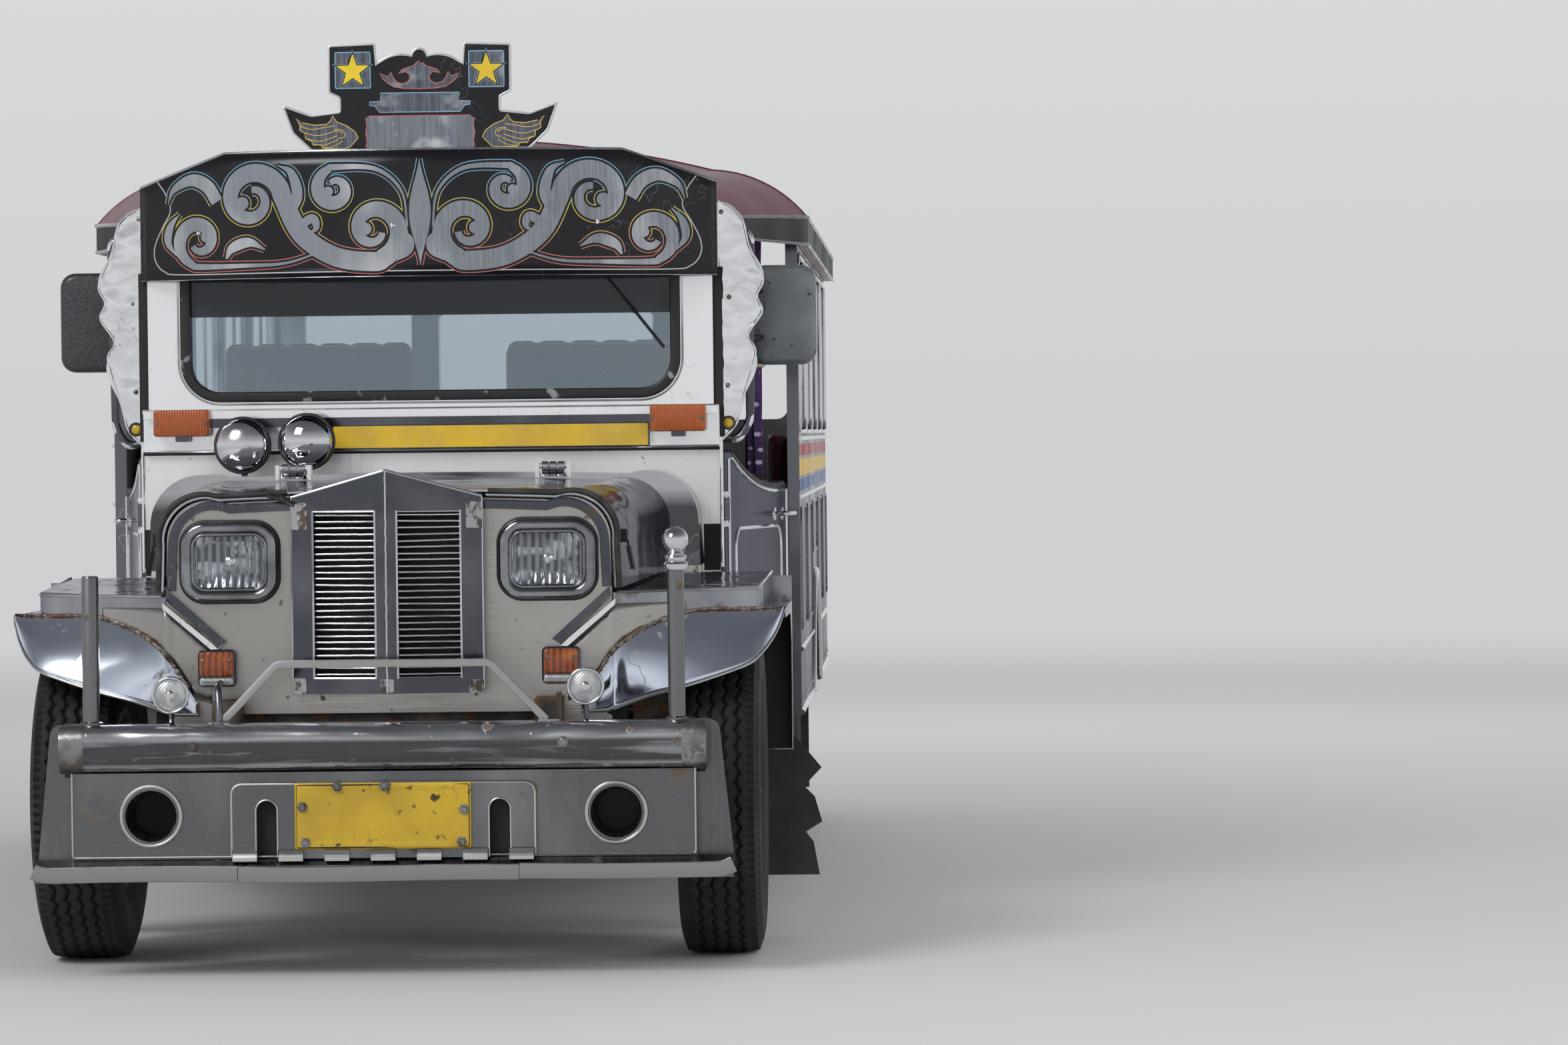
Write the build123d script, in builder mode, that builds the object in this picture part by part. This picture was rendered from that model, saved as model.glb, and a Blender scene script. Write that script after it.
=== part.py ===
from build123d import *
from math import atan2, cos, hypot, sin, sqrt
import os

os.makedirs("parts", exist_ok=True)

# A passenger jeepney with a long rear body. Millimetres, Z up from the ground.
# X points to the vehicle's left and the front faces -Y. Depths run rearwards
# from the bumper's front face, and y_of turns a depth into a Y.
overall_length = 5860
wheelbase = 3300
front_axle_depth = 610
seat_gap = 0.3

# Wheels, 7.00-15 on steel discs.
tyre_radius = 370
tyre_width = 200
rim_flange_radius = 207
rim_seat_radius = 193
rim_width = 156
half_track = 730
kingpin_x = 620
steer_arm_length = 150
drum_radius = 148
spindle_radius = 22
pin_clearance = 0.05

# Ladder frame and floor.
rail_x = 360
rail_width = 60
rail_bottom = 490
rail_height = 120
floor_bottom = 640
floor_thickness = 15

# Front bumper.
beam_half_width = 712
beam_bottom = 457
beam_height = 107
beam_thickness = 124
beam_corner = 40
apron_half_width = 693
apron_bottom = 266
apron_depth = 25
cheek_half_width = 742
lip_half_width = 774
lip_bottom = 218
lip_height = 34
lamp_hole_x = 515
lamp_hole_z = 362
lamp_hole_radius = 62
cone_throat_radius = 45
cone_length = 95
plate_panel_width = 672
plate_panel_top = 431
slot_x = 258
slot_width = 48
slot_top = 396
tab_width = 54
tab_pitch = 102
tab_count = 7
sheet = 4

# Nose, grille and hood.
nose_depth = 221
nose_thickness = 20
nose_bottom = 577
hood_front_depth = 213
hood_rear_depth = 1140
hood_wall = 12
hood_clearance = 6
shell_half_width = 214
shell_bottom = 622
shell_side_top = 1062
shell_peak = 1121
ridge_depth = 150
shell_side_depth = 182
grid_width = 141
grid_bottom = 659
grid_top = 1028
grid_centre_bar = 49
slat_count = 26
slat_thickness = 5
slat_chord = 18
headlamp_x = 357
headlamp_z = 919
bezel_width = 219
bezel_height = 179
lens_width = 179
lens_height = 131
bezel_depth = 30

# Fenders.
fender_front_x = 822
fender_front_depth = 458
fender_front_top = 842
fender_rear_x = 836
fender_rear_depth = 1040
fender_rear_top = 866
fender_flare_x = 875
fender_skirt_x = 883
fender_skirt_bottom = 442
fender_band = 48
fender_wall = 8

# Cowl, windscreen and the boards above it.
cowl_half_width = 703
cowl_depth = 1410
scuttle_half_width = 661
scuttle_top = 1108
firewall_depth = 1150
cowl_top = 1163
panel_thickness = 20
screen_half_width = 629
screen_bottom = 1269
screen_top = 1690
screen_corner = 95
screen_panel_top = 1800
screen_rail_top = 1266
screen_rail_depth = 26
visor_bottom = 1581
visor_top = 1884
visor_end_top = 1808
visor_flat_half_width = 480
visor_centre_depth = 1140
visor_end_depth = 1370
visor_wall = 18
crest_depth = 1176
crest_thickness = 14
crest_top = 2139

# Passenger body.
body_wall = 30
body_front_depth = 2130
body_rear_depth = 5700
body_bottom = 470
belt_height = 1200
window_top = 1650
roof_edge = 1745
fascia_bottom = 1673
roof_shoulder_x = 668
roof_shoulder_z = 1865
roof_crown = 1950
roof_half_width = 905
roof_wall = 26
body_half_width = roof_half_width - roof_wall - seat_gap
pillar_width = 60
window_count = 5
arch_radius = 425
doorway_half_width = 340

# Doors.
door_front_x = 714
door_front_depth = cowl_depth + 7
door_rear_x = 846
door_rear_depth = 2112
door_thickness = 30
door_bottom = 560
door_front_top = 1148
door_rear_top = 1066

# Hinges of the hood and the doors.
hinge_pin_radius = 6
hinge_barrel_radius = 11
hinge_barrel_length = 56
hinge_gap = 5
hood_hinge_x = 312
hood_hinge_depth = 1145
hood_hinge_z = 1122
door_hinge_heights = (640, 1010)


def y_of(depth):
    """The Y of a depth behind the bumper's front face."""
    return depth - overall_length / 2


def front_plane(depth):
    """A plane facing forwards at a depth; its x is X and its y is Z."""
    return Plane.XZ.offset(-y_of(depth))


def side_plane(x):
    """A plane facing +X; its x is Y and its y is Z."""
    return Plane.YZ.offset(x)


def bar(x_range, depth_range, z_range, mode=Mode.ADD):
    """A square-edged bar between two X, two depths and two heights."""
    (x0, x1), (d0, d1), (z0, z1) = x_range, depth_range, z_range
    with Locations(((x0 + x1) / 2, y_of((d0 + d1) / 2), (z0 + z1) / 2)):
        Box(abs(x1 - x0), abs(d1 - d0), abs(z1 - z0), mode=mode)


def rod(start, end, radius, mode=Mode.ADD):
    """A round rod between two points given as X, depth, Z."""
    a = Vector(start[0], y_of(start[1]), start[2])
    b = Vector(end[0], y_of(end[1]), end[2])
    with BuildSketch(Plane(origin=a, z_dir=b - a)) as section:
        Circle(radius)
    extrude(section.sketch, amount=(b - a).length, mode=mode)


def write(builder, name):
    """Label a finished piece and write its STEP file."""
    builder.part.label = name
    export_step(builder.part, f"parts/{name}.step")


rear_axle_depth = front_axle_depth + wheelbase
axle_height = tyre_radius
rail_top = rail_bottom + rail_height
floor_top = floor_bottom + floor_thickness
beam_top = beam_bottom + beam_height

# Chassis frame: two rails and six cross members, welded into one ladder.
cross_depths = (275, 1560, 2250, 3150, 4600, 5625)
outrigger_half_width = 620
rail_end_depth = body_rear_depth - body_wall
with BuildPart() as chassis_frame:
    for side in (-1, 1):
        x = side * rail_x
        rail_sides = (x - rail_width / 2, x + rail_width / 2)
        bar(rail_sides, (beam_thickness, rail_end_depth), (rail_bottom, rail_top))
    for depth in cross_depths:
        bar((-rail_x, rail_x), (depth - 30, depth + 30), (rail_top - 60, rail_top))
        if depth > cowl_depth:
            reach = outrigger_half_width
            bar((-reach, reach), (depth - 20, depth + 20), (rail_top, floor_bottom))
    bar((-rail_x, rail_x), (450, 510), (rail_bottom, rail_bottom + 20))
write(chassis_frame, "chassis_frame")


# Leaf springs: each pack is one profile of concentric leaves with an eye and a
# hanger at both ends, extruded to the leaf's width.
leaf_thickness = 8
leaf_width = 57
leaf_shares = (1.0, 0.82, 0.63, 0.44, 0.26)
spring_table = (  # axle depth, half length, rise, seat height
    (front_axle_depth, 460, 22, 402),
    (rear_axle_depth, 600, 20, 412),
)
with BuildPart() as leaf_springs:
    for axle_depth, half_length, rise, seat in spring_table:
        radius = (half_length**2 + rise**2) / (2 * rise)
        centre_z = seat + (len(leaf_shares) - 1) * leaf_thickness + radius
        for side in (-1, 1):
            with BuildSketch(side_plane(side * rail_x - leaf_width / 2)):
                for index, share in enumerate(leaf_shares):
                    outer = radius + index * leaf_thickness
                    reach = half_length * share
                    inner = outer - leaf_thickness
                    y = y_of(axle_depth)
                    low = centre_z - sqrt(outer**2 - reach**2)
                    high = centre_z - sqrt(inner**2 - reach**2)
                    with BuildLine():
                        ThreePointArc((y - reach, low), (y, centre_z - outer), (y + reach, low))
                        Line((y + reach, low), (y + reach, high))
                        ThreePointArc((y + reach, high), (y, centre_z - inner), (y - reach, high))
                        Line((y - reach, high), (y - reach, low))
                    make_face()
                for end in (-1, 1):
                    eye_y = y_of(axle_depth) + end * half_length
                    eye_z = centre_z - sqrt(radius**2 - half_length**2)
                    with Locations((eye_y, eye_z)):
                        Circle(18)
                    with Locations((eye_y, (eye_z + rail_bottom) / 2)):
                        Rectangle(30, rail_bottom - eye_z)
            extrude(amount=leaf_width)
write(leaf_springs, "leaf_springs")

# Front axle: a beam with a kingpin eye at each end.
eye_radius = 30
eye_half_height = 40
kingpin_radius = 14
with BuildPart() as front_axle:
    with BuildSketch(front_plane(front_axle_depth + 30)):
        with BuildLine():
            Polyline(
                (-kingpin_x, axle_height + 26),
                (-480, axle_height + 30),
                (480, axle_height + 30),
                (kingpin_x, axle_height + 26),
                (kingpin_x, axle_height - 26),
                (480, axle_height - 30),
                (-480, axle_height - 30),
                (-kingpin_x, axle_height - 26),
                close=True,
            )
        make_face()
    extrude(amount=60)
    for side in (-1, 1):
        bottom = (side * kingpin_x, front_axle_depth, axle_height - eye_half_height)
        top = (side * kingpin_x, front_axle_depth, axle_height + eye_half_height)
        rod(bottom, top, eye_radius - 3)
        rod(bottom, top, kingpin_radius + pin_clearance, mode=Mode.SUBTRACT)
        bar((side * 331, side * 389), (front_axle_depth - 50, front_axle_depth + 50), (397, 402))
write(front_axle, "front_axle")


# Steering knuckles: a yoke over the axle eye, the kingpin, a spindle, a brake
# back plate and a steering arm with the tie rod's pin under its end.
yoke_x = kingpin_x + 32
backplate_x = 666
ear_thickness = 24
ear_gap = 2
arm_z = axle_height - eye_half_height - ear_gap - ear_thickness
tie_pin_radius = 9
tie_rod_z = arm_z - 30


def knuckle(side):
    """The left (side 1) or right (side -1) steering knuckle."""
    ear_top = axle_height + eye_half_height + ear_gap
    with BuildPart() as part:
        for low in (arm_z, ear_top):
            rod(
                (side * kingpin_x, front_axle_depth, low),
                (side * kingpin_x, front_axle_depth, low + ear_thickness),
                eye_radius,
            )
            bar(
                (side * kingpin_x, side * backplate_x),
                (front_axle_depth - eye_radius, front_axle_depth + eye_radius),
                (low, low + ear_thickness),
            )
        bar(
            (side * yoke_x, side * backplate_x),
            (front_axle_depth - eye_radius, front_axle_depth + eye_radius),
            (arm_z, ear_top + ear_thickness),
        )
        rod(
            (side * kingpin_x, front_axle_depth, arm_z),
            (side * kingpin_x, front_axle_depth, ear_top + ear_thickness),
            kingpin_radius,
        )
        rod(
            (side * backplate_x, front_axle_depth, axle_height),
            (side * (backplate_x + 6), front_axle_depth, axle_height),
            drum_radius,
        )
        rod(
            (side * backplate_x, front_axle_depth, axle_height),
            (side * (backplate_x + 90), front_axle_depth, axle_height),
            spindle_radius,
        )
        bar(
            (side * (kingpin_x - 16), side * (kingpin_x + 16)),
            (front_axle_depth, front_axle_depth + steer_arm_length),
            (arm_z, arm_z + 20),
        )
        end_depth = front_axle_depth + steer_arm_length
        rod((side * kingpin_x, end_depth, arm_z), (side * kingpin_x, end_depth, arm_z + 20), 18)
        rod((side * kingpin_x, end_depth, tie_rod_z - 14), (side * kingpin_x, end_depth, arm_z), tie_pin_radius)
    return part


write(knuckle(1), "knuckle_left")
write(knuckle(-1), "knuckle_right")

# Tie rod: a tube between two pierced ends that hang on the arms' pins.
tie_depth = front_axle_depth + steer_arm_length
with BuildPart() as tie_rod:
    rod((-kingpin_x, tie_depth, tie_rod_z), (kingpin_x, tie_depth, tie_rod_z), 12)
    for side, clearance in ((1, pin_clearance), (-1, 1.5)):
        low = (side * kingpin_x, tie_depth, tie_rod_z - 13)
        high = (side * kingpin_x, tie_depth, tie_rod_z + 13)
        rod(low, high, 20)
        rod(low, high, tie_pin_radius + clearance, mode=Mode.SUBTRACT)
write(tie_rod, "tie_rod")

# Rear axle: a tube with a round differential and a back plate at each end.
with BuildPart() as rear_axle:
    rod((-backplate_x, rear_axle_depth, axle_height), (backplate_x, rear_axle_depth, axle_height), 40)
    with Locations((0, y_of(rear_axle_depth), axle_height)):
        Sphere(118)
    rod((0, rear_axle_depth - 175, axle_height), (0, rear_axle_depth, axle_height), 48)
    for side in (-1, 1):
        start = (side * backplate_x, rear_axle_depth, axle_height)
        rod(start, (side * (backplate_x + 6), rear_axle_depth, axle_height), drum_radius)
        rod(start, (side * (backplate_x + 90), rear_axle_depth, axle_height), spindle_radius)
        bar((side * 331, side * 389), (rear_axle_depth - 50, rear_axle_depth + 50), (405, 412))
write(rear_axle, "rear_axle")


# Wheels: local x points outwards along the axle and local y is the radius.
drum_inner_x = backplate_x + 11 - half_track
disc_x = 22
hub_end_x = 78


def wheel_plane(side, axle_depth):
    origin = (side * half_track, y_of(axle_depth), axle_height)
    return Plane(origin=origin, x_dir=(side, 0, 0), z_dir=(0, -side, 0))


def spin(side, axle_depth, profile, mode=Mode.ADD):
    """Turn a closed profile of (along the axle, radius) points about the axle."""
    plane = wheel_plane(side, axle_depth)
    with BuildSketch(plane) as section:
        with BuildLine():
            Polyline(*profile, close=True)
        make_face()
    revolve(section.sketch, axis=Axis(plane.origin, (1, 0, 0)), mode=mode)


def tyre(side, axle_depth):
    """A tyre: two bulged sidewalls, square shoulders and a crowned tread."""
    bead = rim_width / 2 - 8
    seat = rim_seat_radius + seat_gap
    half = tyre_width / 2
    shoulder = half - 14
    plane = wheel_plane(side, axle_depth)
    with BuildPart() as part:
        with BuildSketch(plane):
            with BuildLine():
                Line((-bead, seat), (bead, seat))
                Line((bead, seat), (bead, seat + 18))
                ThreePointArc((bead, seat + 18), (half, 285), (shoulder, tyre_radius - 16))
                Line((shoulder, tyre_radius - 16), (shoulder - 6, tyre_radius - 5))
                ThreePointArc(
                    (shoulder - 6, tyre_radius - 5),
                    (0, tyre_radius),
                    (6 - shoulder, tyre_radius - 5),
                )
                Line((6 - shoulder, tyre_radius - 5), (-shoulder, tyre_radius - 16))
                ThreePointArc((-shoulder, tyre_radius - 16), (-half, 285), (-bead, seat + 18))
                Line((-bead, seat + 18), (-bead, seat))
            make_face()
        revolve(axis=Axis(plane.origin, (1, 0, 0)))
    return part


def wheel(side, axle_depth):
    """A steel wheel with its rim, pierced disc, hub and brake drum."""
    edge = rim_width / 2
    seat = rim_seat_radius
    well = 166
    wall = 4
    with BuildPart() as part:
        rim = (
            (-edge, rim_flange_radius),
            (-edge + 7, rim_flange_radius),
            (-edge + 7, seat),
            (-34, seat),
            (-24, well),
            (24, well),
            (34, seat),
            (edge - 7, seat),
            (edge - 7, rim_flange_radius),
            (edge, rim_flange_radius),
            (edge, seat - wall),
            (38, seat - wall),
            (27, well - wall),
            (-27, well - wall),
            (-38, seat - wall),
            (-edge, seat - wall),
        )
        spin(side, axle_depth, rim)
        disc = (
            (disc_x - 8, well - wall / 2),
            (disc_x - 8, 150),
            (disc_x + 14, 128),
            (disc_x + 14, 100),
            (disc_x, 88),
            (disc_x, 60),
            (disc_x - 8, 60),
            (disc_x - 8, 92),
            (disc_x + 6, 104),
            (disc_x + 6, 124),
            (disc_x - 16, 146),
            (disc_x - 16, well - wall / 2),
        )
        spin(side, axle_depth, disc)
        disc_plane = Plane(wheel_plane(side, axle_depth).origin, z_dir=(side, 0, 0))
        with BuildSketch(disc_plane):
            with PolarLocations(138, 8):
                SlotOverall(44, 15, rotation=90)
        extrude(amount=disc_x + 30, mode=Mode.SUBTRACT)
        bore = spindle_radius + pin_clearance
        hub = (
            (drum_inner_x + 22, bore),
            (drum_inner_x + 22, 60),
            (drum_inner_x + 30, 60),
            (drum_inner_x + 30, drum_radius - 12),
            (drum_inner_x, drum_radius - 12),
            (drum_inner_x, drum_radius),
            (disc_x - 22, drum_radius),
            (disc_x - 22, 88),
            (disc_x, 88),
            (disc_x, 60),
            (disc_x + 2, 52),
            (disc_x + 34, 46),
            (disc_x + 34, 34),
            (hub_end_x, 32),
            (hub_end_x, 0),
            (backplate_x + 92 - half_track, 0),
            (backplate_x + 92 - half_track, bore),
        )
        spin(side, axle_depth, hub)
    return part


corners = (  # name, side, axle depth
    ("front_left", 1, front_axle_depth),
    ("front_right", -1, front_axle_depth),
    ("rear_left", 1, rear_axle_depth),
    ("rear_right", -1, rear_axle_depth),
)
for corner, side, axle_depth in corners:
    write(tyre(side, axle_depth), f"tyre_{corner}")
    write(wheel(side, axle_depth), f"wheel_{corner}")

# Engine: one plain block with a mounting lug to each rail.
engine_half_width = 225
engine_front_depth = 360
engine_rear_depth = 1030
engine_top = 930
rail_inner = rail_x - rail_width / 2
with BuildPart() as engine_block:
    bar(
        (-engine_half_width, engine_half_width),
        (engine_front_depth, engine_rear_depth),
        (rail_bottom + 20, engine_top),
    )
    bar((-rail_inner, rail_inner), (640, 720), (550, 590))
write(engine_block, "engine_block")

# Driveline: the gearbox under the floor and the open propeller shaft.
gearbox_rear_depth = 1480
shaft_z = 505
with BuildPart() as driveline:
    bar((-110, 110), (engine_rear_depth, gearbox_rear_depth), (440, rail_top - 4))
    pinion_depth = rear_axle_depth - 175
    rod((0, pinion_depth - 30, axle_height), (0, pinion_depth, axle_height), 46)
    rod((0, gearbox_rear_depth - 10, shaft_z), (0, pinion_depth - 15, axle_height), 32)
write(driveline, "driveline")

# Radiator behind the grille, standing on the front cross member.
radiator_half_width = 205
with BuildPart() as radiator:
    bar((-radiator_half_width, radiator_half_width), (250, 300), (rail_top, 1030))
write(radiator, "radiator")

# Exhaust: a pipe with a muffler, hung under the right rail.
exhaust_x = -430
exhaust_z = 400
with BuildPart() as exhaust:
    with BuildLine():
        FilletPolyline(
            (-engine_half_width, y_of(900), 560),
            (-engine_half_width - 45, y_of(900), 560),
            (-engine_half_width - 45, y_of(1180), exhaust_z),
            (exhaust_x, y_of(1400), exhaust_z),
            (exhaust_x, y_of(3300), exhaust_z),
            radius=40,
        )
    with BuildSketch(Plane(origin=(-engine_half_width, y_of(900), 560), z_dir=(-1, 0, 0))):
        Circle(24)
    sweep()
    rod((exhaust_x, 2300, exhaust_z), (exhaust_x, 2900, exhaust_z), 75)
    bar((exhaust_x - 10, exhaust_x + 10), (2640, 2680), (exhaust_z, floor_bottom))
write(exhaust, "exhaust")

# Fuel tank between the left rail and the body side.
with BuildPart() as fuel_tank:
    bar((430, 640), (2450, 3250), (420, 600))
    for depth in (2600, 3100):
        bar((rail_x + rail_width / 2, 430), (depth - 20, depth + 20), (550, 590))
    fillet(fuel_tank.edges().filter_by(Axis.Y).group_by(Axis.X)[-1], 40)
write(fuel_tank, "fuel_tank")

# Front bumper beam: a wide rounded bar between two capped ends.
with BuildPart() as bumper_beam:
    with BuildSketch(side_plane(-beam_half_width)):
        with Locations((y_of(beam_thickness / 2), beam_bottom + beam_height / 2)):
            RectangleRounded(beam_thickness, beam_height, beam_corner)
    extrude(amount=2 * beam_half_width)
    ends = bumper_beam.faces().filter_by(Axis.X)
    chamfer(ends.edges(), 8)
write(bumper_beam, "bumper_beam")

# Bumper apron: a flared back sheet, the boxed face with its two lamp cones, the
# raised plate panel with slots and a row of tabs, and the folded lip below.
apron_back_depth = 66
plate_panel_depth = 14
lip_depth = -6
with BuildPart() as bumper_apron:
    with BuildSketch(front_plane(apron_back_depth + sheet)) as cheeks:
        with BuildLine():
            Polyline(
                (-lip_half_width, apron_bottom - 16),
                (lip_half_width, apron_bottom - 16),
                (cheek_half_width, beam_top),
                (-cheek_half_width, beam_top),
                close=True,
            )
        make_face()
        fillet(cheeks.vertices().group_by(Axis.Y)[-1], 26)
        with Locations((0, beam_bottom + beam_height / 2)):
            Rectangle(2 * beam_half_width, beam_height + 20, mode=Mode.SUBTRACT)
    extrude(amount=sheet)
    bar((-apron_half_width, apron_half_width), (apron_depth, apron_back_depth), (apron_bottom, beam_bottom))
    inner = apron_half_width - sheet
    bar(
        (-inner, inner),
        (apron_depth + sheet, apron_back_depth + sheet),
        (apron_bottom + sheet, beam_bottom - sheet),
        mode=Mode.SUBTRACT,
    )
    with BuildSketch(front_plane(apron_depth)) as plate_panel:
        with Locations((0, (apron_bottom + plate_panel_top) / 2)):
            Rectangle(plate_panel_width, plate_panel_top - apron_bottom)
        fillet(plate_panel.vertices().group_by(Axis.Y)[-1], 26)
    extrude(amount=apron_depth - plate_panel_depth)
    with BuildSketch(front_plane(apron_back_depth + sheet)):
        for side in (-1, 1):
            with Locations((side * slot_x, (apron_bottom + slot_top) / 2 - 20)):
                SlotOverall(slot_top - apron_bottom + 40, slot_width, rotation=90)
    extrude(amount=apron_back_depth, mode=Mode.SUBTRACT)
    with BuildSketch(side_plane(-lip_half_width)):
        with BuildLine():
            Polyline(
                (y_of(apron_back_depth + sheet), apron_bottom),
                (y_of(apron_depth), apron_bottom),
                (y_of(lip_depth), lip_bottom + lip_height),
                (y_of(lip_depth), lip_bottom),
                (y_of(lip_depth + sheet), lip_bottom),
                (y_of(lip_depth + sheet), lip_bottom + lip_height - sheet),
                (y_of(apron_depth), apron_bottom - sheet),
                (y_of(apron_back_depth + sheet), apron_bottom - sheet),
                close=True,
            )
        make_face()
    extrude(amount=2 * lip_half_width)
    for index in range(tab_count):
        x = (index - (tab_count - 1) / 2) * tab_pitch
        bar(
            (x - tab_width / 2, x + tab_width / 2),
            (plate_panel_depth - 10, plate_panel_depth + 1),
            (apron_bottom - 2, apron_bottom + 19),
        )
    for side in (-1, 1):
        centre = (side * lamp_hole_x, y_of(apron_depth), lamp_hole_z)
        with BuildSketch(Plane(origin=centre, z_dir=(0, 1, 0))):
            Circle(lamp_hole_radius)
        extrude(amount=200, both=True, mode=Mode.SUBTRACT)
        with BuildSketch(Plane(origin=centre, x_dir=(1, 0, 0), z_dir=(0, 0, 1))):
            with BuildLine():
                Polyline(
                    (lamp_hole_radius - 5, -5),
                    (lamp_hole_radius + 8, -5),
                    (lamp_hole_radius + 8, 0),
                    (lamp_hole_radius, 0),
                    (cone_throat_radius + sheet, cone_length),
                    (cone_throat_radius, cone_length),
                    close=True,
                )
            make_face()
        revolve(axis=Axis(centre, (0, 1, 0)))
write(bumper_apron, "bumper_apron")

# Guard tubes on the bumper: two posts, one with a ball, and the flat-bar hoop.
post_x = 650
post_depth = 61
post_radius = 19
post_top = 894
ball_post_top = 915
ball_radius = 29.5
ball_z = 961
hoop_bar = 18
with BuildPart() as bumper_guards:
    rod((-post_x, post_depth, beam_top), (-post_x, post_depth, post_top), post_radius)
    rod((post_x, post_depth, beam_top), (post_x, post_depth, ball_post_top), post_radius)
    rod((post_x, post_depth, ball_post_top), (post_x, post_depth, ball_post_top + 18), 26)
    rod((post_x, post_depth, ball_post_top), (post_x, post_depth, ball_z), 16)
    with Locations((post_x, y_of(post_depth), ball_z)):
        Sphere(ball_radius)
    with BuildSketch(front_plane(post_depth + 3)):
        with BuildLine():
            Polyline(
                (-368, beam_top),
                (-368 + 26, beam_top),
                (-232, 685),
                (232, 685),
                (368 - 26, beam_top),
                (368, beam_top),
                (240, 685 + hoop_bar),
                (-240, 685 + hoop_bar),
                close=True,
            )
        make_face()
    extrude(amount=6)
write(bumper_guards, "bumper_guards")


# The hood's outline seen from the front, half by half: straight sides, a round
# corner and a crowned top. The nose panel's outline is the same, set inwards.
def hood_outline(depth, half_width, side_bottom, corner_z, top_z, corner, inset):
    """A closed arch at a depth, moved inwards by inset, as a sketch."""
    side = half_width - inset
    crown = top_z - inset
    knee_x = side - corner
    knee_z = crown - 8
    with BuildSketch(front_plane(depth)) as arch:
        with BuildLine():
            Line((-side, side_bottom), (side, side_bottom))
            Line((side, side_bottom), (side - 4, corner_z))
            ThreePointArc(
                (side - 4, corner_z),
                (side - corner * 0.22, knee_z - (knee_z - corner_z) * 0.24),
                (knee_x, knee_z),
            )
            ThreePointArc((knee_x, knee_z), (0, crown), (-knee_x, knee_z))
            ThreePointArc(
                (-knee_x, knee_z),
                (corner * 0.22 - side, knee_z - (knee_z - corner_z) * 0.24),
                (4 - side, corner_z),
            )
            Line((4 - side, corner_z), (-side, side_bottom))
        make_face()
    return arch.sketch


hood_front_half = 520
hood_rear_half = 593
hood_front_top = 1077
hood_rear_top = 1096
hood_corner = 132
hood_bottom_front = fender_front_top + 10
hood_bottom_rear = fender_rear_top + 6

# Hood: an arched shell from the nose to the cowl, wider and taller at the rear.
with BuildPart() as hood:
    for inset, drop, mode in ((0, 0, Mode.ADD), (hood_wall, 40, Mode.SUBTRACT)):
        front_arch = hood_outline(
            hood_front_depth - drop / 4,
            hood_front_half,
            hood_bottom_front - drop,
            954,
            hood_front_top,
            hood_corner,
            inset,
        )
        rear_arch = hood_outline(
            hood_rear_depth + drop / 4,
            hood_rear_half,
            hood_bottom_rear - drop,
            966,
            hood_rear_top,
            hood_corner + 20,
            inset,
        )
        loft([front_arch, rear_arch], mode=mode)
    for side in (-1, 1):
        start = (side * hood_hinge_x - hinge_barrel_length / 2, hood_hinge_depth, hood_hinge_z)
        end = (side * hood_hinge_x + hinge_barrel_length / 2, hood_hinge_depth, hood_hinge_z)
        rod(start, end, hinge_barrel_radius)
        bar(
            (start[0], end[0]),
            (hood_hinge_depth - 70, hood_hinge_depth),
            (hood_rear_top - 12, hood_hinge_z - 2),
        )
        rod(start, end, hinge_pin_radius + pin_clearance, mode=Mode.SUBTRACT)
    bar(
        (-hood_rear_half, hood_rear_half),
        (hood_rear_depth, hood_hinge_depth + 20),
        (hood_rear_top - 60, hood_hinge_z - hinge_barrel_radius + 1),
        mode=Mode.SUBTRACT,
    )
write(hood, "hood")

# Nose panel: a flat sheet inside the hood's front edge with shoulders that run
# down to the fenders, a window for the radiator and two diagonal stiffeners.
nose_inset = hood_wall + hood_clearance
arch_points = ((415, 584), (435, 600), (456, 638), (483, 686), (495, 702), (495, 724))
with BuildPart() as nose_panel:
    with BuildSketch(front_plane(nose_depth + nose_thickness)):
        add(hood_outline(
            nose_depth + nose_thickness, hood_front_half, 712, 954, hood_front_top, hood_corner, nose_inset
        ))
    extrude(amount=nose_thickness)
    with BuildSketch(front_plane(nose_depth + nose_thickness)):
        with BuildLine():
            left_edge = [(-x, z) for x, z in arch_points]
            Polyline((415, nose_bottom), *arch_points, *reversed(left_edge), (-415, nose_bottom), close=True)
        make_face()
    extrude(amount=nose_thickness)
    bar(
        (-radiator_half_width + 10, radiator_half_width - 10),
        (nose_depth - 5, nose_depth + nose_thickness + 5),
        (660, 1026),
        mode=Mode.SUBTRACT,
    )
    for side in (-1, 1):
        bar(
            (side * (rail_inner - 1), side * (rail_inner + rail_width + 1)),
            (nose_depth - 5, nose_depth + nose_thickness + 5),
            (nose_bottom - 5, rail_top + 1),
            mode=Mode.SUBTRACT,
        )
        with BuildSketch(front_plane(nose_depth)):
            with BuildLine():
                Polyline(
                    (side * 497, 858),
                    (side * 501, 836),
                    (side * 384, 724),
                    (side * 366, 738),
                    close=True,
                )
            make_face()
        extrude(amount=14)
write(nose_panel, "nose_panel")

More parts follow.
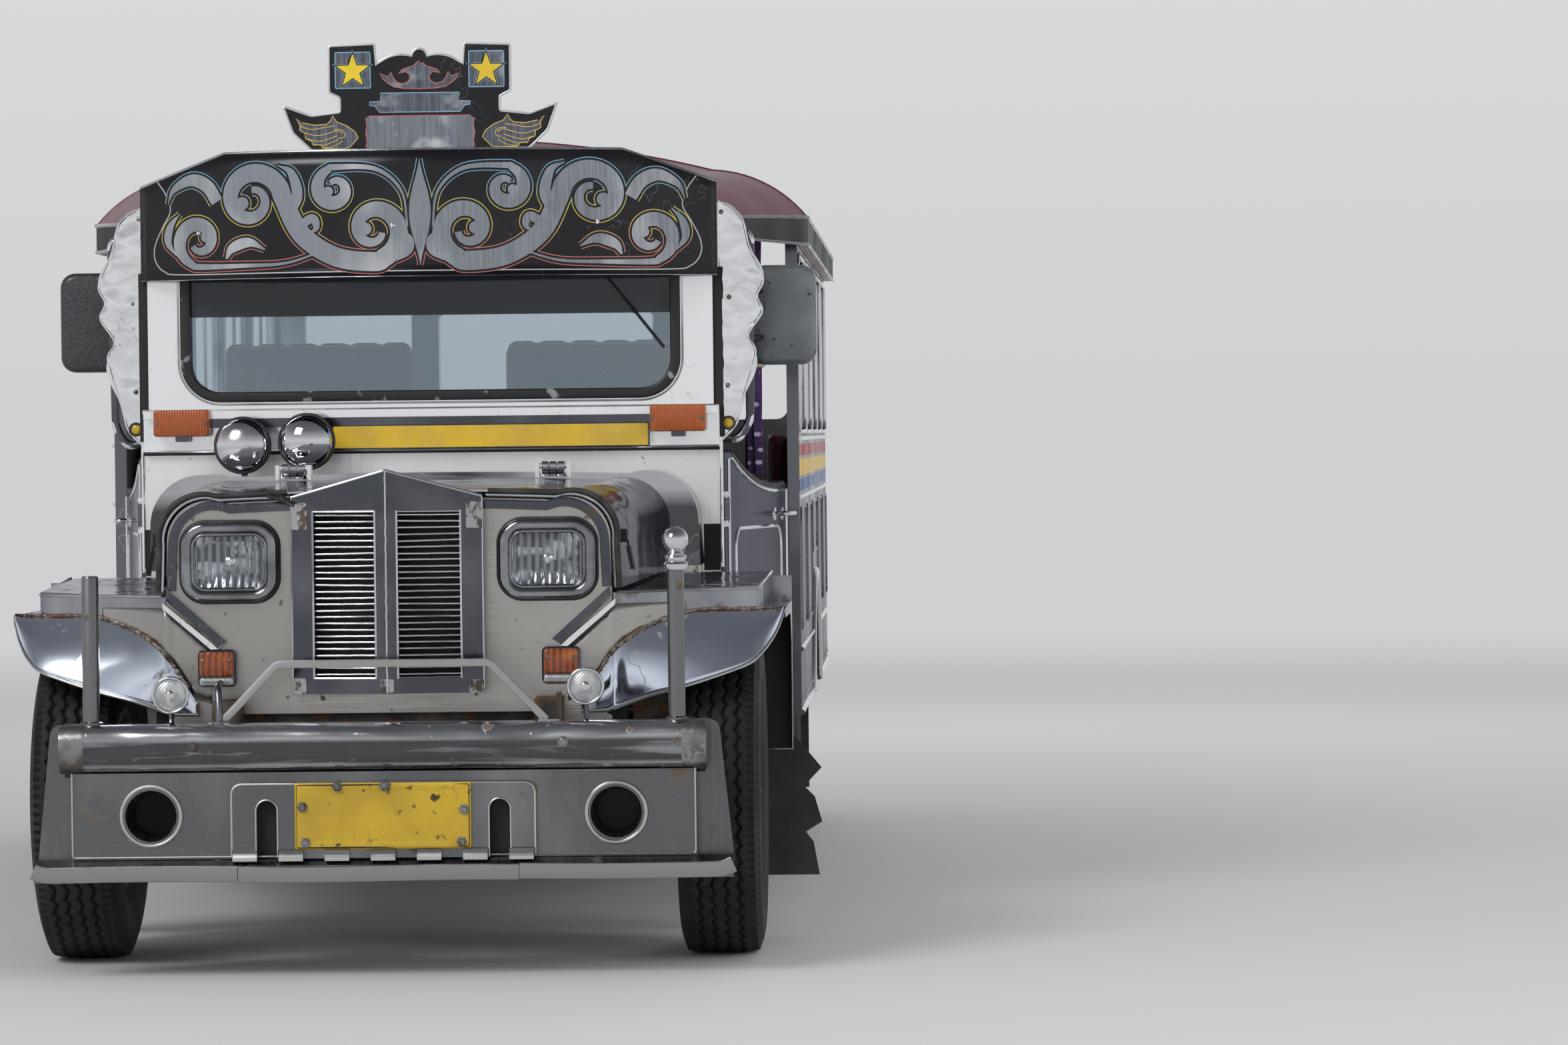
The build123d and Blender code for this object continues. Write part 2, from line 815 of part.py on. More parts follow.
# Grille shell: a V-nosed frame with a peaked top and two tall grid windows.
with BuildPart() as grille_shell:
    with BuildSketch(Plane.XY.offset(shell_bottom)):
        with BuildLine():
            Polyline(
                (-shell_half_width, y_of(nose_depth)),
                (-shell_half_width, y_of(shell_side_depth)),
                (0, y_of(ridge_depth)),
                (shell_half_width, y_of(shell_side_depth)),
                (shell_half_width, y_of(nose_depth)),
                close=True,
            )
        make_face()
    extrude(amount=shell_peak - shell_bottom)
    with BuildSketch(front_plane(nose_depth)):
        with BuildLine():
            Polyline(
                (-shell_half_width, shell_bottom),
                (shell_half_width, shell_bottom),
                (shell_half_width, shell_side_top),
                (0, shell_peak),
                (-shell_half_width, shell_side_top),
                close=True,
            )
        make_face()
    extrude(amount=nose_depth - ridge_depth, mode=Mode.INTERSECT)
    grid_x = (grid_centre_bar + grid_width) / 2
    with BuildSketch(front_plane(nose_depth)):
        with Locations(*[(side * grid_x, (grid_bottom + grid_top) / 2) for side in (-1, 1)]):
            Rectangle(grid_width, grid_top - grid_bottom)
    extrude(amount=nose_depth - ridge_depth, mode=Mode.SUBTRACT)
    bar(
        (-shell_half_width, shell_half_width),
        (hood_front_depth - 7, nose_depth),
        (hood_front_top - 45, shell_peak),
        mode=Mode.SUBTRACT,
    )
write(grille_shell, "grille_shell")

# Grille slats: two banks of tilted slats, each between two upright strips.
slat_pitch = (grid_top - grid_bottom) / slat_count
slat_depth = nose_depth - 17
with BuildPart() as grille_slats:
    for side in (-1, 1):
        x = side * grid_x
        for edge in (-1, 1):
            strip = x + edge * (grid_width / 2 - seat_gap - 2)
            bar((strip - 2, strip + 2), (nose_depth - 28, nose_depth), (grid_bottom, grid_top))
        with BuildSketch(side_plane(x - grid_width / 2 + 2)):
            for index in range(slat_count):
                with Locations((y_of(slat_depth), grid_bottom + (index + 0.5) * slat_pitch)):
                    Rectangle(slat_chord, slat_thickness, rotation=-20)
        extrude(amount=grid_width - 4)
write(grille_slats, "grille_slats")

# Headlamps: a rounded rectangular bezel and the sealed lens inside it.
with BuildPart() as headlamp_bezels:
    for side in (-1, 1):
        with BuildSketch(front_plane(nose_depth)):
            with Locations((side * headlamp_x, headlamp_z)):
                RectangleRounded(bezel_width, bezel_height, 50)
                RectangleRounded(lens_width, lens_height, 30, mode=Mode.SUBTRACT)
        extrude(amount=bezel_depth)
    front_edges = headlamp_bezels.faces().sort_by(Axis.Y)[0:2].edges()
    chamfer(front_edges, 9)
write(headlamp_bezels, "headlamp_bezels")

with BuildPart() as headlamp_lenses:
    for side in (-1, 1):
        with BuildSketch(front_plane(nose_depth)):
            with Locations((side * headlamp_x, headlamp_z)):
                RectangleRounded(lens_width - 2 * seat_gap, lens_height - 2 * seat_gap, 29)
        extrude(amount=bezel_depth - 12)
write(headlamp_lenses, "headlamp_lenses")

# Amber lamps: a small pair on the nose and a wide pair beside the cowl rail.
screen_face_depth = cowl_depth - panel_thickness
with BuildPart() as amber_lamps:
    for side in (-1, 1):
        with BuildSketch(front_plane(nose_depth)):
            with Locations((side * 386, 681)):
                RectangleRounded(82, 79, 8)
        extrude(amount=42)
        with BuildSketch(front_plane(screen_face_depth - screen_rail_depth)):
            with Locations((side * 604, 1234)):
                RectangleRounded(136, 65, 8)
        extrude(amount=44)
write(amber_lamps, "amber_lamps")

# Round lamps: two small ones on the bumper and two domed ones before the screen.
scuttle_knee_x = scuttle_half_width - 170


def scuttle_z(x):
    """The height of the scuttle's crowned top at an x, for a round foot on it."""
    return scuttle_top - 8 * (x / scuttle_knee_x) ** 2 + seat_gap


round_lamp_table = (  # x, depth of the rear face, z, radius, height of the seat
    (-457, 84, 635, 41, beam_top),
    (457, 84, 635, 41, beam_top),
    (-446, screen_face_depth - 100, 1179, 68, scuttle_z(446)),
    (-291, screen_face_depth - 100, 1186, 68, scuttle_z(291)),
)
dome = (1 + 0.45**2) / (2 * 0.45)
with BuildPart() as round_lamps:
    for x, depth, z, radius, seat in round_lamp_table:
        centre = (x, y_of(depth), z)
        with BuildSketch(Plane(origin=centre, x_dir=(1, 0, 0), z_dir=(0, 0, 1))):
            with BuildLine():
                Line((0, 0), (radius * 0.55, 0))
                Line((radius * 0.55, 0), (radius, -radius * 0.55))
                Line((radius, -radius * 0.55), (radius, -radius * 0.7))
                RadiusArc((radius, -radius * 0.7), (0, -radius * 1.15), dome * radius)
                Line((0, -radius * 1.15), (0, 0))
            make_face()
        revolve(axis=Axis(centre, (0, 1, 0)))
        stalk_depth = depth - radius * 0.45
        rod((x, stalk_depth, seat), (x, stalk_depth, z - radius * 0.8), 8)
write(round_lamps, "round_lamps")


# Fenders: a flat top that widens rearwards, a swept front face, a flare that
# falls forwards from the face to a diagonal lower edge, and a rear skirt.
flare_table = (  # x, upper depth, upper z, lower depth, lower z
    (430, 213, 600, 210, 577),
    (483, 213, 686, 211, 578),
    (500, 213, 707, 213, 582),
    (514, 225, 724, 220, 585),
    (579, 281, 766, 234, 608),
    (675, 351, 796, 258, 633),
    (822, 452, 796, 308, 673),
    (875, 458, 796, 335, 692),
)


def fender(side):
    """The left (side 1) or right (side -1) front fender."""
    with BuildPart() as part:
        with BuildSketch(Plane.XY.offset(fender_front_top - fender_band)):
            with BuildLine():
                Polyline(
                    (side * 504, y_of(nose_depth + nose_thickness)),
                    (side * 504, y_of(nose_depth + 2)),
                    (side * fender_front_x, y_of(fender_front_depth)),
                    (side * fender_rear_x, y_of(fender_rear_depth)),
                    (side * 440, y_of(fender_rear_depth)),
                    (side * 440, y_of(nose_depth + nose_thickness)),
                    close=True,
                )
            make_face()
        extrude(amount=200)
        with BuildSketch(side_plane(side * 400)):
            with BuildLine():
                Polyline(
                    (y_of(0), 0),
                    (y_of(nose_depth), fender_front_top),
                    (y_of(fender_rear_depth), fender_rear_top),
                    (y_of(fender_rear_depth), 0),
                    close=True,
                )
            make_face()
        extrude(amount=side * 500, mode=Mode.INTERSECT)
        with BuildSketch(Plane.XY.offset(fender_front_top - fender_band)):
            with BuildLine():
                Polyline(
                    (side * (504 - fender_wall), y_of(nose_depth + nose_thickness)),
                    (side * (fender_front_x - fender_wall), y_of(fender_front_depth + fender_wall)),
                    (side * (fender_rear_x - fender_wall), y_of(fender_rear_depth)),
                    (side * 440, y_of(fender_rear_depth)),
                    (side * 440, y_of(nose_depth + nose_thickness)),
                    close=True,
                )
            make_face()
        extrude(amount=fender_band - fender_wall, mode=Mode.SUBTRACT)
        for start, end in zip(flare_table[:-1], flare_table[1:]):
            for x, top_d, top_z, low_d, low_z in (start, end):
                with BuildSketch(side_plane(side * x)):
                    with BuildLine():
                        Polyline(
                            (y_of(top_d), top_z),
                            (y_of(low_d), low_z),
                            (y_of(low_d + fender_wall), low_z),
                            (y_of(top_d + fender_wall), top_z),
                            close=True,
                        )
                    make_face()
            loft(ruled=True)
        for start, end in zip(flare_table[3:6], flare_table[4:7]):
            for x, top_d, top_z, low_d, low_z in (start, end):
                with BuildSketch(side_plane(side * x)):
                    with BuildLine():
                        Polyline(
                            (y_of(top_d), top_z - 2),
                            (y_of(top_d), fender_front_top - fender_band + 4),
                            (y_of(top_d + fender_wall), fender_front_top - fender_band + 4),
                            (y_of(top_d + fender_wall), top_z - 2),
                            close=True,
                        )
                    make_face()
            loft(ruled=True)
        with BuildSketch(Plane.XY.offset(fender_front_top - fender_band - 6)):
            with BuildLine():
                Polyline(
                    (side * (fender_front_x - 40), y_of(fender_front_depth)),
                    (side * fender_flare_x, y_of(fender_front_depth)),
                    (side * fender_skirt_x, y_of(fender_rear_depth)),
                    (side * (fender_rear_x - 40), y_of(fender_rear_depth)),
                    close=True,
                )
            make_face()
        extrude(amount=8)
        bar(
            (side * cowl_half_width, side * fender_skirt_x),
            (fender_rear_depth, fender_rear_depth + fender_wall),
            (fender_skirt_bottom, fender_rear_top - 10),
        )
        with BuildSketch(side_plane(side * fender_skirt_x)):
            with BuildLine():
                Polyline(
                    (y_of(fender_front_depth), fender_front_top - fender_band + 2),
                    (y_of(fender_front_depth), fender_front_top - fender_band - 20),
                    (y_of(fender_rear_depth - 120), fender_front_top - fender_band - 24),
                    (y_of(fender_rear_depth - 40), fender_front_top - 150),
                    (y_of(fender_rear_depth - 30), fender_skirt_bottom),
                    (y_of(fender_rear_depth + fender_wall), fender_skirt_bottom),
                    (y_of(fender_rear_depth + fender_wall), fender_front_top - fender_band + 2),
                    close=True,
                )
            make_face()
        extrude(amount=-side * fender_wall)
        bar(
            (side * 432, side * 440),
            (nose_depth + nose_thickness, firewall_depth - seat_gap),
            (600, fender_rear_top - 30),
        )
    return part


write(fender(1), "fender_left")
write(fender(-1), "fender_right")

# Mud flaps: a pair behind the front wheels with notched outer edges and a
# plain pair behind the rear wheels, hung from the body by a bent strap.
flap_thickness = 6
front_flap_depth = 1150
rear_flap_depth = rear_axle_depth + arch_radius + 60
claw_outline = (  # x, z of the outer edge, from the top down
    (883, 470),
    (947, 392),
    (905, 348),
    (930, 322),
    (947, 262),
    (908, 238),
    (926, 214),
    (940, 135),
)
with BuildPart() as mud_flaps:
    for side in (-1, 1):
        with BuildSketch(front_plane(front_flap_depth + flap_thickness)):
            with BuildLine():
                outer = [(side * x, z) for x, z in claw_outline]
                Polyline((side * 690, 470), *outer, (side * 690, 135), close=True)
            make_face()
        extrude(amount=flap_thickness)
        bar(
            (side * 690, side * 860),
            (front_flap_depth, front_flap_depth + flap_thickness),
            (470, body_bottom + 30),
        )
        bar(
            (side * 640, side * (body_half_width - body_wall - 3)),
            (rear_flap_depth, rear_flap_depth + flap_thickness),
            (150, floor_bottom),
        )
write(mud_flaps, "mud_flaps")

# Cowl: the firewall, the arched scuttle behind the hood, the flat face under
# the windscreen with its foot opening, the kick panels and the dashboard.
scuttle_wall = 12
firewall_bottom = rail_top
foot_half_width = 560
foot_top = 1010
dash_depth = 1510
dash_bottom = 1080
kick_front_depth = 1062
with BuildPart() as cowl:
    firewall = hood_outline(
        firewall_depth + scuttle_wall, scuttle_half_width, firewall_bottom, 975, scuttle_top, 170, 0
    )
    extrude(firewall, amount=-(cowl_depth - panel_thickness - firewall_depth - scuttle_wall))
    hollow = hood_outline(
        firewall_depth + scuttle_wall,
        scuttle_half_width,
        firewall_bottom - 50,
        975,
        scuttle_top,
        170,
        scuttle_wall,
    )
    extrude(hollow, amount=-(cowl_depth - firewall_depth), mode=Mode.SUBTRACT)
    extrude(firewall, amount=scuttle_wall)
    bar(
        (-cowl_half_width, cowl_half_width),
        (cowl_depth - panel_thickness, cowl_depth),
        (floor_top, cowl_top),
    )
    bar(
        (-foot_half_width, foot_half_width),
        (cowl_depth - panel_thickness - 5, cowl_depth + 5),
        (floor_top - 5, foot_top),
        mode=Mode.SUBTRACT,
    )
    bar((-cowl_half_width + 40, cowl_half_width - 40), (cowl_depth, dash_depth), (dash_bottom, cowl_top))
    for side in (-1, 1):
        bar(
            (side * (cowl_half_width - 20), side * cowl_half_width),
            (kick_front_depth, cowl_depth),
            (body_bottom + 30, 860),
        )
        bar(
            (side * (scuttle_half_width - 4), side * (cowl_half_width - 10)),
            (firewall_depth, firewall_depth + scuttle_wall),
            (firewall_bottom, 860),
        )
        for centre in door_hinge_heights:
            reach = hinge_barrel_length / 2 + hinge_gap
            for end in (-1, 1):
                bar(
                    (side * (cowl_half_width - 12), side * (door_front_x + 8)),
                    (cowl_depth - 12, door_front_depth + 8),
                    (centre + end * reach, centre + end * (reach + 10)),
                )
            rod(
                (side * door_front_x, door_front_depth, centre - reach - 5),
                (side * door_front_x, door_front_depth, centre + reach + 5),
                hinge_pin_radius,
            )
        reach = hinge_barrel_length / 2 + hinge_gap
        for end in (-1, 1):
            ear_x = side * hood_hinge_x + end * reach
            bar(
                (ear_x, ear_x + end * 10),
                (hood_hinge_depth - 8, firewall_depth + 20),
                (scuttle_top - 14, hood_hinge_z + 8),
            )
        rod(
            (side * hood_hinge_x - reach - 5, hood_hinge_depth, hood_hinge_z),
            (side * hood_hinge_x + reach + 5, hood_hinge_depth, hood_hinge_z),
            hinge_pin_radius,
        )
write(cowl, "cowl")

# Windscreen frame: a polished panel with one round-cornered window, a channel
# rail along its foot and a short return above.
with BuildPart() as windscreen_frame:
    with BuildSketch(front_plane(cowl_depth)):
        with Locations((0, (cowl_top + screen_panel_top) / 2)):
            Rectangle(2 * cowl_half_width, screen_panel_top - cowl_top)
        with Locations((0, (screen_bottom + screen_top) / 2)):
            RectangleRounded(
                2 * screen_half_width, screen_top - screen_bottom, screen_corner, mode=Mode.SUBTRACT
            )
    extrude(amount=panel_thickness)
    bar(
        (-cowl_half_width, cowl_half_width),
        (screen_face_depth - screen_rail_depth, screen_face_depth),
        (cowl_top, cowl_top + 8),
    )
    bar(
        (-cowl_half_width, cowl_half_width),
        (screen_face_depth - screen_rail_depth, screen_face_depth),
        (screen_rail_top - 8, screen_rail_top),
    )
    bar(
        (-cowl_half_width, cowl_half_width),
        (screen_face_depth - 8, screen_face_depth),
        (cowl_top, screen_rail_top),
    )
    for side in (-1, 1):
        bar(
            (side * 540, side * 668),
            (screen_face_depth - screen_rail_depth, screen_face_depth),
            (1206, 1262),
        )
write(windscreen_frame, "windscreen_frame")

# Windscreen glass, one pane in the window.
glass_thickness = 6
with BuildPart() as windscreen_glass:
    with BuildSketch(front_plane(cowl_depth - 6)):
        with Locations((0, (screen_bottom + screen_top) / 2)):
            RectangleRounded(
                2 * (screen_half_width - seat_gap),
                screen_top - screen_bottom - 2 * seat_gap,
                screen_corner - seat_gap,
            )
    extrude(amount=glass_thickness)
write(windscreen_glass, "windscreen_glass")


# Sign board over the windscreen: a hollow visor, bowed in plan, flat along the
# middle of its top and falling to both ends, open underneath.
def visor_plan(inset, height):
    """The board's plan, moved inwards by inset, at a height."""
    half = cowl_half_width - inset
    back = y_of(screen_face_depth)
    with BuildSketch(Plane.XY.offset(height)) as plan:
        with BuildLine():
            ThreePointArc(
                (-half, y_of(visor_end_depth + inset)),
                (0, y_of(visor_centre_depth + inset)),
                (half, y_of(visor_end_depth + inset)),
            )
            Polyline(
                (half, y_of(visor_end_depth + inset)),
                (half, back),
                (-half, back),
                (-half, y_of(visor_end_depth + inset)),
            )
        make_face()
    return plan.sketch


def visor_front(inset):
    """The board's outline from the front, moved down by inset, as a sketch."""
    with BuildSketch(front_plane(screen_face_depth)) as outline:
        with BuildLine():
            Polyline(
                (-cowl_half_width, visor_bottom - inset),
                (cowl_half_width, visor_bottom - inset),
                (cowl_half_width, visor_end_top - inset),
                (visor_flat_half_width, visor_top - inset),
                (-visor_flat_half_width, visor_top - inset),
                (-cowl_half_width, visor_end_top - inset),
                close=True,
            )
        make_face()
    return outline.sketch


visor_reach = screen_face_depth - visor_centre_depth + 20
with BuildPart(mode=Mode.PRIVATE) as visor_hollow:
    extrude(visor_plan(visor_wall, visor_bottom - 20), amount=400)
    extrude(visor_front(visor_wall), amount=visor_reach, mode=Mode.INTERSECT)
with BuildPart() as sign_visor:
    extrude(visor_plan(0, visor_bottom), amount=400)
    extrude(visor_front(0), amount=visor_reach, mode=Mode.INTERSECT)
    add(visor_hollow.part, mode=Mode.SUBTRACT)
write(sign_visor, "sign_visor")

# Crest on top of the board: two square lamp boxes, a scalloped peak between
# them, a neck and a pair of wings, cut from one plate.
with BuildPart() as sign_crest:
    with BuildSketch(front_plane(crest_depth + crest_thickness)):
        with BuildLine():
            for side in (-1, 1):
                Polyline(
                    (side * 96, visor_top),
                    (side * 262, visor_top),
                    (side * 306, visor_top + 44),
                    (side * 329, visor_top + 108),
                    (side * 262, visor_top + 84),
                    (side * 192, visor_top + 92),
                    (side * 192, visor_top + 128),
                    (side * 218, visor_top + 140),
                    (side * 218, crest_top - 4),
                    (side * 108, crest_top),
                    (side * 104, crest_top - 52),
                )
                ThreePointArc(
                    (side * 104, crest_top - 52),
                    (side * 62, crest_top - 28),
                    (side * 18, crest_top - 30),
                )
            ThreePointArc((-18, crest_top - 30), (0, crest_top - 12), (18, crest_top - 30))
            Line((-96, visor_top), (96, visor_top))
        make_face()
    extrude(amount=crest_thickness)
write(sign_crest, "sign_crest")

# Wing panels: thin polished plates with a scalloped outer edge beside the
# windscreen, each backed by a bent tube from the cowl.
wing_edge = (  # reach beyond the panel, z
    (4, 1762),
    (56, 1727),
    (78, 1650),
    (110, 1573),
    (95, 1530),
    (107, 1491),
    (73, 1434),
    (90, 1389),
    (57, 1275),
    (42, 1220),
    (6, 1179),
)
wing_thickness = 4
tube_radius = 9
tube_depth = cowl_depth + wing_thickness + tube_radius - 2
tube_path = ((702, 1188), (748, 1178), (777, 1226), (783, 1672), (754, 1704))  # x, z
with BuildPart() as wing_panels:
    for side in (-1, 1):
        edge = [(side * (cowl_half_width + reach), z) for reach, z in wing_edge]
        with BuildSketch(front_plane(cowl_depth + wing_thickness)):
            with BuildLine():
                Spline(*edge)
                Polyline(edge[-1], (side * (cowl_half_width - 12), 1179))
                Polyline((side * (cowl_half_width - 12), 1179), (side * (cowl_half_width - 12), 1762))
                Polyline((side * (cowl_half_width - 12), 1762), edge[0])
            make_face()
        extrude(amount=wing_thickness)
        corners_of_tube = [(side * x, y_of(tube_depth), z) for x, z in tube_path]
        with BuildLine():
            FilletPolyline(*corners_of_tube, radius=22)
        start, after = (Vector(point) for point in corners_of_tube[:2])
        with BuildSketch(Plane(origin=start, z_dir=after - start)):
            Circle(tube_radius)
        sweep()
write(wing_panels, "wing_panels")

# Mirrors: a rounded head on a two-bar arm from the cab's front pillar.
mirror_x = 855
mirror_half_width = 80
mirror_bottom = 1365
mirror_top = 1608
mirror_depth = 1600
mirror_thickness = 62
with BuildPart() as mirrors:
    for side in (-1, 1):
        with BuildSketch(front_plane(mirror_depth + mirror_thickness)):
            with Locations((side * mirror_x, (mirror_bottom + mirror_top) / 2)):
                RectangleRounded(2 * mirror_half_width, mirror_top - mirror_bottom, 34)
        extrude(amount=mirror_thickness)
    chamfer(mirrors.faces().filter_by(Axis.Y).edges(), 10)
    plate_depth = cowl_depth + wing_thickness + seat_gap
    for side in (-1, 1):
        bar(
            (side * (cowl_half_width - 34), side * (cowl_half_width + 4)),
            (plate_depth, plate_depth + 12),
            (1405, 1570),
        )
        for z in (1430, 1545):
            start = (side * (cowl_half_width - 10), plate_depth + 10, z)
            rod(start, (side * (mirror_x - 30), mirror_depth + 40, z), 8)
write(mirrors, "mirrors")


# The roof's section: a crowned middle, round shoulders and short upright edges.
def roof_section(depth, half_width, edge_z, shoulder_x, shoulder_z, crown_z, inset):
    """A closed section of the roof at a depth, moved inwards by inset."""
    half = half_width - inset
    knee_x = shoulder_x - inset * 0.4
    knee_z = shoulder_z - inset
    mid_x = (half + knee_x) / 2 + (half - knee_x) * 0.14
    mid_z = edge_z + (knee_z - edge_z) * 0.62
    bottom = fascia_bottom if inset == 0 else fascia_bottom - 20
    with BuildSketch(front_plane(depth)) as section:
        with BuildLine():
            ThreePointArc((-knee_x, knee_z), (0, crown_z - inset), (knee_x, knee_z))
            ThreePointArc((knee_x, knee_z), (mid_x, mid_z), (half, edge_z))
            Polyline((half, edge_z), (half, bottom), (-half, bottom), (-half, edge_z))
            ThreePointArc((-half, edge_z), (-mid_x, mid_z), (-knee_x, knee_z))
        make_face()
    return section.sketch


# Roof: one constant shell over the passengers and a tapering cab shell in front
# of it, both open below and at their ends.
cab_roof_front_depth = cowl_depth + wing_thickness + seat_gap
cab_section = (718, 1725, 540, 1822, 1856)
main_section = (roof_half_width, roof_edge, roof_shoulder_x, roof_shoulder_z, roof_crown)
roof_front_depth = 2060
roof_rear_depth = 5740
with BuildPart() as roof:
    for inset, reach, mode in ((0, 0, Mode.ADD), (roof_wall, 1, Mode.SUBTRACT)):
        front = roof_section(cab_roof_front_depth - reach, *cab_section, inset)
        middle = roof_section(roof_front_depth, *main_section, inset)
        rear = roof_section(roof_rear_depth + reach, *main_section, inset)
        loft([front, middle], mode=mode)
        extrude(middle, amount=-(roof_rear_depth + reach - roof_front_depth), mode=mode)
write(roof, "roof")


# Passenger body sides: a wall with a row of windows over the belt, a wheel arch
# and one pillar between each pair of windows.
def body_side(side):
    """The left (side 1) or right (side -1) wall of the passenger body."""
    with BuildPart() as part:
        with BuildSketch(side_plane(side * body_half_width)) as outline:
            with BuildLine():
                Polyline(
                    (y_of(body_front_depth), body_bottom),
                    (y_of(body_rear_depth), body_bottom),
                    (y_of(body_rear_depth), window_top + 40),
                    (y_of(body_front_depth), window_top + 40),
                    close=True,
                )
            make_face()
            with Locations((y_of(rear_axle_depth), axle_height)):
                Circle(arch_radius, mode=Mode.SUBTRACT)
            span = body_rear_depth - body_front_depth - pillar_width
            pitch = span / window_count
            for index in range(window_count):
                centre = body_front_depth + pillar_width / 2 + (index + 0.5) * pitch
                with Locations((y_of(centre), (belt_height + window_top) / 2)):
                    RectangleRounded(
                        pitch - pillar_width, window_top - belt_height, 40, mode=Mode.SUBTRACT
                    )
        extrude(amount=-side * body_wall)
    return part


write(body_side(1), "body_side_left")
write(body_side(-1), "body_side_right")

# Rear frame: the end wall with its doorway, two lights and a header.
inner_half_width = body_half_width - body_wall
with BuildPart() as rear_frame:
    with BuildSketch(front_plane(body_rear_depth)):
        with Locations((0, (body_bottom + window_top) / 2)):
            Rectangle(2 * inner_half_width, window_top - body_bottom)
        with Locations((0, (floor_top + window_top) / 2)):
            Rectangle(2 * doorway_half_width, window_top - floor_top - 60, mode=Mode.SUBTRACT)
        for side in (-1, 1):
            with Locations((side * (doorway_half_width + inner_half_width) / 2, 1425)):
                RectangleRounded(340, 380, 40, mode=Mode.SUBTRACT)
    extrude(amount=body_wall)
    bar(
        (-doorway_half_width, doorway_half_width),
        (body_rear_depth - body_wall, body_rear_depth),
        (floor_bottom, floor_top + 30),
        mode=Mode.SUBTRACT,
    )
write(rear_frame, "rear_frame")

# Floor: the deck, the wheel boxes that carry the benches, the front seat bases
# and the slanted sills under the doors.
bench_inner_x = 470
bench_front_depth = 2420
bench_rear_depth = body_rear_depth - body_wall - 1
bench_base_top = 960
box_wall = 18
cab_seat_base_top = 930
foot_floor_half = scuttle_half_width - scuttle_wall - 1.3
well_front_depth = rear_axle_depth - arch_radius - 8
well_rear_depth = rear_axle_depth + arch_radius + 8
with BuildPart() as floor:
    with BuildSketch(Plane.XY.offset(floor_bottom)):
        with BuildLine():
            Polyline(
                (-foot_floor_half, y_of(firewall_depth + scuttle_wall)),
                (foot_floor_half, y_of(firewall_depth + scuttle_wall)),
                (foot_floor_half, y_of(cowl_depth)),
                (inner_half_width - 66, y_of(body_front_depth - 20)),
                (inner_half_width, y_of(body_front_depth)),
                (inner_half_width, y_of(body_rear_depth - body_wall)),
                (-inner_half_width, y_of(body_rear_depth - body_wall)),
                (-inner_half_width, y_of(body_front_depth)),
                (66 - inner_half_width, y_of(body_front_depth - 20)),
                (-foot_floor_half, y_of(cowl_depth)),
                close=True,
            )
        make_face()
    extrude(amount=floor_thickness)
    for side in (-1, 1):
        bar(
            (side * (bench_inner_x + 70), side * (inner_half_width + 1)),
            (well_front_depth, well_rear_depth),
            (floor_bottom - 5, floor_top + 5),
            mode=Mode.SUBTRACT,
        )
        inner_x = side * (bench_inner_x + 40)
        bar(
            (inner_x, side * inner_half_width),
            (bench_front_depth, bench_rear_depth),
            (bench_base_top - box_wall, bench_base_top),
        )
        bar(
            (inner_x, inner_x + side * box_wall),
            (bench_front_depth, bench_rear_depth),
            (floor_top, bench_base_top),
        )
        for depth in (bench_front_depth, well_front_depth - box_wall, well_rear_depth, 5640):
            bar(
                (inner_x, side * inner_half_width),
                (depth, depth + box_wall),
                (floor_top, bench_base_top),
            )
        seat_sides = (side * 130, side * 600)
        bar(seat_sides, (1895, 2290), (floor_top, cab_seat_base_top))
        with BuildSketch(Plane.XY.offset(body_bottom + 30)):
            with BuildLine():
                Polyline(
                    (side * (cowl_half_width - 20), y_of(cowl_depth)),
                    (side * (cowl_half_width + 5), y_of(cowl_depth)),
                    (side * (door_rear_x + 2), y_of(body_front_depth)),
                    (side * (door_rear_x - 40), y_of(body_front_depth)),
                    close=True,
                )
            make_face()
        extrude(amount=door_bottom - body_bottom - 36)
        for depth in (1470, 1800, 2080):
            bar((side * 560, side * 720), (depth, depth + 30), (door_bottom - 30, door_bottom - 6))
            bar((side * 560, side * 590), (depth, depth + 30), (door_bottom - 30, floor_bottom))
write(floor, "floor")

# Benches: two long cushions and the two back pads along the walls.
cushion_height = 90
bench_cushion_top = bench_base_top + cushion_height
with BuildPart() as bench_seats:
    for side in (-1, 1):
        bar(
            (side * bench_inner_x, side * (inner_half_width - 64)),
            (bench_front_depth, bench_rear_depth - 4),
            (bench_base_top + seat_gap, bench_cushion_top),
        )
        bar(
            (side * (inner_half_width - 62), side * (inner_half_width - seat_gap)),
            (bench_front_depth, bench_rear_depth - 4),
            (bench_base_top + seat_gap, belt_height - 10),
        )
    fillet(bench_seats.edges().filter_by(Axis.Y), 14)
write(bench_seats, "bench_seats")

# Cab seats: the driver's and the passenger's cushion and back pad.
cab_cushion_top = cab_seat_base_top + 100
with BuildPart() as cab_seats:
    for side in (-1, 1):
        bar(
            (side * 120, side * 610),
            (1885, 2230),
            (cab_seat_base_top + seat_gap, cab_cushion_top),
        )
        bar((side * 120, side * 610), (2232, 2320), (cab_seat_base_top + seat_gap, 1440))
    fillet(cab_seats.edges().filter_by(Axis.X), 24)
write(cab_seats, "cab_seats")

# Steering: the column runs from the firewall, under the dash, to the wheel.
steer_x = 365
steer_low = (steer_x, firewall_depth + scuttle_wall, 760)
steer_hub = (steer_x, 1700, 1190)
steer_rise = atan2(steer_hub[2] - steer_low[2], steer_hub[1] - steer_low[1])
steer_axis = (0, cos(steer_rise), sin(steer_rise))
wheel_rim_radius = 205
column_end = 40


def along_column(distance):
    """A point on the column's axis, at a distance below the wheel's hub."""
    return (steer_x, steer_hub[1] - distance * steer_axis[1], steer_hub[2] - distance * steer_axis[2])


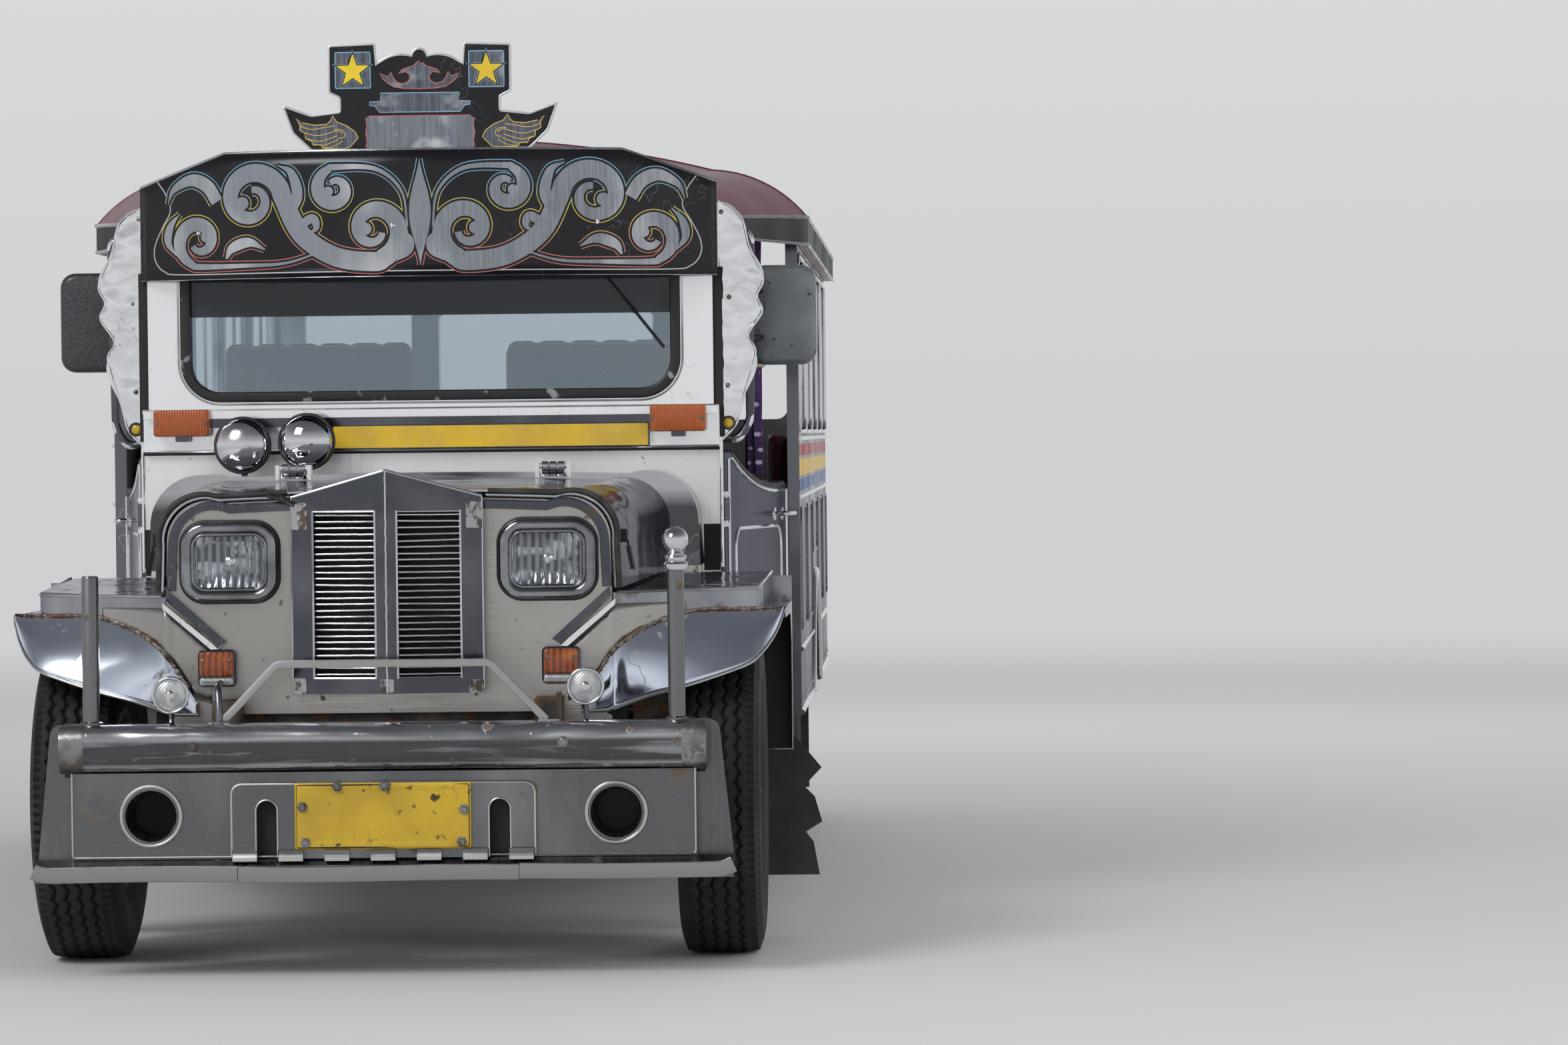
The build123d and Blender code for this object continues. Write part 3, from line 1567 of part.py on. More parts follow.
with BuildPart() as steering_column:
    rod((steer_x, firewall_depth - 10, 760 - 22 * steer_axis[2]), along_column(column_end), 22)
    rod(along_column(column_end), along_column(0), 10)
    bar((steer_x - 26, steer_x + 26), (cowl_depth + 15, 1490), (975, dash_bottom))
    bar(
        (steer_x - 60, steer_x + 60),
        (firewall_depth - 60, firewall_depth + scuttle_wall),
        (600, 900),
        mode=Mode.SUBTRACT,
    )
write(steering_column, "steering_column")

with BuildPart() as steering_wheel:
    hub_plane = Plane(
        origin=(steer_x, y_of(steer_hub[1]), steer_hub[2]), x_dir=(1, 0, 0), z_dir=steer_axis
    )
    with BuildSketch(Plane(hub_plane.origin, x_dir=(1, 0, 0), z_dir=hub_plane.y_dir)):
        with Locations((wheel_rim_radius - 12, 0)):
            Circle(12)
    revolve(axis=Axis(hub_plane.origin, hub_plane.z_dir))
    with BuildSketch(hub_plane.offset(-38)):
        Circle(30)
    extrude(amount=46)
    with BuildSketch(hub_plane.offset(-6)):
        with PolarLocations(0, 3, start_angle=90):
            with Locations((wheel_rim_radius / 2, 0)):
                Rectangle(wheel_rim_radius - 20, 26)
    extrude(amount=8)
    with BuildSketch(hub_plane.offset(-38)):
        Circle(10 + pin_clearance)
    extrude(amount=38, mode=Mode.SUBTRACT)
write(steering_wheel, "steering_wheel")


# Doors: low front doors that slant outwards from the cowl to the body, with a
# top edge that sweeps down rearwards.
def door(side):
    """The left (side 1) or right (side -1) half door."""
    run = door_rear_depth - door_front_depth
    spread = door_rear_x - door_front_x
    length = hypot(run, spread)
    plane = Plane(
        origin=(side * door_front_x, y_of(door_front_depth), 0),
        x_dir=(side * spread, run, 0),
        z_dir=(side * run, -spread, 0),
    )
    flip = 1 if side > 0 else -1
    with BuildPart() as part:
        with BuildSketch(plane):
            with BuildLine():
                Line((0, flip * door_bottom), (length, flip * door_bottom))
                Line((length, flip * door_bottom), (length, flip * door_rear_top))
                ThreePointArc(
                    (length, flip * door_rear_top),
                    (length * 0.45, flip * (door_rear_top + 18)),
                    (60, flip * door_front_top),
                )
                Line((60, flip * door_front_top), (0, flip * door_front_top))
                Line((0, flip * door_front_top), (0, flip * door_bottom))
            make_face()
        extrude(amount=-door_thickness)
        for centre in door_hinge_heights:
            low = (side * door_front_x, door_front_depth, centre - hinge_barrel_length / 2)
            high = (side * door_front_x, door_front_depth, centre + hinge_barrel_length / 2)
            ear_room = 10 + 2 * hinge_gap
            for start, sign in ((low, -1), (high, 1)):
                end = (start[0], start[1], start[2] + sign * ear_room)
                rod(start, end, 26, mode=Mode.SUBTRACT)
            rod(low, high, hinge_barrel_radius)
            rod(low, high, hinge_pin_radius + pin_clearance, mode=Mode.SUBTRACT)
    return part


write(door(1), "door_left")
write(door(-1), "door_right")

# Curtains gathered in front of the body's first pillars, up to the cab roof.
curtain_inset = roof_wall - 1.9
curtain_depths = (1990, 2080)
curtain_top = fascia_bottom - 10
with BuildPart(mode=Mode.PRIVATE) as under_roof:
    under_front = roof_section(cab_roof_front_depth, *cab_section, curtain_inset)
    under_rear = roof_section(roof_front_depth + 40, *main_section, curtain_inset)
    loft([under_front, under_rear])
with BuildPart() as curtains:
    for side in (-1, 1):
        bar((side * 738, side * 798), curtain_depths, (curtain_top - 1, roof_crown))
    add(under_roof.part, mode=Mode.INTERSECT)
    for side in (-1, 1):
        bar((side * 738, side * 798), curtain_depths, (door_rear_top + 20, curtain_top))
write(curtains, "curtains")

# Rear step: a plank on two drop brackets, with a round bar as bumper.
step_z = 400
with BuildPart() as rear_step:
    bar((-560, 560), (body_rear_depth + 10, overall_length - 40), (step_z, step_z + 24))
    rod((-760, overall_length - 32, step_z + 12), (760, overall_length - 32, step_z + 12), 32)
    for side in (-1, 1):
        x = side * rail_x
        bar((x - 25, x + 25), (5600, overall_length - 40), (step_z - 30, step_z))
        bar((x - 25, x + 25), (5600, 5660), (step_z - 30, rail_bottom))
write(rear_step, "rear_step")

# Tail lamps: one tall cluster on each side of the rear wall.
with BuildPart() as tail_lamps:
    for side in (-1, 1):
        with BuildSketch(front_plane(body_rear_depth)):
            with Locations((side * 760, 900)):
                RectangleRounded(90, 220, 16)
        extrude(amount=-32)
write(tail_lamps, "tail_lamps")

# Grab rails under the roof over both benches, each on four hangers.
rail_height_z = 1800


def ceiling_z(x):
    """The height of the roof's inner crown at an x."""
    knee_x = roof_shoulder_x - roof_wall * 0.4
    rise = roof_crown - roof_shoulder_z
    radius = (knee_x**2 + rise**2) / (2 * rise)
    return roof_crown - roof_wall - radius + sqrt(radius**2 - x**2)


with BuildPart() as grab_rails:
    for side in (-1, 1):
        x = side * 420
        rod((x, 2460, rail_height_z), (x, 5560, rail_height_z), 13)
        for depth in (2500, 3500, 4500, 5520):
            rod((x, depth, rail_height_z), (x, depth, ceiling_z(x) - 1.8), 9)
write(grab_rails, "grab_rails")
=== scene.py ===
import math

import bmesh
import bpy
import numpy as np
from mathutils import Matrix, Vector


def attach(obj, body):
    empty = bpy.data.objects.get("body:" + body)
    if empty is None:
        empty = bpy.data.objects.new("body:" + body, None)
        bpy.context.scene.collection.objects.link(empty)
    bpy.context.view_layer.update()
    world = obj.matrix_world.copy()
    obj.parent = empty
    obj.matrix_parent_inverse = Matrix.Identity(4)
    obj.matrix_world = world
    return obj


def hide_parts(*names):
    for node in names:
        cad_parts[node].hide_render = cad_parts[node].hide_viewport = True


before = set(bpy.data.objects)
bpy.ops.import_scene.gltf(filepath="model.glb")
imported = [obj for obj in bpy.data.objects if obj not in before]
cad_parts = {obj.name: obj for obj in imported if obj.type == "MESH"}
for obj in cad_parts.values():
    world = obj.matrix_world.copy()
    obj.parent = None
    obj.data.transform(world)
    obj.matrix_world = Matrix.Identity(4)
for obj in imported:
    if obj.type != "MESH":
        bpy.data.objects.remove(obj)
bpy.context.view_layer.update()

# The camera stands 13 m in front of the bumper, a little to the vehicle's left,
# and looks at it through a long lens. Depths below run rearwards from the
# bumper's front face, in metres, and y_of turns a depth into a Y.
half_length = 2.930
view_distance = 13.0
camera_x, camera_z = 1.229, 1.196
sensor_width = 36.0
focal_pixels = 8866.0
image_width, image_height = 2352.0, 1568.0
vanishing_x, horizon_y = 1405.0, 648.5
roll = math.radians(0.65)


def y_of(depth):
    """The Y of a depth behind the bumper's front face."""
    return depth - half_length


yaw = math.atan((vanishing_x - image_width / 2) / focal_pixels)
pitch = math.atan((image_height / 2 - horizon_y) / focal_pixels)
level_right = Vector((math.cos(yaw), math.sin(yaw), 0))
level_ahead = Vector((-math.sin(yaw), math.cos(yaw), 0))
ahead = level_ahead * math.cos(pitch) - Vector((0, 0, math.sin(pitch)))
level_up = level_ahead * math.sin(pitch) + Vector((0, 0, math.cos(pitch)))
right = level_right * math.cos(roll) - level_up * math.sin(roll)
up = level_right * math.sin(roll) + level_up * math.cos(roll)
camera_data = bpy.data.cameras.new("camera")
camera_data.sensor_fit = "HORIZONTAL"
camera_data.sensor_width = sensor_width
camera_data.lens = focal_pixels / image_width * sensor_width
camera_data.clip_end = 100.0
camera = bpy.data.objects.new("camera", camera_data)
camera_turn = Matrix((right, up, -ahead)).transposed().to_4x4()
camera.matrix_world = Matrix.Translation((camera_x, y_of(-view_distance), camera_z)) @ camera_turn
bpy.context.scene.collection.objects.link(camera)
bpy.context.scene.camera = camera
bpy.context.scene.view_settings.view_transform = "Standard"


# Shared effects. Each is a shader node group that puts out a mask or a normal:
# patches for stains, brushing and rust, hairlines for scratches, dust that thins
# out upwards, flutes, a belt at one height, and ripple for sheet that isn't flat.
def add_node(tree, kind, inputs=None, **settings):
    """A shader node with its settings made, and its inputs given values or joined to sockets or
    to the first outputs of other nodes."""
    node = tree.nodes.new("ShaderNode" + kind)
    for key, value in settings.items():
        setattr(node, key, value)
    for key, value in (inputs or {}).items():
        if isinstance(value, bpy.types.Node):
            value = value.outputs[0]
        if isinstance(value, bpy.types.NodeSocket):
            tree.links.new(value, node.inputs[key])
        else:
            node.inputs[key].default_value = value
    return node


def maths(tree, operation, *values, kind="Math", **settings):
    """A Math or VectorMath node over its values."""
    return add_node(tree, kind, dict(enumerate(values)), operation=operation, **settings)


def noise(tree, place, scale, detail):
    """Noise read at a place."""
    return add_node(tree, "TexNoise", {"Vector": place, "Scale": scale, "Detail": detail})


def ranged(tree, value, low, high, start=0.0, end=1.0):
    """A value that runs from start to end while another runs from low to high."""
    limits = {"From Min": low, "From Max": high, "To Min": start, "To Max": end}
    return add_node(tree, "MapRange", {"Value": value, **limits})


def place_in(tree, output="Object"):
    """A piece's own coordinates, unless another output is named."""
    return add_node(tree, "TexCoord").outputs[output]


def parted(tree, place):
    """The three shares of a place."""
    return add_node(tree, "SeparateXYZ", {0: place}).outputs


def stretched_place(tree, stretch):
    """A piece's own coordinates multiplied by a stretch."""
    return maths(tree, "MULTIPLY", place_in(tree), stretch, kind="VectorMath")


effect_groups = {}


def effect_group(name, output="Mask", **defaults):
    """A new effect group with one output, and the sockets that bring in its inputs."""
    group = bpy.data.node_groups.new(name, "ShaderNodeTree")
    for key, default in defaults.items():
        kind = "NodeSocketVector" if isinstance(default, tuple) else "NodeSocketFloat"
        group.interface.new_socket(key, in_out="INPUT", socket_type=kind).default_value = default
    kind = "NodeSocketVector" if output == "Normal" else "NodeSocketFloat"
    group.interface.new_socket(output, in_out="OUTPUT", socket_type=kind)
    effect_groups[name] = group
    return group, group.nodes.new("NodeGroupInput").outputs


def put_out(group, node):
    """Joins a node to its group's output."""
    group.links.new(node.outputs[0], group.nodes.new("NodeGroupOutput").inputs[0])


group, given = effect_group("patches", Scale=8.0, Stretch=(1, 1, 1), Spread=0.5, Soft=0.1)
spots = noise(group, stretched_place(group, given["Stretch"]), given["Scale"], 6.0)
edge = maths(group, "SUBTRACT", 0.75, given["Spread"])
edge = maths(group, "MULTIPLY_ADD", edge, 0.5, 0.25)
put_out(group, ranged(group, spots, edge, maths(group, "ADD", edge, given["Soft"])))

group, given = effect_group("hairlines", Scale=12.0, Stretch=(1, 1, 1), Width=0.01)
place = stretched_place(group, given["Stretch"])
away = maths(group, "SUBTRACT", noise(group, place, given["Scale"], 3.0), 0.5)
line = ranged(group, maths(group, "ABSOLUTE", away), 0.0, given["Width"], 1.0, 0.0)
breaks = ranged(group, noise(group, place, 3.1, 4.0), 0.5, 0.62)
put_out(group, maths(group, "MULTIPLY", line, breaks))

group, given = effect_group("dust", Top=0.8, Amount=0.6)
place = place_in(group)
low = ranged(group, parted(group, place)[2], given["Top"], 0.0, 0.0, given["Amount"])
speckle = ranged(group, noise(group, place, 9.0, 8.0), 0.3, 0.7)
put_out(group, maths(group, "MULTIPLY", low, speckle))

group, given = effect_group("ripple", "Normal", Scale=5.0, Stretch=(1, 1, 1), Depth=0.002)
swell = noise(group, stretched_place(group, given["Stretch"]), given["Scale"], 2.0)
put_out(group, add_node(group, "Bump", {"Strength": 1.0, "Distance": given["Depth"], "Height": swell}))

group, given = effect_group("flutes", Count=(100, 0, 0))
turns = stretched_place(group, given["Count"])
turns = maths(group, "MULTIPLY", turns, (6.2832,) * 3, kind="VectorMath")
waves = parted(group, maths(group, "COSINE", turns, kind="VectorMath"))
crest = maths(group, "MULTIPLY", waves[0], waves[2])
put_out(group, maths(group, "MULTIPLY_ADD", crest, 0.5, 0.5))

# The belt paints dark reflections into polished metal at one height.
group, given = effect_group("belt", Low=0.0, High=1.0, Soft=0.01)
height = parted(group, place_in(group))[2]
above = maths(group, "SUBTRACT", height, given["Low"])
below = maths(group, "SUBTRACT", given["High"], height)
inside = maths(group, "MINIMUM", above, below)
put_out(group, maths(group, "DIVIDE", inside, given["Soft"], use_clamp=True))


def finish_of(name, colour, rough, metal=0.0, layers=(), waves=None, **sockets):
    """A material: one base colour with layers over it, each a group's mask that mixes in its own
    colour, roughness or metal and may raise a bump, on a surface that may ripple with waves of
    a scale, a depth and a stretch."""
    material = bpy.data.materials.new(name)
    material.use_nodes = True
    tree = material.node_tree
    shader = tree.nodes["Principled BSDF"]
    now = {"Base Color": (*colour, 1), "Roughness": rough, "Metallic": metal}
    for key, value in (now | sockets).items():
        shader.inputs[key.replace("_", " ")].default_value = value
    if waves:
        ripple = add_node(tree, "Group", node_tree=effect_groups["ripple"])
        for key, value in zip(("Scale", "Depth", "Stretch"), waves):
            ripple.inputs[key].default_value = value
        now["Normal"] = ripple.outputs[0]
    for layer in layers:
        effect = add_node(tree, "Group", node_tree=effect_groups[layer["effect"]])
        for key, value in layer.items():
            if key in effect.inputs:
                effect.inputs[key].default_value = value
        mask = effect.outputs[0]
        if layer.get("colour"):
            colours = {0: mask, 6: now["Base Color"], 7: (*layer["colour"], 1)}
            now["Base Color"] = add_node(tree, "Mix", colours, data_type="RGBA").outputs[2]
        for key, socket in (("rough", "Roughness"), ("metal", "Metallic")):
            if layer.get(key) is not None:
                now[socket] = add_node(tree, "Mix", {0: mask, 2: now[socket], 3: layer[key]}).outputs[0]
        if layer.get("bump"):
            under = {"Normal": now["Normal"]} if "Normal" in now else {}
            bump = {"Distance": layer["bump"], "Height": mask, **under}
            now["Normal"] = add_node(tree, "Bump", bump).outputs[0]
    for key, value in now.items():
        if isinstance(value, bpy.types.NodeSocket):
            tree.links.new(value, shader.inputs[key])
    return material


def patchy(colour, rough, scale, spread, soft, stretch=(1, 1, 1), **more):
    """A layer of patches. Colour or rough may be None, which leaves it as it is below."""
    sizes = dict(Scale=scale, Spread=spread, Soft=soft, Stretch=stretch)
    return dict(effect="patches", colour=colour, rough=rough, **sizes, **more)


def scratched(colour, rough, scale, width, stretch=(1, 1, 1)):
    """A layer of fine scratches."""
    return dict(effect="hairlines", colour=colour, rough=rough, Scale=scale, Width=width, Stretch=stretch)


def dusty(colour, rough, top, amount, **more):
    """A layer of dust from the ground up to a height."""
    return dict(effect="dust", colour=colour, rough=rough, Top=top, Amount=amount, **more)


def stained(name, colour, rough, metal, stain_rough, stain_colour=None, waves=None, **sockets):
    """A plain finish with soft stains."""
    stains = patchy(stain_colour, stain_rough, 3.0, 0.35, 0.2)
    return finish_of(name, colour, rough, metal, [stains], waves, **sockets)


def dress(material, *nodes):
    """Gives CAD nodes a material."""
    for name in nodes:
        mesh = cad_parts[name].data
        mesh.materials.clear()
        mesh.materials.append(material)


# Chassis: pressed steel rails and spring packs, brush-painted black long ago
# and coated with road dirt and oil since.
road_dirt = (0.16, 0.13, 0.10)
chassis_paint = finish_of("chassis_paint", (0.022, 0.021, 0.020), 0.55, 0.2, [
    patchy(road_dirt, 0.9, 14.0, 0.35, 0.25),
    dusty(road_dirt, 0.95, 1.0, 0.5),
    patchy((0.20, 0.07, 0.03), 0.95, 40.0, 0.15, 0.05, bump=0.0006),
])
greasy_iron = finish_of("greasy_iron", (0.045, 0.040, 0.036), 0.5, 0.6, [
    patchy(road_dirt, 0.9, 20.0, 0.4, 0.2, metal=0.0, bump=0.001),
    patchy((0.01, 0.009, 0.008), 0.25, 6.0, 0.3, 0.15),
])
dress(chassis_paint, "chassis_frame", "tie_rod", "fuel_tank", "steering_column")
dress(greasy_iron, "leaf_springs", "front_axle", "rear_axle", "knuckle_left", "knuckle_right")
dress(greasy_iron, "driveline", "engine_block")
rusty_pipe = finish_of("rusty_pipe", (0.22, 0.13, 0.08), 0.75, 0.5, [
    patchy((0.35, 0.30, 0.25), 0.5, 25.0, 0.35, 0.1, metal=0.9, bump=0.0005),
])
dress(rusty_pipe, "exhaust")


# Wheels: 7.00-15 bias tyres with three zigzag ribs and notched shoulders, on grey
# steel discs held by six nuts, with dark, greasy hubs.
def grid_faces(rows, columns, wrap_rows=False, wrap_columns=False, ends=(False, False)):
    """The quads of a grid of points numbered row by row. Wrapping joins the last row or column
    to the first, and ends close the first and last rows with one face each."""
    along = np.arange(rows if wrap_rows else rows - 1)[:, None]
    across = np.arange(columns if wrap_columns else columns - 1)[None, :]
    next_row = (along + 1) % rows
    next_column = (across + 1) % columns
    near = [along * columns + across, along * columns + next_column]
    far = [next_row * columns + next_column, next_row * columns + across]
    faces = np.stack(near + far, axis=-1).reshape(-1, 4).tolist()
    closing = [list(range(columns)), list(range((rows - 1) * columns, rows * columns))]
    return faces + [face for face, closed in zip(closing, ends) if closed]


def make_piece(name, parts, material, body="root", stands_for=(), sharp=35):
    """A mesh of one part or a list of them, each points and faces, with its normals outwards,
    riding on a body."""
    points, faces = [], []
    for part_points, part_faces in parts if isinstance(parts, list) else [parts]:
        start = len(points)
        points += np.asarray(part_points, float).reshape(-1, 3).tolist()
        faces += [[corner + start for corner in face] for face in part_faces]
    mesh = bpy.data.meshes.new(name)
    mesh.from_pydata(points, [], faces)
    shell = bmesh.new()
    shell.from_mesh(mesh)
    bmesh.ops.recalc_face_normals(shell, faces=shell.faces)
    shell.to_mesh(mesh)
    shell.free()
    mesh.polygons.foreach_set("use_smooth", np.ones(len(mesh.polygons), dtype=bool))
    mesh.set_sharp_from_angle(angle=math.radians(sharp))
    mesh.materials.append(material)
    piece = bpy.data.objects.new(name, mesh)
    bpy.context.scene.collection.objects.link(piece)
    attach(piece, body)
    if stands_for:
        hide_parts(*stands_for)
    return piece


def both_sides(parts_of):
    """The part or the list of parts that a function gives for the right, -1, and the left, 1."""
    found = [parts_of(side) for side in (-1, 1)]
    return found[0] + found[1] if isinstance(found[0], list) else found


def unit(vectors):
    """Vectors divided by their lengths."""
    vectors = np.asarray(vectors, float)
    return vectors / np.linalg.norm(vectors, axis=-1, keepdims=True)


def at(x, depth, z):
    """A point from its X, depth and Z."""
    return np.array((x, y_of(depth), z))


forwards, rearwards, upwards = (0, -1, 0), (0, 1, 0), (0, 0, 1)


def turned(profile, centre, axis=forwards, steps=48, loop=False):
    """A profile turned about an axis: (along, radius) goes to centre + along * axis
    + radius * (cos(angle) * side + sin(angle) * top)."""
    profile = np.asarray(profile, float)
    axis = unit(axis)
    side = unit(np.cross(axis, (0, 0, 1) if abs(axis[2]) < 0.9 else (0, 1, 0)))
    top = np.cross(side, axis)
    angle = np.linspace(0, 2 * np.pi, steps, endpoint=False)[:, None]
    ring = np.cos(angle) * side + np.sin(angle) * top
    points = np.asarray(centre) + profile[:, 0, None, None] * axis + profile[:, 1, None, None] * ring
    return points, grid_faces(len(profile), steps, loop, True, (not loop, not loop))


axle_z = 0.370
half_track = 0.730
front_axle_depth = 0.610
rear_axle_depth = 3.910
wheel_corners = (
    ("front_left", 1, front_axle_depth),
    ("front_right", -1, front_axle_depth),
    ("rear_left", 1, rear_axle_depth),
    ("rear_right", -1, rear_axle_depth),
)
tread_turns = 56
turn_steps = 448
tread_half = 0.086
sidewall_bow = np.linspace(0, 1, 15)[:, None]
bead, bulge, shoulder = np.array([(0.070, 0.2115), (0.1125, 0.293), (tread_half, 0.354)])
sidewall = (1 - sidewall_bow) ** 2 * bead + 2 * sidewall_bow * (1 - sidewall_bow) * bulge
sidewall = sidewall + sidewall_bow**2 * shoulder
tread_x = np.linspace(tread_half, -tread_half, 47)[1:-1]
tread = np.column_stack([tread_x, 0.3695 - 0.0055 * (tread_x / tread_half) ** 4])
tyre_profile = [[(0.070, 0.1935)], sidewall, tread, sidewall[::-1] * (-1, 1), [(-0.070, 0.1935)]]
tyre_profile = np.concatenate(tyre_profile)


def zigzag(turn):
    """A triangle wave between -1 and 1, once for each whole turn."""
    return 2 * np.abs(2 * (turn - np.floor(turn + 0.5))) - 1


def tyre_points(side, axle_depth):
    """A tyre: the profile turned about the axle, less grooves that run round it as zigzags
    and notches that cross its shoulders."""
    angle = np.linspace(0, 2 * np.pi, turn_steps, endpoint=False)[:, None]
    turn = angle / (2 * np.pi) * tread_turns
    across = tyre_profile[None, :, 0]
    radius = np.repeat(tyre_profile[None, :, 1], turn_steps, axis=0)
    on_tread = radius > 0.345
    groove = np.zeros_like(radius)
    for line in (-0.045, -0.015, 0.015, 0.045):
        away = np.abs(across - line - 0.005 * zigzag(turn))
        groove = np.maximum(groove, np.clip((0.0042 - away) / 0.0012, 0, 1))
    notch = np.clip((np.abs(zigzag(turn)) - 0.45) / 0.12, 0, 1) * (np.abs(across) > 0.066)
    radius = radius - on_tread * (0.008 * groove + 0.007 * notch)
    ribs = 0.0012 * np.cos((radius - 0.228) * 2 * np.pi / 0.016) * (np.abs(radius - 0.236) < 0.016)
    reach = across + np.sign(across) * ribs
    along = y_of(axle_depth) + radius * np.cos(angle)
    return np.stack([side * (half_track + reach), along, axle_z + radius * np.sin(angle)], axis=-1)


worn_tyre = finish_of("worn_tyre", (0.009, 0.009, 0.010), 0.58, 0.0, [
    patchy((0.018, 0.0175, 0.017), 0.8, 7.0, 0.5, 0.35),
    dusty((0.12, 0.105, 0.09), 0.95, 0.5, 0.20),
    scratched((0.06, 0.056, 0.052), 0.8, 16.0, 0.012),
], Specular_IOR_Level=0.3)
wheel_grey = finish_of("wheel_grey", (0.13, 0.15, 0.17), 0.42, 0.55, [
    patchy((0.05, 0.048, 0.045), 0.8, 12.0, 0.42, 0.2, metal=0.0),
    patchy((0.20, 0.08, 0.035), 0.9, 30.0, 0.16, 0.06, metal=0.0, bump=0.0004),
])
nut_profile = [(0.0, 0.012), (0.016, 0.012), (0.020, 0.009), (0.020, 0.0062), (0.028, 0.0062), (0.029, 0.004)]
cap_profile = [(0.0, 0.034), (0.012, 0.034), (0.018, 0.027), (0.040, 0.024), (0.050, 0.018), (0.055, 0.006)]
stem_profile = [(0.0, 0.004), (0.026, 0.004), (0.028, 0.003)]
for corner, side, axle_depth in wheel_corners:
    body = corner + "_wheel"
    tread_faces = grid_faces(turn_steps, len(tyre_profile), True, True)
    tread_part = (tyre_points(side, axle_depth), tread_faces)
    make_piece("tread_" + corner, tread_part, worn_tyre, body, ["tyre_" + corner])
    axle_end = at(side * half_track, axle_depth, axle_z)
    outwards = np.array((side, 0.0, 0.0))
    nuts = []
    for angle in np.arange(6) * np.pi / 3 + 0.3:
        nut_place = 0.074 * np.array((0, math.cos(angle), math.sin(angle)))
        nuts.append(turned(nut_profile, axle_end + outwards * 0.020 + nut_place, outwards, 6))
    nuts.append(turned(cap_profile, axle_end + outwards * 0.033, outwards, 40))
    stem_foot = axle_end + outwards * 0.03 + 0.156 * np.array((0, 0.6, 0.8))
    nuts.append(turned(stem_profile, stem_foot, outwards, 12))
    make_piece("hub_nuts_" + corner, nuts, greasy_iron, body)
    dress(wheel_grey, "wheel_" + corner)

# Front bumper: a rounded beam of polished stainless sheet with two capped ends,
# dented and scratched; under it a boxed apron of dull sheet with a plate panel.
bumper_polish = finish_of("bumper_polish", (0.58, 0.59, 0.61), 0.10, 1.0, [
    patchy(None, 0.32, 2.6, 0.55, 0.4, (1, 3, 3)),
    # Painted reflection: the belt darkens a band along the beam's middle, where its face would mirror darker
    # surroundings.
    dict(effect="belt", colour=(0.095, 0.097, 0.102), Low=0.4670, High=0.5345, Soft=0.012),
    patchy((0.46, 0.47, 0.49), 0.16, 4.0, 0.10, 0.16, (0.6, 1, 8)),
    scratched((0.24, 0.24, 0.25), 0.4, 4.0, 0.012, (0.5, 3, 6)),
    patchy((0.16, 0.12, 0.09), 0.75, 30.0, -0.06, 0.05, metal=0.3, bump=0.0003),
], (3.4, 0.016, (1, 2, 2)))
apron_steel = finish_of("apron_steel", (0.16, 0.163, 0.170), 0.24, 1.0, [
    patchy(None, 0.44, 3.0, 0.5, 0.3, (90, 1, 1), bump=0.00008),
    patchy((0.34, 0.345, 0.355), 0.3, 2.4, 0.22, 0.35, (1.3, 1, 0.6)),
    scratched((0.30, 0.30, 0.31), 0.4, 9.0, 0.004, (0.4, 1, 4)),
    patchy((0.15, 0.115, 0.085), 0.8, 16.0, -0.04, 0.12, metal=0.4),
], (4.0, 0.010))


def rounded_outline(width, height, corner, steps=10):
    """A closed outline of a rectangle with round corners, anticlockwise."""
    turn = np.linspace(0, np.pi / 2, steps)
    arc = corner * np.column_stack([np.cos(turn), np.sin(turn)])
    back = np.column_stack([-arc[:, 1], arc[:, 0]])
    a, b = width / 2 - corner, height / 2 - corner
    return np.concatenate([arc + (a, b), back + (-a, b), -arc + (-a, -b), -back + (a, -b)])


def swept(path, section, up=upwards, closed=False):
    """A closed section carried along a path: (s, t) goes to point + s * side + t * top, where
    side is tangent x up and top is side x tangent."""
    path = np.asarray(path, float)
    tangent = np.roll(path, -1, 0) - np.roll(path, 1, 0) if closed else np.gradient(path, axis=0)
    tangent = unit(tangent)
    side = unit(np.cross(tangent, up))
    top = np.cross(side, tangent)
    section = np.asarray(section, float)
    if section.ndim == 2:
        section = np.repeat(section[None], len(path), axis=0)
    points = path[:, None] + side[:, None] * section[..., :1] + top[:, None] * section[..., 1:]
    return points, grid_faces(len(path), section.shape[1], closed, True, (not closed, not closed))


def bent(points, radius, steps=7):
    """A path of straight runs whose corners are parabolas that start and end at radius from them."""
    points = np.asarray(points, float)
    middle = points[1:-1]
    before = (middle + radius * unit(points[:-2] - middle))[:, None]
    after = (middle + radius * unit(points[2:] - middle))[:, None]
    share = np.linspace(0, 1, steps)[None, :, None]
    curve = (1 - share) ** 2 * before + 2 * share * (1 - share) * middle[:, None] + share**2 * after
    return np.concatenate([points[:1], curve.reshape(-1, points.shape[1]), points[-1:]])


def pipe(path, radius, sides, up=upwards, closed=False):
    """A round section carried along a path."""
    turn = np.linspace(0, 2 * np.pi, sides, endpoint=False)
    return swept(path, radius * np.column_stack([np.cos(turn), np.sin(turn)]), up, closed)


def seen_from_front(x, z, depth):
    """X and Z at a depth."""
    return np.stack(np.broadcast_arrays(x, y_of(depth), z), axis=-1)


def seen_from_side(depth, z, x):
    """A depth and Z at an X."""
    return np.stack(np.broadcast_arrays(x, y_of(depth), z), axis=-1)


def placed(points):
    """Points from their X, depth and Z."""
    points = np.asarray(points, float)
    return seen_from_front(points[:, 0], points[:, 2], points[:, 1])


def front_line(line, depth):
    """A line of X and Z set at a depth."""
    line = np.asarray(line, float)
    return seen_from_front(line[:, 0], line[:, 1], depth)


def moulding(line, depth, section, closed=False):
    """A section carried along a line of X and Z at a depth."""
    return swept(front_line(line, depth), section, rearwards, closed)


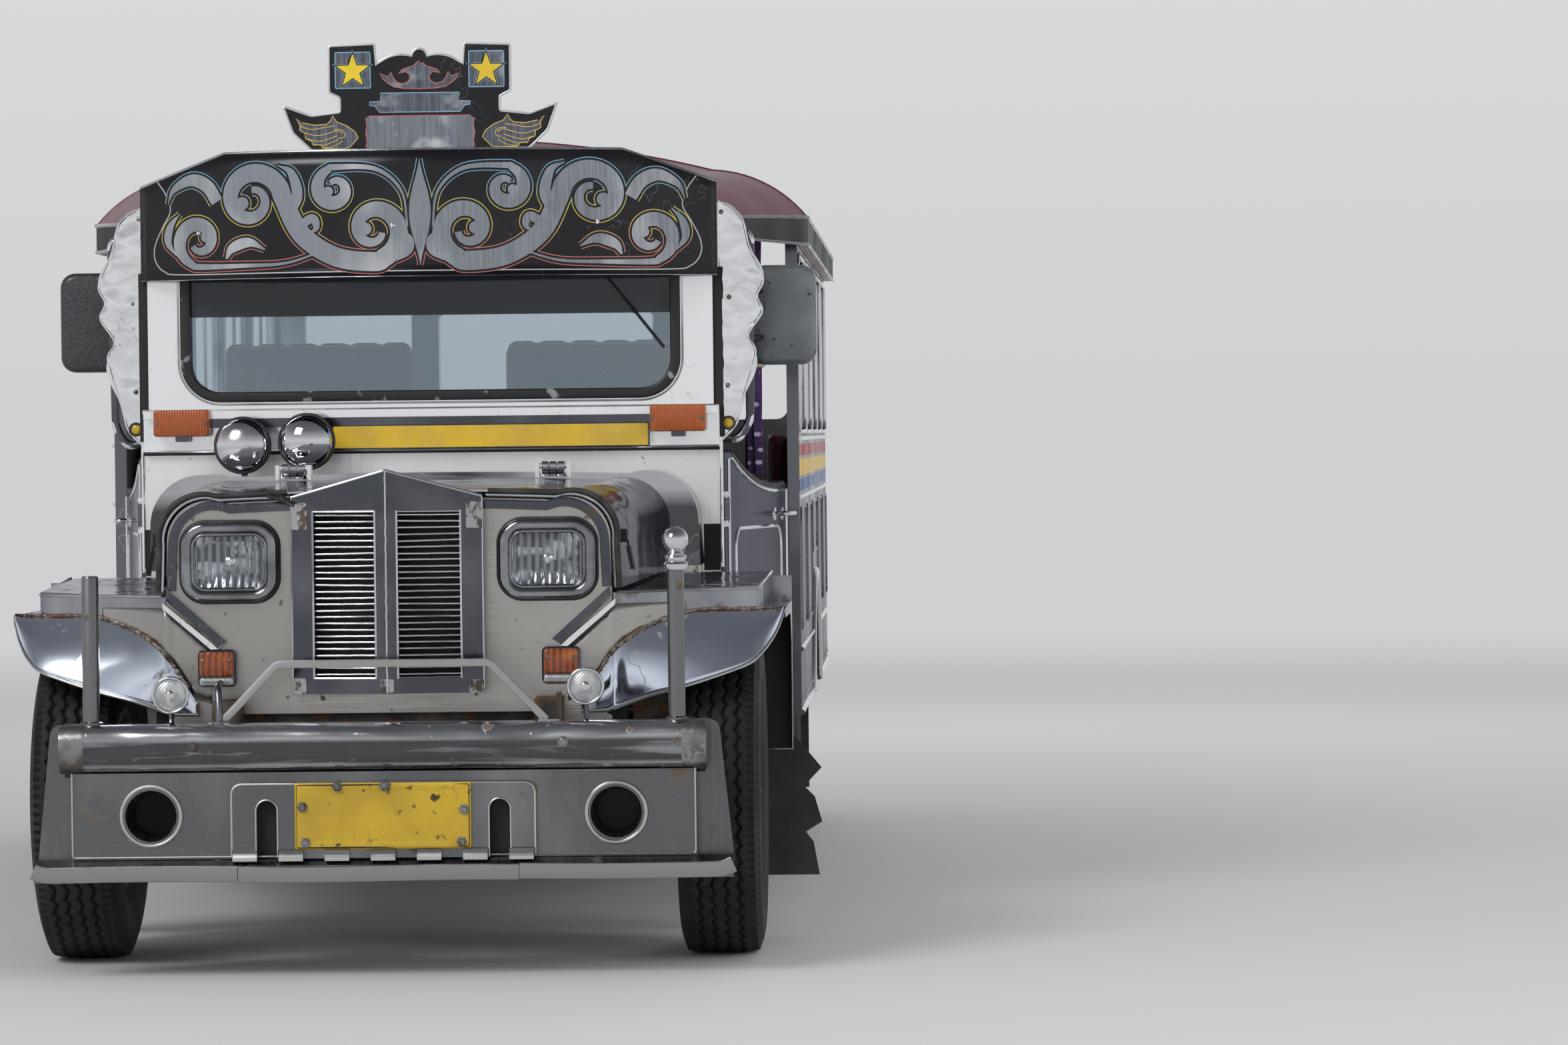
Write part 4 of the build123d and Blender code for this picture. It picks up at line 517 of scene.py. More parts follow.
def beading(line, depth, radius, sides=8, closed=False):
    """A round bead along a line of X and Z at a depth."""
    return pipe(front_line(line, depth), radius, sides, rearwards, closed)


def block(rings):
    """Rings of points joined in their order, with both ends closed."""
    rings = np.asarray(rings, float)
    return rings, grid_faces(*rings.shape[:2], wrap_columns=True, ends=(True, True))


def board(outline, front, back, edge=0.001, place=seen_from_front):
    """A plate: a closed outline at a front and a back, its edges eased inwards by edge.
    Front and back may be numbers or one value for each point."""
    outline = np.asarray(outline, float)
    following = np.roll(outline, -1, 0)
    tangent = unit(following - np.roll(outline, 1, 0))
    area = np.sum(outline[:, 0] * following[:, 1] - outline[:, 1] * following[:, 0])
    inner = outline + np.sign(area) * np.column_stack([-tangent[:, 1], tangent[:, 0]]) * edge
    step = np.sign(np.mean(back - front)) * edge
    rings = ((inner, front), (outline, front + step), (outline, back - step), (inner, back))
    return block(np.stack([place(ring[:, 0], ring[:, 1], at_ring) for ring, at_ring in rings]))


beam_half = 0.712
beam_depth = 0.062
beam_z = 0.5105
beam_across = np.linspace(-beam_half, beam_half, 261)
beam_outline = rounded_outline(0.124, 0.107, 0.040, 12)
beam_rows = np.repeat(beam_outline[None], len(beam_across), axis=0)
dents = (  # x, z, width, height, depth
    (0.400, 0.520, 0.045, 0.022, 0.006),
    (-0.418, 0.515, 0.020, 0.016, 0.003),
    (0.30, 0.545, 0.060, 0.020, 0.004),
    (-0.10, 0.500, 0.140, 0.030, 0.004),
    (0.56, 0.500, 0.060, 0.040, 0.005),
    (-0.58, 0.525, 0.050, 0.040, 0.004),
    (0.12, 0.485, 0.050, 0.020, 0.004),
)
for x, z, width, height, depth in dents:
    away = ((beam_across[:, None] - x) / width) ** 2 + ((beam_rows[..., 1] + beam_z - z) / height) ** 2
    beam_rows[..., 0] = beam_rows[..., 0] - depth * np.exp(-away) * (beam_rows[..., 0] > 0.02)
beam_ease = np.clip((beam_half - np.abs(beam_across)) / 0.008, 0, 1)[:, None, None]
beam_rows = beam_rows * (0.93 + 0.07 * np.sqrt(beam_ease))
beam_path = seen_from_front(beam_across, beam_z, beam_depth)
beam_shell = swept(beam_path, beam_rows)
make_piece("bumper_beam_shell", beam_shell, bumper_polish, stands_for=["bumper_beam"])


def beam_cap(side):
    """A bulging, puckered sleeve over one end of the beam."""
    bulge = 1.012 + 0.012 * np.sin(np.linspace(0, np.pi, 12))[:, None, None]
    pucker = 1 + 0.006 * np.sin(np.linspace(0, 14 * np.pi, len(beam_outline)))[None, :, None]
    sleeve_path = seen_from_front(side * np.linspace(0.662, 0.716, 12), beam_z, beam_depth)
    return swept(sleeve_path, beam_outline[None] * bulge * pucker)


dull_cap = finish_of("dull_cap", (0.30, 0.30, 0.30), 0.32, 1.0, [
    patchy((0.14, 0.125, 0.115), 0.6, 18.0, 0.4, 0.2, bump=0.0006),
    scratched((0.45, 0.45, 0.45), 0.6, 14.0, 0.02),
], (14.0, 0.004))
make_piece("bumper_beam_caps", both_sides(beam_cap), dull_cap)
bolt_head = [(0.0, 0.012), (0.003, 0.012), (0.003, 0.0085), (0.009, 0.0085), (0.0105, 0.0065)]
bolt_parts = [turned(bolt_head, at(0.400, 0.0045, 0.520), steps=12)]
bolt_parts += [turned(bolt_head, at(-0.418, 0.002, 0.515), steps=6)]
make_piece("bumper_bolts", bolt_parts, dull_cap)
dress(apron_steel, "bumper_apron")

# The apron's trimmings: a rolled rim round each lamp hole, seven curved tabs along
# the foot of the plate panel, a welded rim on the panel, and the lip's seams.
rim_turn = np.linspace(0, 2 * np.pi, 16, endpoint=False)
hole_x, hole_z = 0.515, 0.362
slot_x = 0.258
hole_rim = np.column_stack([0.004 - 0.004 * np.cos(rim_turn), 0.066 + 0.0045 * np.sin(rim_turn)])
hole_cone = [(-0.004, 0.063), (-0.10, 0.0455), (-0.10, 0.0440), (-0.0035, 0.0615)]
hole_back = [(-0.0970, 0.0447), (-0.0985, 0.0447)]
lamp_rim_steel = stained("lamp_rim_steel", (0.55, 0.54, 0.53), 0.22, 1.0, 0.5)
soot_black = stained("soot_black", (0.006, 0.006, 0.007), 0.6, 0.0, 0.8, (0.02, 0.019, 0.018))
make_piece("apron_lamp_rims", both_sides(lambda side: [
    turned(hole_rim, at(side * hole_x, 0.025, hole_z), steps=64, loop=True),
    turned(hole_cone, at(side * hole_x, 0.025, hole_z), steps=64, loop=True),
]), lamp_rim_steel)
make_piece("apron_closures", both_sides(lambda side: [
    turned(hole_back, at(side * hole_x, 0.025, hole_z), steps=40),
    board(rounded_outline(0.064, 0.150, 0.020) + (side * slot_x, 0.335), 0.0400, 0.0415, 0.0004),
]), soot_black)
tab_pitch = 0.102
tab_half = 0.027
tab_bend = np.linspace(0, 1, 9)
tab_depth = 0.013 - 0.015 * np.sin(tab_bend * np.pi * 0.62)
tab_outer = np.column_stack([tab_depth, 0.287 - 0.026 * tab_bend])
tab_loop = np.concatenate([tab_outer, (tab_outer + (0.003, 0.001))[::-1]])
tab_parts = []
for index in range(7):
    tab_x = (index - 3) * tab_pitch + np.linspace(-tab_half, tab_half, 7)[:, None]
    tab_parts.append(block(seen_from_side(tab_loop[:, 0], tab_loop[:, 1], tab_x)))
tab_steel = stained("tab_steel", (0.62, 0.62, 0.61), 0.25, 1.0, 0.5)
make_piece("apron_tabs", tab_parts, tab_steel)
panel_rim = bent([(-0.336, 0.272), (-0.336, 0.431), (0.336, 0.431), (0.336, 0.272)], 0.026)
face_rim = bent([(-0.690, 0.458), (-0.690, 0.2705), (0.690, 0.2705), (0.690, 0.458)], 0.006)
slot_turn = np.linspace(0, np.pi, 20)
slot_arch = 0.024 * np.column_stack([np.cos(slot_turn), np.sin(slot_turn)])
slot_arch = np.concatenate([[(0.024, -0.104)], slot_arch, [(-0.024, -0.104)]])
slot_beads = both_sides(lambda side: beading(slot_arch + (side * slot_x, 0.372), 0.0135, 0.0022))
rim_beads = [beading(panel_rim, 0.0155, 0.0028), *slot_beads, beading(face_rim, 0.0235, 0.0024)]
make_piece("apron_beads", rim_beads, lamp_rim_steel)
lip_section = rounded_outline(0.006, 0.036, 0.0028, 4)
lip_parts = []
for start, end, lift in ((-0.774, -0.322, 0.0), (-0.320, 0.300, -0.0015), (0.302, 0.774, 0.001)):
    lip_x = np.linspace(start, end, 40)
    droop = 0.0015 * np.sin(lip_x * 9) + lift
    turn_up = 0.010 * np.clip((np.abs(lip_x) - 0.735) / 0.039, 0, 1) ** 2
    lip_parts.append(swept(seen_from_front(lip_x, 0.2350 + droop + turn_up, -0.0075), lip_section))
lip_steel = stained("lip_steel", (0.33, 0.33, 0.335), 0.22, 1.0, 0.45, waves=(6.0, 0.004))
make_piece("apron_lip", lip_parts, lip_steel)


# Number plate: a pressed blank of yellow painted sheet with a black-lined rim, held
# to the apron's panel by six bolts.
def sheet(points):
    """An open sheet through rows of points."""
    return points, grid_faces(*points.shape[:2])


def give_wall(piece, thickness):
    """Thickens a sheet evenly to both sides."""
    wall = piece.modifiers.new("wall", "SOLIDIFY")
    wall.thickness = thickness
    wall.offset = 0


plate_yellow = finish_of("plate_yellow", (0.54, 0.36, 0.02), 0.42, 0.0, [
    patchy((0.40, 0.25, 0.02), 0.6, 9.0, 0.45, 0.35),
    patchy((0.07, 0.035, 0.015), 0.85, 34.0, -0.05, 0.05, bump=0.0003),
    scratched((0.20, 0.13, 0.03), 0.7, 12.0, 0.012),
])
plate_half_width, plate_half_height = 0.195, 0.0735
plate_z = 0.359
across = np.linspace(-plate_half_width, plate_half_width, 66)[:, None]
upright = np.linspace(-plate_half_height, plate_half_height, 30)[None, :]
to_rim = np.minimum(plate_half_width - np.abs(across), plate_half_height - np.abs(upright))
plate_lift = 0.0022 * np.exp(-(((to_rim - 0.008) / 0.0035) ** 2))
plate_lift = plate_lift + 0.0018 * np.sin(across * 17) * np.cos(upright * 12)
plate = sheet(seen_from_front(across, upright + plate_z, 0.0095 - plate_lift))
give_wall(make_piece("number_plate", plate, plate_yellow), 0.0015)
plate_border = beading(rounded_outline(0.381, 0.138, 0.004, 4) + (0, plate_z), 0.0088, 0.0016, closed=True)
make_piece("number_plate_border", plate_border, soot_black)
plate_bolts = (
    (-0.178, 0.380), (0.180, 0.372), (-0.172, 0.301), (0.174, 0.300), (0.004, 0.425), (-0.10, 0.425),
)
bolt_parts = [turned(bolt_head, at(x, 0.0095, z), steps=6) for x, z in plate_bolts]
make_piece("number_plate_bolts", bolt_parts, dull_cap)

# Guards on the bumper: two dull tubes with rounded tops, the left one with a
# chrome collar and ball, and a hoop bent from flat bar.
tube_steel = finish_of("tube_steel", (0.22, 0.22, 0.23), 0.16, 1.0, [
    patchy(None, 0.5, 4.0, 0.5, 0.3, (6, 6, 1)),
    patchy((0.14, 0.11, 0.09), 0.8, 32.0, 0.02, 0.1, metal=0.4, bump=0.0004),
])
chrome = finish_of("chrome", (0.70, 0.71, 0.74), 0.05, 1.0, [patchy(None, 0.2, 9.0, 0.3, 0.2)])
post_x, post_depth, post_foot = 0.650, 0.061, 0.564
post_profiles = {  # height above the foot, radius
    -1: [(0.0, 0.019), (0.325, 0.019), (0.329, 0.0175), (0.330, 0.015), (0.326, 0.0145)],
    1: [(0.0, 0.019), (0.351, 0.019)],
}
post_flange = [(0.0, 0.026), (0.004, 0.026), (0.007, 0.021), (0.007, 0.019)]
post_parts = both_sides(lambda side: [
    turned(profile, at(side * post_x, post_depth, post_foot), upwards, 32)
    for profile in (post_profiles[side], post_flange)
])
make_piece("guard_posts", post_parts, tube_steel, stands_for=["bumper_guards"])
hoop_line = bent([(-0.360, 0.566), (-0.236, 0.694), (0.236, 0.694), (0.360, 0.566)], 0.012)
foot_line = rounded_outline(0.05, 0.034, 0.006, 4)
foot_heights = np.array((0.5635, 0.5670))[:, None]
hoop_steel = stained("hoop_steel", (0.42, 0.42, 0.42), 0.28, 1.0, 0.5)
make_piece("guard_hoop_bar", [
    moulding(hoop_line, post_depth, rounded_outline(0.018, 0.006, 0.002, 3)),
    *both_sides(lambda side: block(
        seen_from_front(foot_line[:, 0] + side * 0.366, foot_heights, post_depth + foot_line[:, 1])
    )),
], hoop_steel)
ball_turn = np.linspace(-1.0, np.pi / 2 - 0.06, 22)
ball = np.column_stack([0.961 + 0.0295 * np.sin(ball_turn), 0.0295 * np.cos(ball_turn)])
collar = [(0.893, 0.019), (0.895, 0.0245), (0.900, 0.0275), (0.907, 0.0285), (0.912, 0.0255)]
collar += [(0.9145, 0.0215), (0.917, 0.0240), (0.922, 0.0255), (0.927, 0.0235), (0.930, 0.0185)]
ball_part = turned(np.concatenate([collar, ball]), at(post_x, post_depth, 0), upwards, 40)
make_piece("guard_ball", ball_part, chrome)

# Nose: one sheet of warm, brushed stainless with a dark polished band round its
# arch and two diagonal stiffening strips.
nose_steel = finish_of("nose_steel", (0.47, 0.455, 0.43), 0.25, 1.0, [
    patchy(None, 0.42, 3.0, 0.5, 0.3, (2, 2, 110), bump=0.00008),
    patchy((0.35, 0.335, 0.315), 0.40, 1.6, 0.5, 0.4),
    patchy((0.20, 0.16, 0.12), 0.7, 40.0, -0.10, 0.06, metal=0.5),
], (1.8, 0.010))
dress(nose_steel, "nose_panel")
smoke_polish = finish_of("smoke_polish", (0.098, 0.102, 0.120), 0.14, 1.0, [
    patchy((0.175, 0.18, 0.20), 0.32, 5.0, 0.4, 0.35),
    scratched((0.24, 0.24, 0.26), 0.3, 14.0, 0.003, (1, 1, 0.3)),
    patchy((0.08, 0.065, 0.055), 0.7, 30.0, -0.04, 0.08, metal=0.3),
], (7.0, 0.003))
mirror_steel = finish_of("mirror_steel", (0.93, 0.935, 0.95), 0.05, 1.0, [
    patchy(None, 0.16, 2.2, 0.4, 0.4),
    scratched((0.6, 0.6, 0.62), 0.35, 7.0, 0.006),
], (3.0, 0.012))


def arc_through(first, middle, last, steps):
    """Points on the circle through three points, from the first to the last."""
    first, middle, last = (np.asarray(point, float) for point in (first, middle, last))
    rows = 2 * np.array([middle - first, last - first])
    centre = np.linalg.solve(rows, [middle @ middle - first @ first, last @ last - first @ first])
    turns = np.unwrap([math.atan2(*(point - centre)[::-1]) for point in (first, middle, last)])
    angle = np.linspace(turns[0], turns[2], steps)
    radius = np.linalg.norm(first - centre)
    return centre + radius * np.column_stack([np.cos(angle), np.sin(angle)])


def arch_line(half, bottom, corner_z, top, corner, inset):
    """The hood's outline from its left foot to its right foot, moved inwards by inset: straight
    sides that lean in 4 mm, round corners, and a crowned top."""
    side = half - inset
    crown = top - inset
    knee_x, knee_z = side - corner, crown - 0.008
    bend = (side - corner * 0.22, knee_z - (knee_z - corner_z) * 0.24)
    rounded = arc_through((side - 0.004, corner_z), bend, (knee_x, knee_z), 14)
    over = arc_through((knee_x, knee_z), (0, crown), (-knee_x, knee_z), 25)[1:-1]
    feet = np.linspace(bottom, corner_z, 6, endpoint=False)
    rise = np.column_stack([side - 0.004 * (feet - bottom) / (corner_z - bottom), feet])
    half_way = np.concatenate([rise, rounded])
    return np.concatenate([half_way, over, half_way[::-1] * (-1, 1)])


def side_plates(corners, front, back, edge):
    """A plate on each side, between corners given for the left one."""
    return both_sides(lambda side: board(np.array(corners) * (side, 1), front, back, edge))


band_line = arch_line(0.520, 0.855, 0.954, 1.077, 0.132, 0.031)
make_piece("nose_band", moulding(band_line, 0.2185, rounded_outline(0.021, 0.004, 0.0015, 3)), smoke_polish)
dull_strip = [(0.4955, 0.856), (0.4995, 0.8375), (0.3845, 0.7275), (0.3655, 0.7395)]
bright_strip = [(0.5080, 0.829), (0.5080, 0.815), (0.4010, 0.7225), (0.3815, 0.7245)]
groove = np.linspace((0.4995, 0.8365), (0.384, 0.7265), 8)
groove_parts = both_sides(lambda side: beading(groove * (side, 1), 0.2045, 0.0022))
make_piece("nose_strips", side_plates(dull_strip, 0.2045, 0.2075, 0.0006), smoke_polish)
make_piece("nose_strip_edges", side_plates(bright_strip, 0.2050, 0.2080, 0.0006), mirror_steel)
make_piece("nose_strip_grooves", groove_parts, greasy_iron)
nose_foot = [(0.360, 0.640), (0.425, 0.640), (0.450, 0.592), (0.498, 0.566), (0.498, 0.535), (0.360, 0.535)]
foot_back = [(0.370, 0.500), (0.530, 0.500), (0.530, 0.625), (0.370, 0.625)]
make_piece("nose_feet", side_plates(nose_foot, 0.2225, 0.2245, 0.0004), nose_steel)
make_piece("nose_foot_backs", side_plates(foot_back, 0.2460, 0.2480, 0.0004), soot_black)


# Fog lamps on the bumper: a chromed rim and a frosted lens on a bowl with a stalk.
# Spot lamps before the windscreen: a black rubber ring round a domed chrome cover.
def fluted(colour, count, bump):
    """A layer of fine flutes, so many to a metre of X, Y and Z."""
    return dict(effect="flutes", colour=colour, Count=count, bump=bump)


black_rubber = finish_of("black_rubber", (0.014, 0.014, 0.015), 0.5, 0.0, [
    patchy((0.06, 0.058, 0.055), 0.8, 18.0, 0.35, 0.3),
])
frosted_lens = finish_of("frosted_lens", (0.40, 0.41, 0.42), 0.16, 0.35, [
    fluted((0.26, 0.27, 0.28), (160, 0, 160), 0.0005),
    patchy((0.62, 0.63, 0.63), 0.05, 26.0, 0.35, 0.2),
], Coat_Weight=0.7)
leftwards = (1, 0, 0)
round_rim = np.column_stack([0.0045 * np.cos(rim_turn), 0.0385 + 0.0035 * np.sin(rim_turn)])
fog_lens = [(0.008, 0.0365), (0.013, 0.032), (0.017, 0.024), (0.0195, 0.014), (0.0205, 0.004)]
fog_bulb = [(0.0185, 0.011), (0.0225, 0.0105), (0.0255, 0.007), (0.0265, 0.003)]
fog_bowl = [(-0.035, 0.006), (-0.032, 0.018), (-0.022, 0.030), (-0.006, 0.0375), (0.008, 0.0385)]
fog_centres = [at(side * 0.4605 - 0.0115, 0.055, 0.6345 + side * 0.0055) for side in (-1, 1)]
bowl_parts = []
for centre in fog_centres:
    stalk = [centre + (0, 0.004, -0.030), centre + (0, 0.012, -0.050), at(centre[0], 0.062, 0.565)]
    bowl_parts += [turned(fog_bowl, centre), pipe(stalk, 0.006, 10, leftwards)]
rim_parts = [turned(round_rim + (0.009, 0), centre, loop=True) for centre in fog_centres]
make_piece("fog_lamp_rims", rim_parts, chrome, stands_for=["round_lamps"])
make_piece("fog_lamp_lenses", [turned(fog_lens, centre) for centre in fog_centres], frosted_lens)
make_piece("fog_lamp_bulbs", [turned(fog_bulb, centre, steps=28) for centre in fog_centres], chrome)
make_piece("fog_lamp_bowls", bowl_parts, smoke_polish)
dome_turn = np.linspace(0.22, np.pi / 2 - 0.03, 16)
spot_dome = np.column_stack([0.046 * np.sin(dome_turn) - 0.004, 0.0655 * np.cos(dome_turn)])
spot_ring = np.column_stack([0.006 * np.cos(rim_turn), 0.0655 + 0.0045 * np.sin(rim_turn)])
spot_bowl = [(-0.060, 0.010), (-0.055, 0.030), (-0.035, 0.052), (-0.008, 0.0645), (0.004, 0.0645)]
spot_centres = [at(x, 1.252, z) for x, z in ((-0.446, 1.179), (-0.291, 1.186))]
tilted = (0, -1, 0.04)
bowl_parts = []
for centre in spot_centres:
    stalk = [centre + (0, 0.030, -0.040), centre + (0, 0.032, -0.060), at(centre[0], 1.285, 1.1045)]
    bowl_parts += [turned(spot_bowl, centre, tilted, 40), pipe(stalk, 0.008, 12, leftwards)]
make_piece("spot_lamp_covers", [turned(spot_dome, centre, tilted, 56) for centre in spot_centres], chrome)
ring_parts = [turned(spot_ring, centre, tilted, 56, loop=True) for centre in spot_centres]
make_piece("spot_lamp_rings", ring_parts, black_rubber)
make_piece("spot_lamp_bowls", bowl_parts, smoke_polish)

# Amber lamps: moulded lenses with fine upright flutes and two screws each. The
# small pair has a clear strip below, and its right one stands on a bent stalk.
amber_lens = finish_of("amber_lens", (0.40, 0.092, 0.012), 0.22, 0.0, [
    fluted((0.28, 0.056, 0.008), (150, 0, 0), 0.0005),
    patchy((0.42, 0.06, 0.01), 0.5, 30.0, 0.2, 0.2),
], Coat_Weight=0.4)
amber_deep = finish_of("amber_deep", (0.30, 0.062, 0.008), 0.16, 0.0, [
    fluted((0.13, 0.024, 0.004), (70, 0, 0), 0.0006),
    patchy((0.46, 0.13, 0.015), 0.3, 16.0, 0.12, 0.2),
], Coat_Weight=0.6)


def lens_block(width, height, corner, centre, back, front, bow, ease=0.006):
    """A moulded lens: a rounded rectangle from a back to a front depth, its front edge rounded by
    ease and its face rising by bow towards the middle. Every ring is the outline moved inwards."""
    turn = np.linspace(0, np.pi / 2, 6)
    inwards = math.copysign(1, back - front)
    rounding = np.column_stack([ease * (1 - np.cos(turn)), front + inwards * ease * (1 - np.sin(turn))])
    share = np.linspace(0, 1, 8)[1:]
    reach = min(width, height) / 2 * 0.97 - ease
    face = np.column_stack([ease + share * reach, front - inwards * bow * (1 - (1 - share) ** 2)])
    rings = []
    for inset, depth in np.concatenate([[(0, back)], rounding, face]):
        ring = rounded_outline(width - 2 * inset, height - 2 * inset, max(corner - inset, 0.0008), 8)
        rings.append(front_line(ring + centre, depth))
    return block(rings)


def lens_pair(width, height, corner, x, z, *depths):
    """The same moulded lens on both sides."""
    return both_sides(lambda side: lens_block(width, height, corner, (side * x, z), *depths))


rail_lamp_x, low_lamp_x = 0.604, 0.386
screw = [(0.0, 0.0042), (0.0018, 0.0042), (0.0028, 0.003)]
screw_places = ((rail_lamp_x, 1.3215, 1.234, 0.0595), (low_lamp_x, 0.1775, 0.700, 0.030))
screw_parts = both_sides(lambda side: [
    turned(screw, at(side * x + away, depth, z), steps=12)
    for x, depth, z, spread in screw_places
    for away in (-spread, spread)
])
lamp_mounts = (  # width, height, corner, x, z, front, back, eased edge
    (0.086, 0.083, 0.012, low_lamp_x, 0.681, 0.196, 0.221, 0.003),
    (0.130, 0.060, 0.008, rail_lamp_x, 1.234, 1.352, 1.364, 0.001),
    (0.034, 0.016, 0.003, rail_lamp_x, 1.197, 1.344, 1.366, 0.001),
)
mount_parts = both_sides(lambda side: [
    board(rounded_outline(width, height, corner) + (side * x, z), front, back, edge)
    for width, height, corner, x, z, front, back, edge in lamp_mounts
])
rail_lenses = lens_pair(0.136, 0.065, 0.008, rail_lamp_x, 1.234, 1.358, 1.322, 0.003)
make_piece("amber_lenses", rail_lenses, amber_lens, stands_for=["amber_lamps"])
low_lenses = lens_pair(0.076, 0.056, 0.009, low_lamp_x, 0.690, 0.205, 0.178, 0.003)
make_piece("amber_low_lenses", low_lenses, amber_deep)
clear_strips = lens_pair(0.076, 0.018, 0.006, low_lamp_x, 0.6515, 0.205, 0.181, 0.001, 0.004)
make_piece("clear_strips", clear_strips, frosted_lens)
make_piece("amber_lamp_screws", screw_parts, dull_cap)
make_piece("amber_lamp_mounts", mount_parts, smoke_polish)
stalk = [(-0.378, 0.200, 0.648), (-0.372, 0.085, 0.646), (-0.366, 0.062, 0.600), (-0.366, 0.058, 0.566)]
stalk_foot = [(0.0, 0.020), (0.005, 0.020), (0.007, 0.012)]
make_piece("amber_lamp_stalk", [
    pipe(placed(bent(stalk, 0.022)), 0.0085, 14, leftwards),
    turned(stalk_foot, at(-0.366, 0.058, 0.564), upwards, 20),
], tube_steel)

# Headlamps: a thick chromed bead round a black seal, a bright reflector, and a
# sealed glass lens moulded with upright flutes and cross bars.
headlamp_x, headlamp_z = 0.357, 0.919
bead_turn = np.linspace(0, np.pi, 11)
bezel_arc = np.column_stack([0.0125 * np.cos(bead_turn), -0.017 - 0.011 * np.sin(bead_turn)])
bezel_section = np.concatenate([bezel_arc, [(-0.0125, 0.0), (0.0125, 0.0)]])
inner_section = np.column_stack([0.0035 * np.cos(rim_turn), -0.013 - 0.003 * np.sin(rim_turn)])
seal_section = rounded_outline(0.012, 0.012, 0.003, 3) + (0, -0.008)
headlamp_bulb = [(0.0, 0.012), (0.003, 0.0115), (0.006, 0.008), (0.0075, 0.003)]
lamp_glass = finish_of("lamp_glass", (0.95, 0.97, 0.98), 0.02, 0.0, [
    fluted(None, (95, 0, 0), 0.0012),
    fluted(None, (0, 0, 28), 0.0006),
], Transmission_Weight=1.0, IOR=1.45)
reflector = finish_of("reflector", (0.50, 0.52, 0.55), 0.10, 1.0, [
    patchy((0.06, 0.06, 0.07), 0.3, 14.0, 0.42, 0.12, (1, 1, 2.4)),
    fluted((0.30, 0.32, 0.35), (60, 0, 0), 0.001),
])
bezel_chrome = finish_of("bezel_chrome", (0.32, 0.33, 0.35), 0.07, 1.0, [
    patchy((0.16, 0.16, 0.17), 0.2, 8.0, 0.35, 0.25, (1, 1, 2)),
], (12.0, 0.004))


def headlamp_line(side, width, height, corner):
    """A rounded rectangle about a headlamp's middle."""
    return rounded_outline(width, height, corner, 12) + (side * headlamp_x, headlamp_z)


make_piece("headlamp_beads", both_sides(
    lambda side: moulding(headlamp_line(side, 0.194, 0.154, 0.042), 0.221, bezel_section, True)
), bezel_chrome, stands_for=["headlamp_bezels"])
make_piece("headlamp_inner_beads", both_sides(
    lambda side: moulding(headlamp_line(side, 0.166, 0.124, 0.030), 0.2165, inner_section, True)
), bezel_chrome)
make_piece("headlamp_seals", both_sides(lambda side: [
    beading(headlamp_line(side, 0.2225, 0.1825, 0.056), 0.2190, 0.0034, closed=True),
    moulding(headlamp_line(side, 0.176, 0.135, 0.034), 0.2195, seal_section, True),
]), black_rubber)
glass_parts = lens_pair(0.160, 0.118, 0.026, headlamp_x, headlamp_z, 0.2085, 0.204, 0.005, 0.003)
make_piece("headlamp_glass", glass_parts, lamp_glass, stands_for=["headlamp_lenses"])
bowl_rings = []
for share in np.linspace(1, 0.06, 14):
    ring = rounded_outline(0.158 * share, 0.116 * share, 0.026 * share + 0.0005, 8)
    bowl_rings.append(front_line(ring, 0.2205 - 0.011 * share**2))
bowl_rings = np.stack(bowl_rings)
bowl_faces = grid_faces(*bowl_rings.shape[:2], wrap_columns=True, ends=(False, True))
make_piece("headlamp_reflectors", both_sides(
    lambda side: (bowl_rings + (side * headlamp_x, 0, headlamp_z), bowl_faces)
), reflector)
make_piece("headlamp_bulbs", both_sides(
    lambda side: turned(headlamp_bulb, at(side * headlamp_x, 0.2190, headlamp_z), steps=24)
), chrome)

# Grille: a V-nosed housing folded from smoky polished sheet, welded along its
# ridge and edges, with two banks of thin bright slats before a black radiator.
dress(smoke_polish, "grille_shell")
shell_half = 0.214


def shell_depth(x):
    """The depth of the housing's front at an X: two flat faces that meet at the ridge."""
    return 0.150 + 0.032 * np.abs(x) / shell_half


peak_x = np.linspace(-shell_half, shell_half, 31)
peak_line = np.column_stack([peak_x, 1.121 - 0.059 * np.abs(peak_x) / shell_half])
ridge_z = np.linspace(0.624, 1.119, 30)
ridge_line = np.column_stack([0.0007 * np.sin(ridge_z * 900), ridge_z])
trim_parts = [beading(peak_line, shell_depth(peak_x) + 0.001, 0.0032), beading(ridge_line, 0.1505, 0.0026)]
trim_lines = (  # x and z at the start and the end, steps, depth behind the shell's face, radius
    (shell_half, 0.624, shell_half, 1.060, 20, 0.001, 0.0022),
    (0.0245, 0.656, 0.0245, 1.031, 16, -0.0005, 0.0030),
    (0.1655, 0.656, 0.1655, 1.031, 16, -0.0005, 0.0030),
    (0.0245, 0.6575, 0.1655, 0.6575, 12, -0.0002, 0.0022),
    (0.0245, 1.0295, 0.1655, 1.0295, 12, -0.0002, 0.0022),
)
for side in (-1, 1):
    for x, z, end_x, end_z, steps, behind, radius in trim_lines:
        line = np.linspace((side * x, z), (side * end_x, end_z), steps)
        trim_parts.append(beading(line, shell_depth(line[:, 0]) + behind, radius))
edge_polish = stained("edge_polish", (0.62, 0.63, 0.66), 0.14, 1.0, 0.5, (0.2, 0.2, 0.2))
make_piece("grille_edges", trim_parts, edge_polish)
patch_parts = []
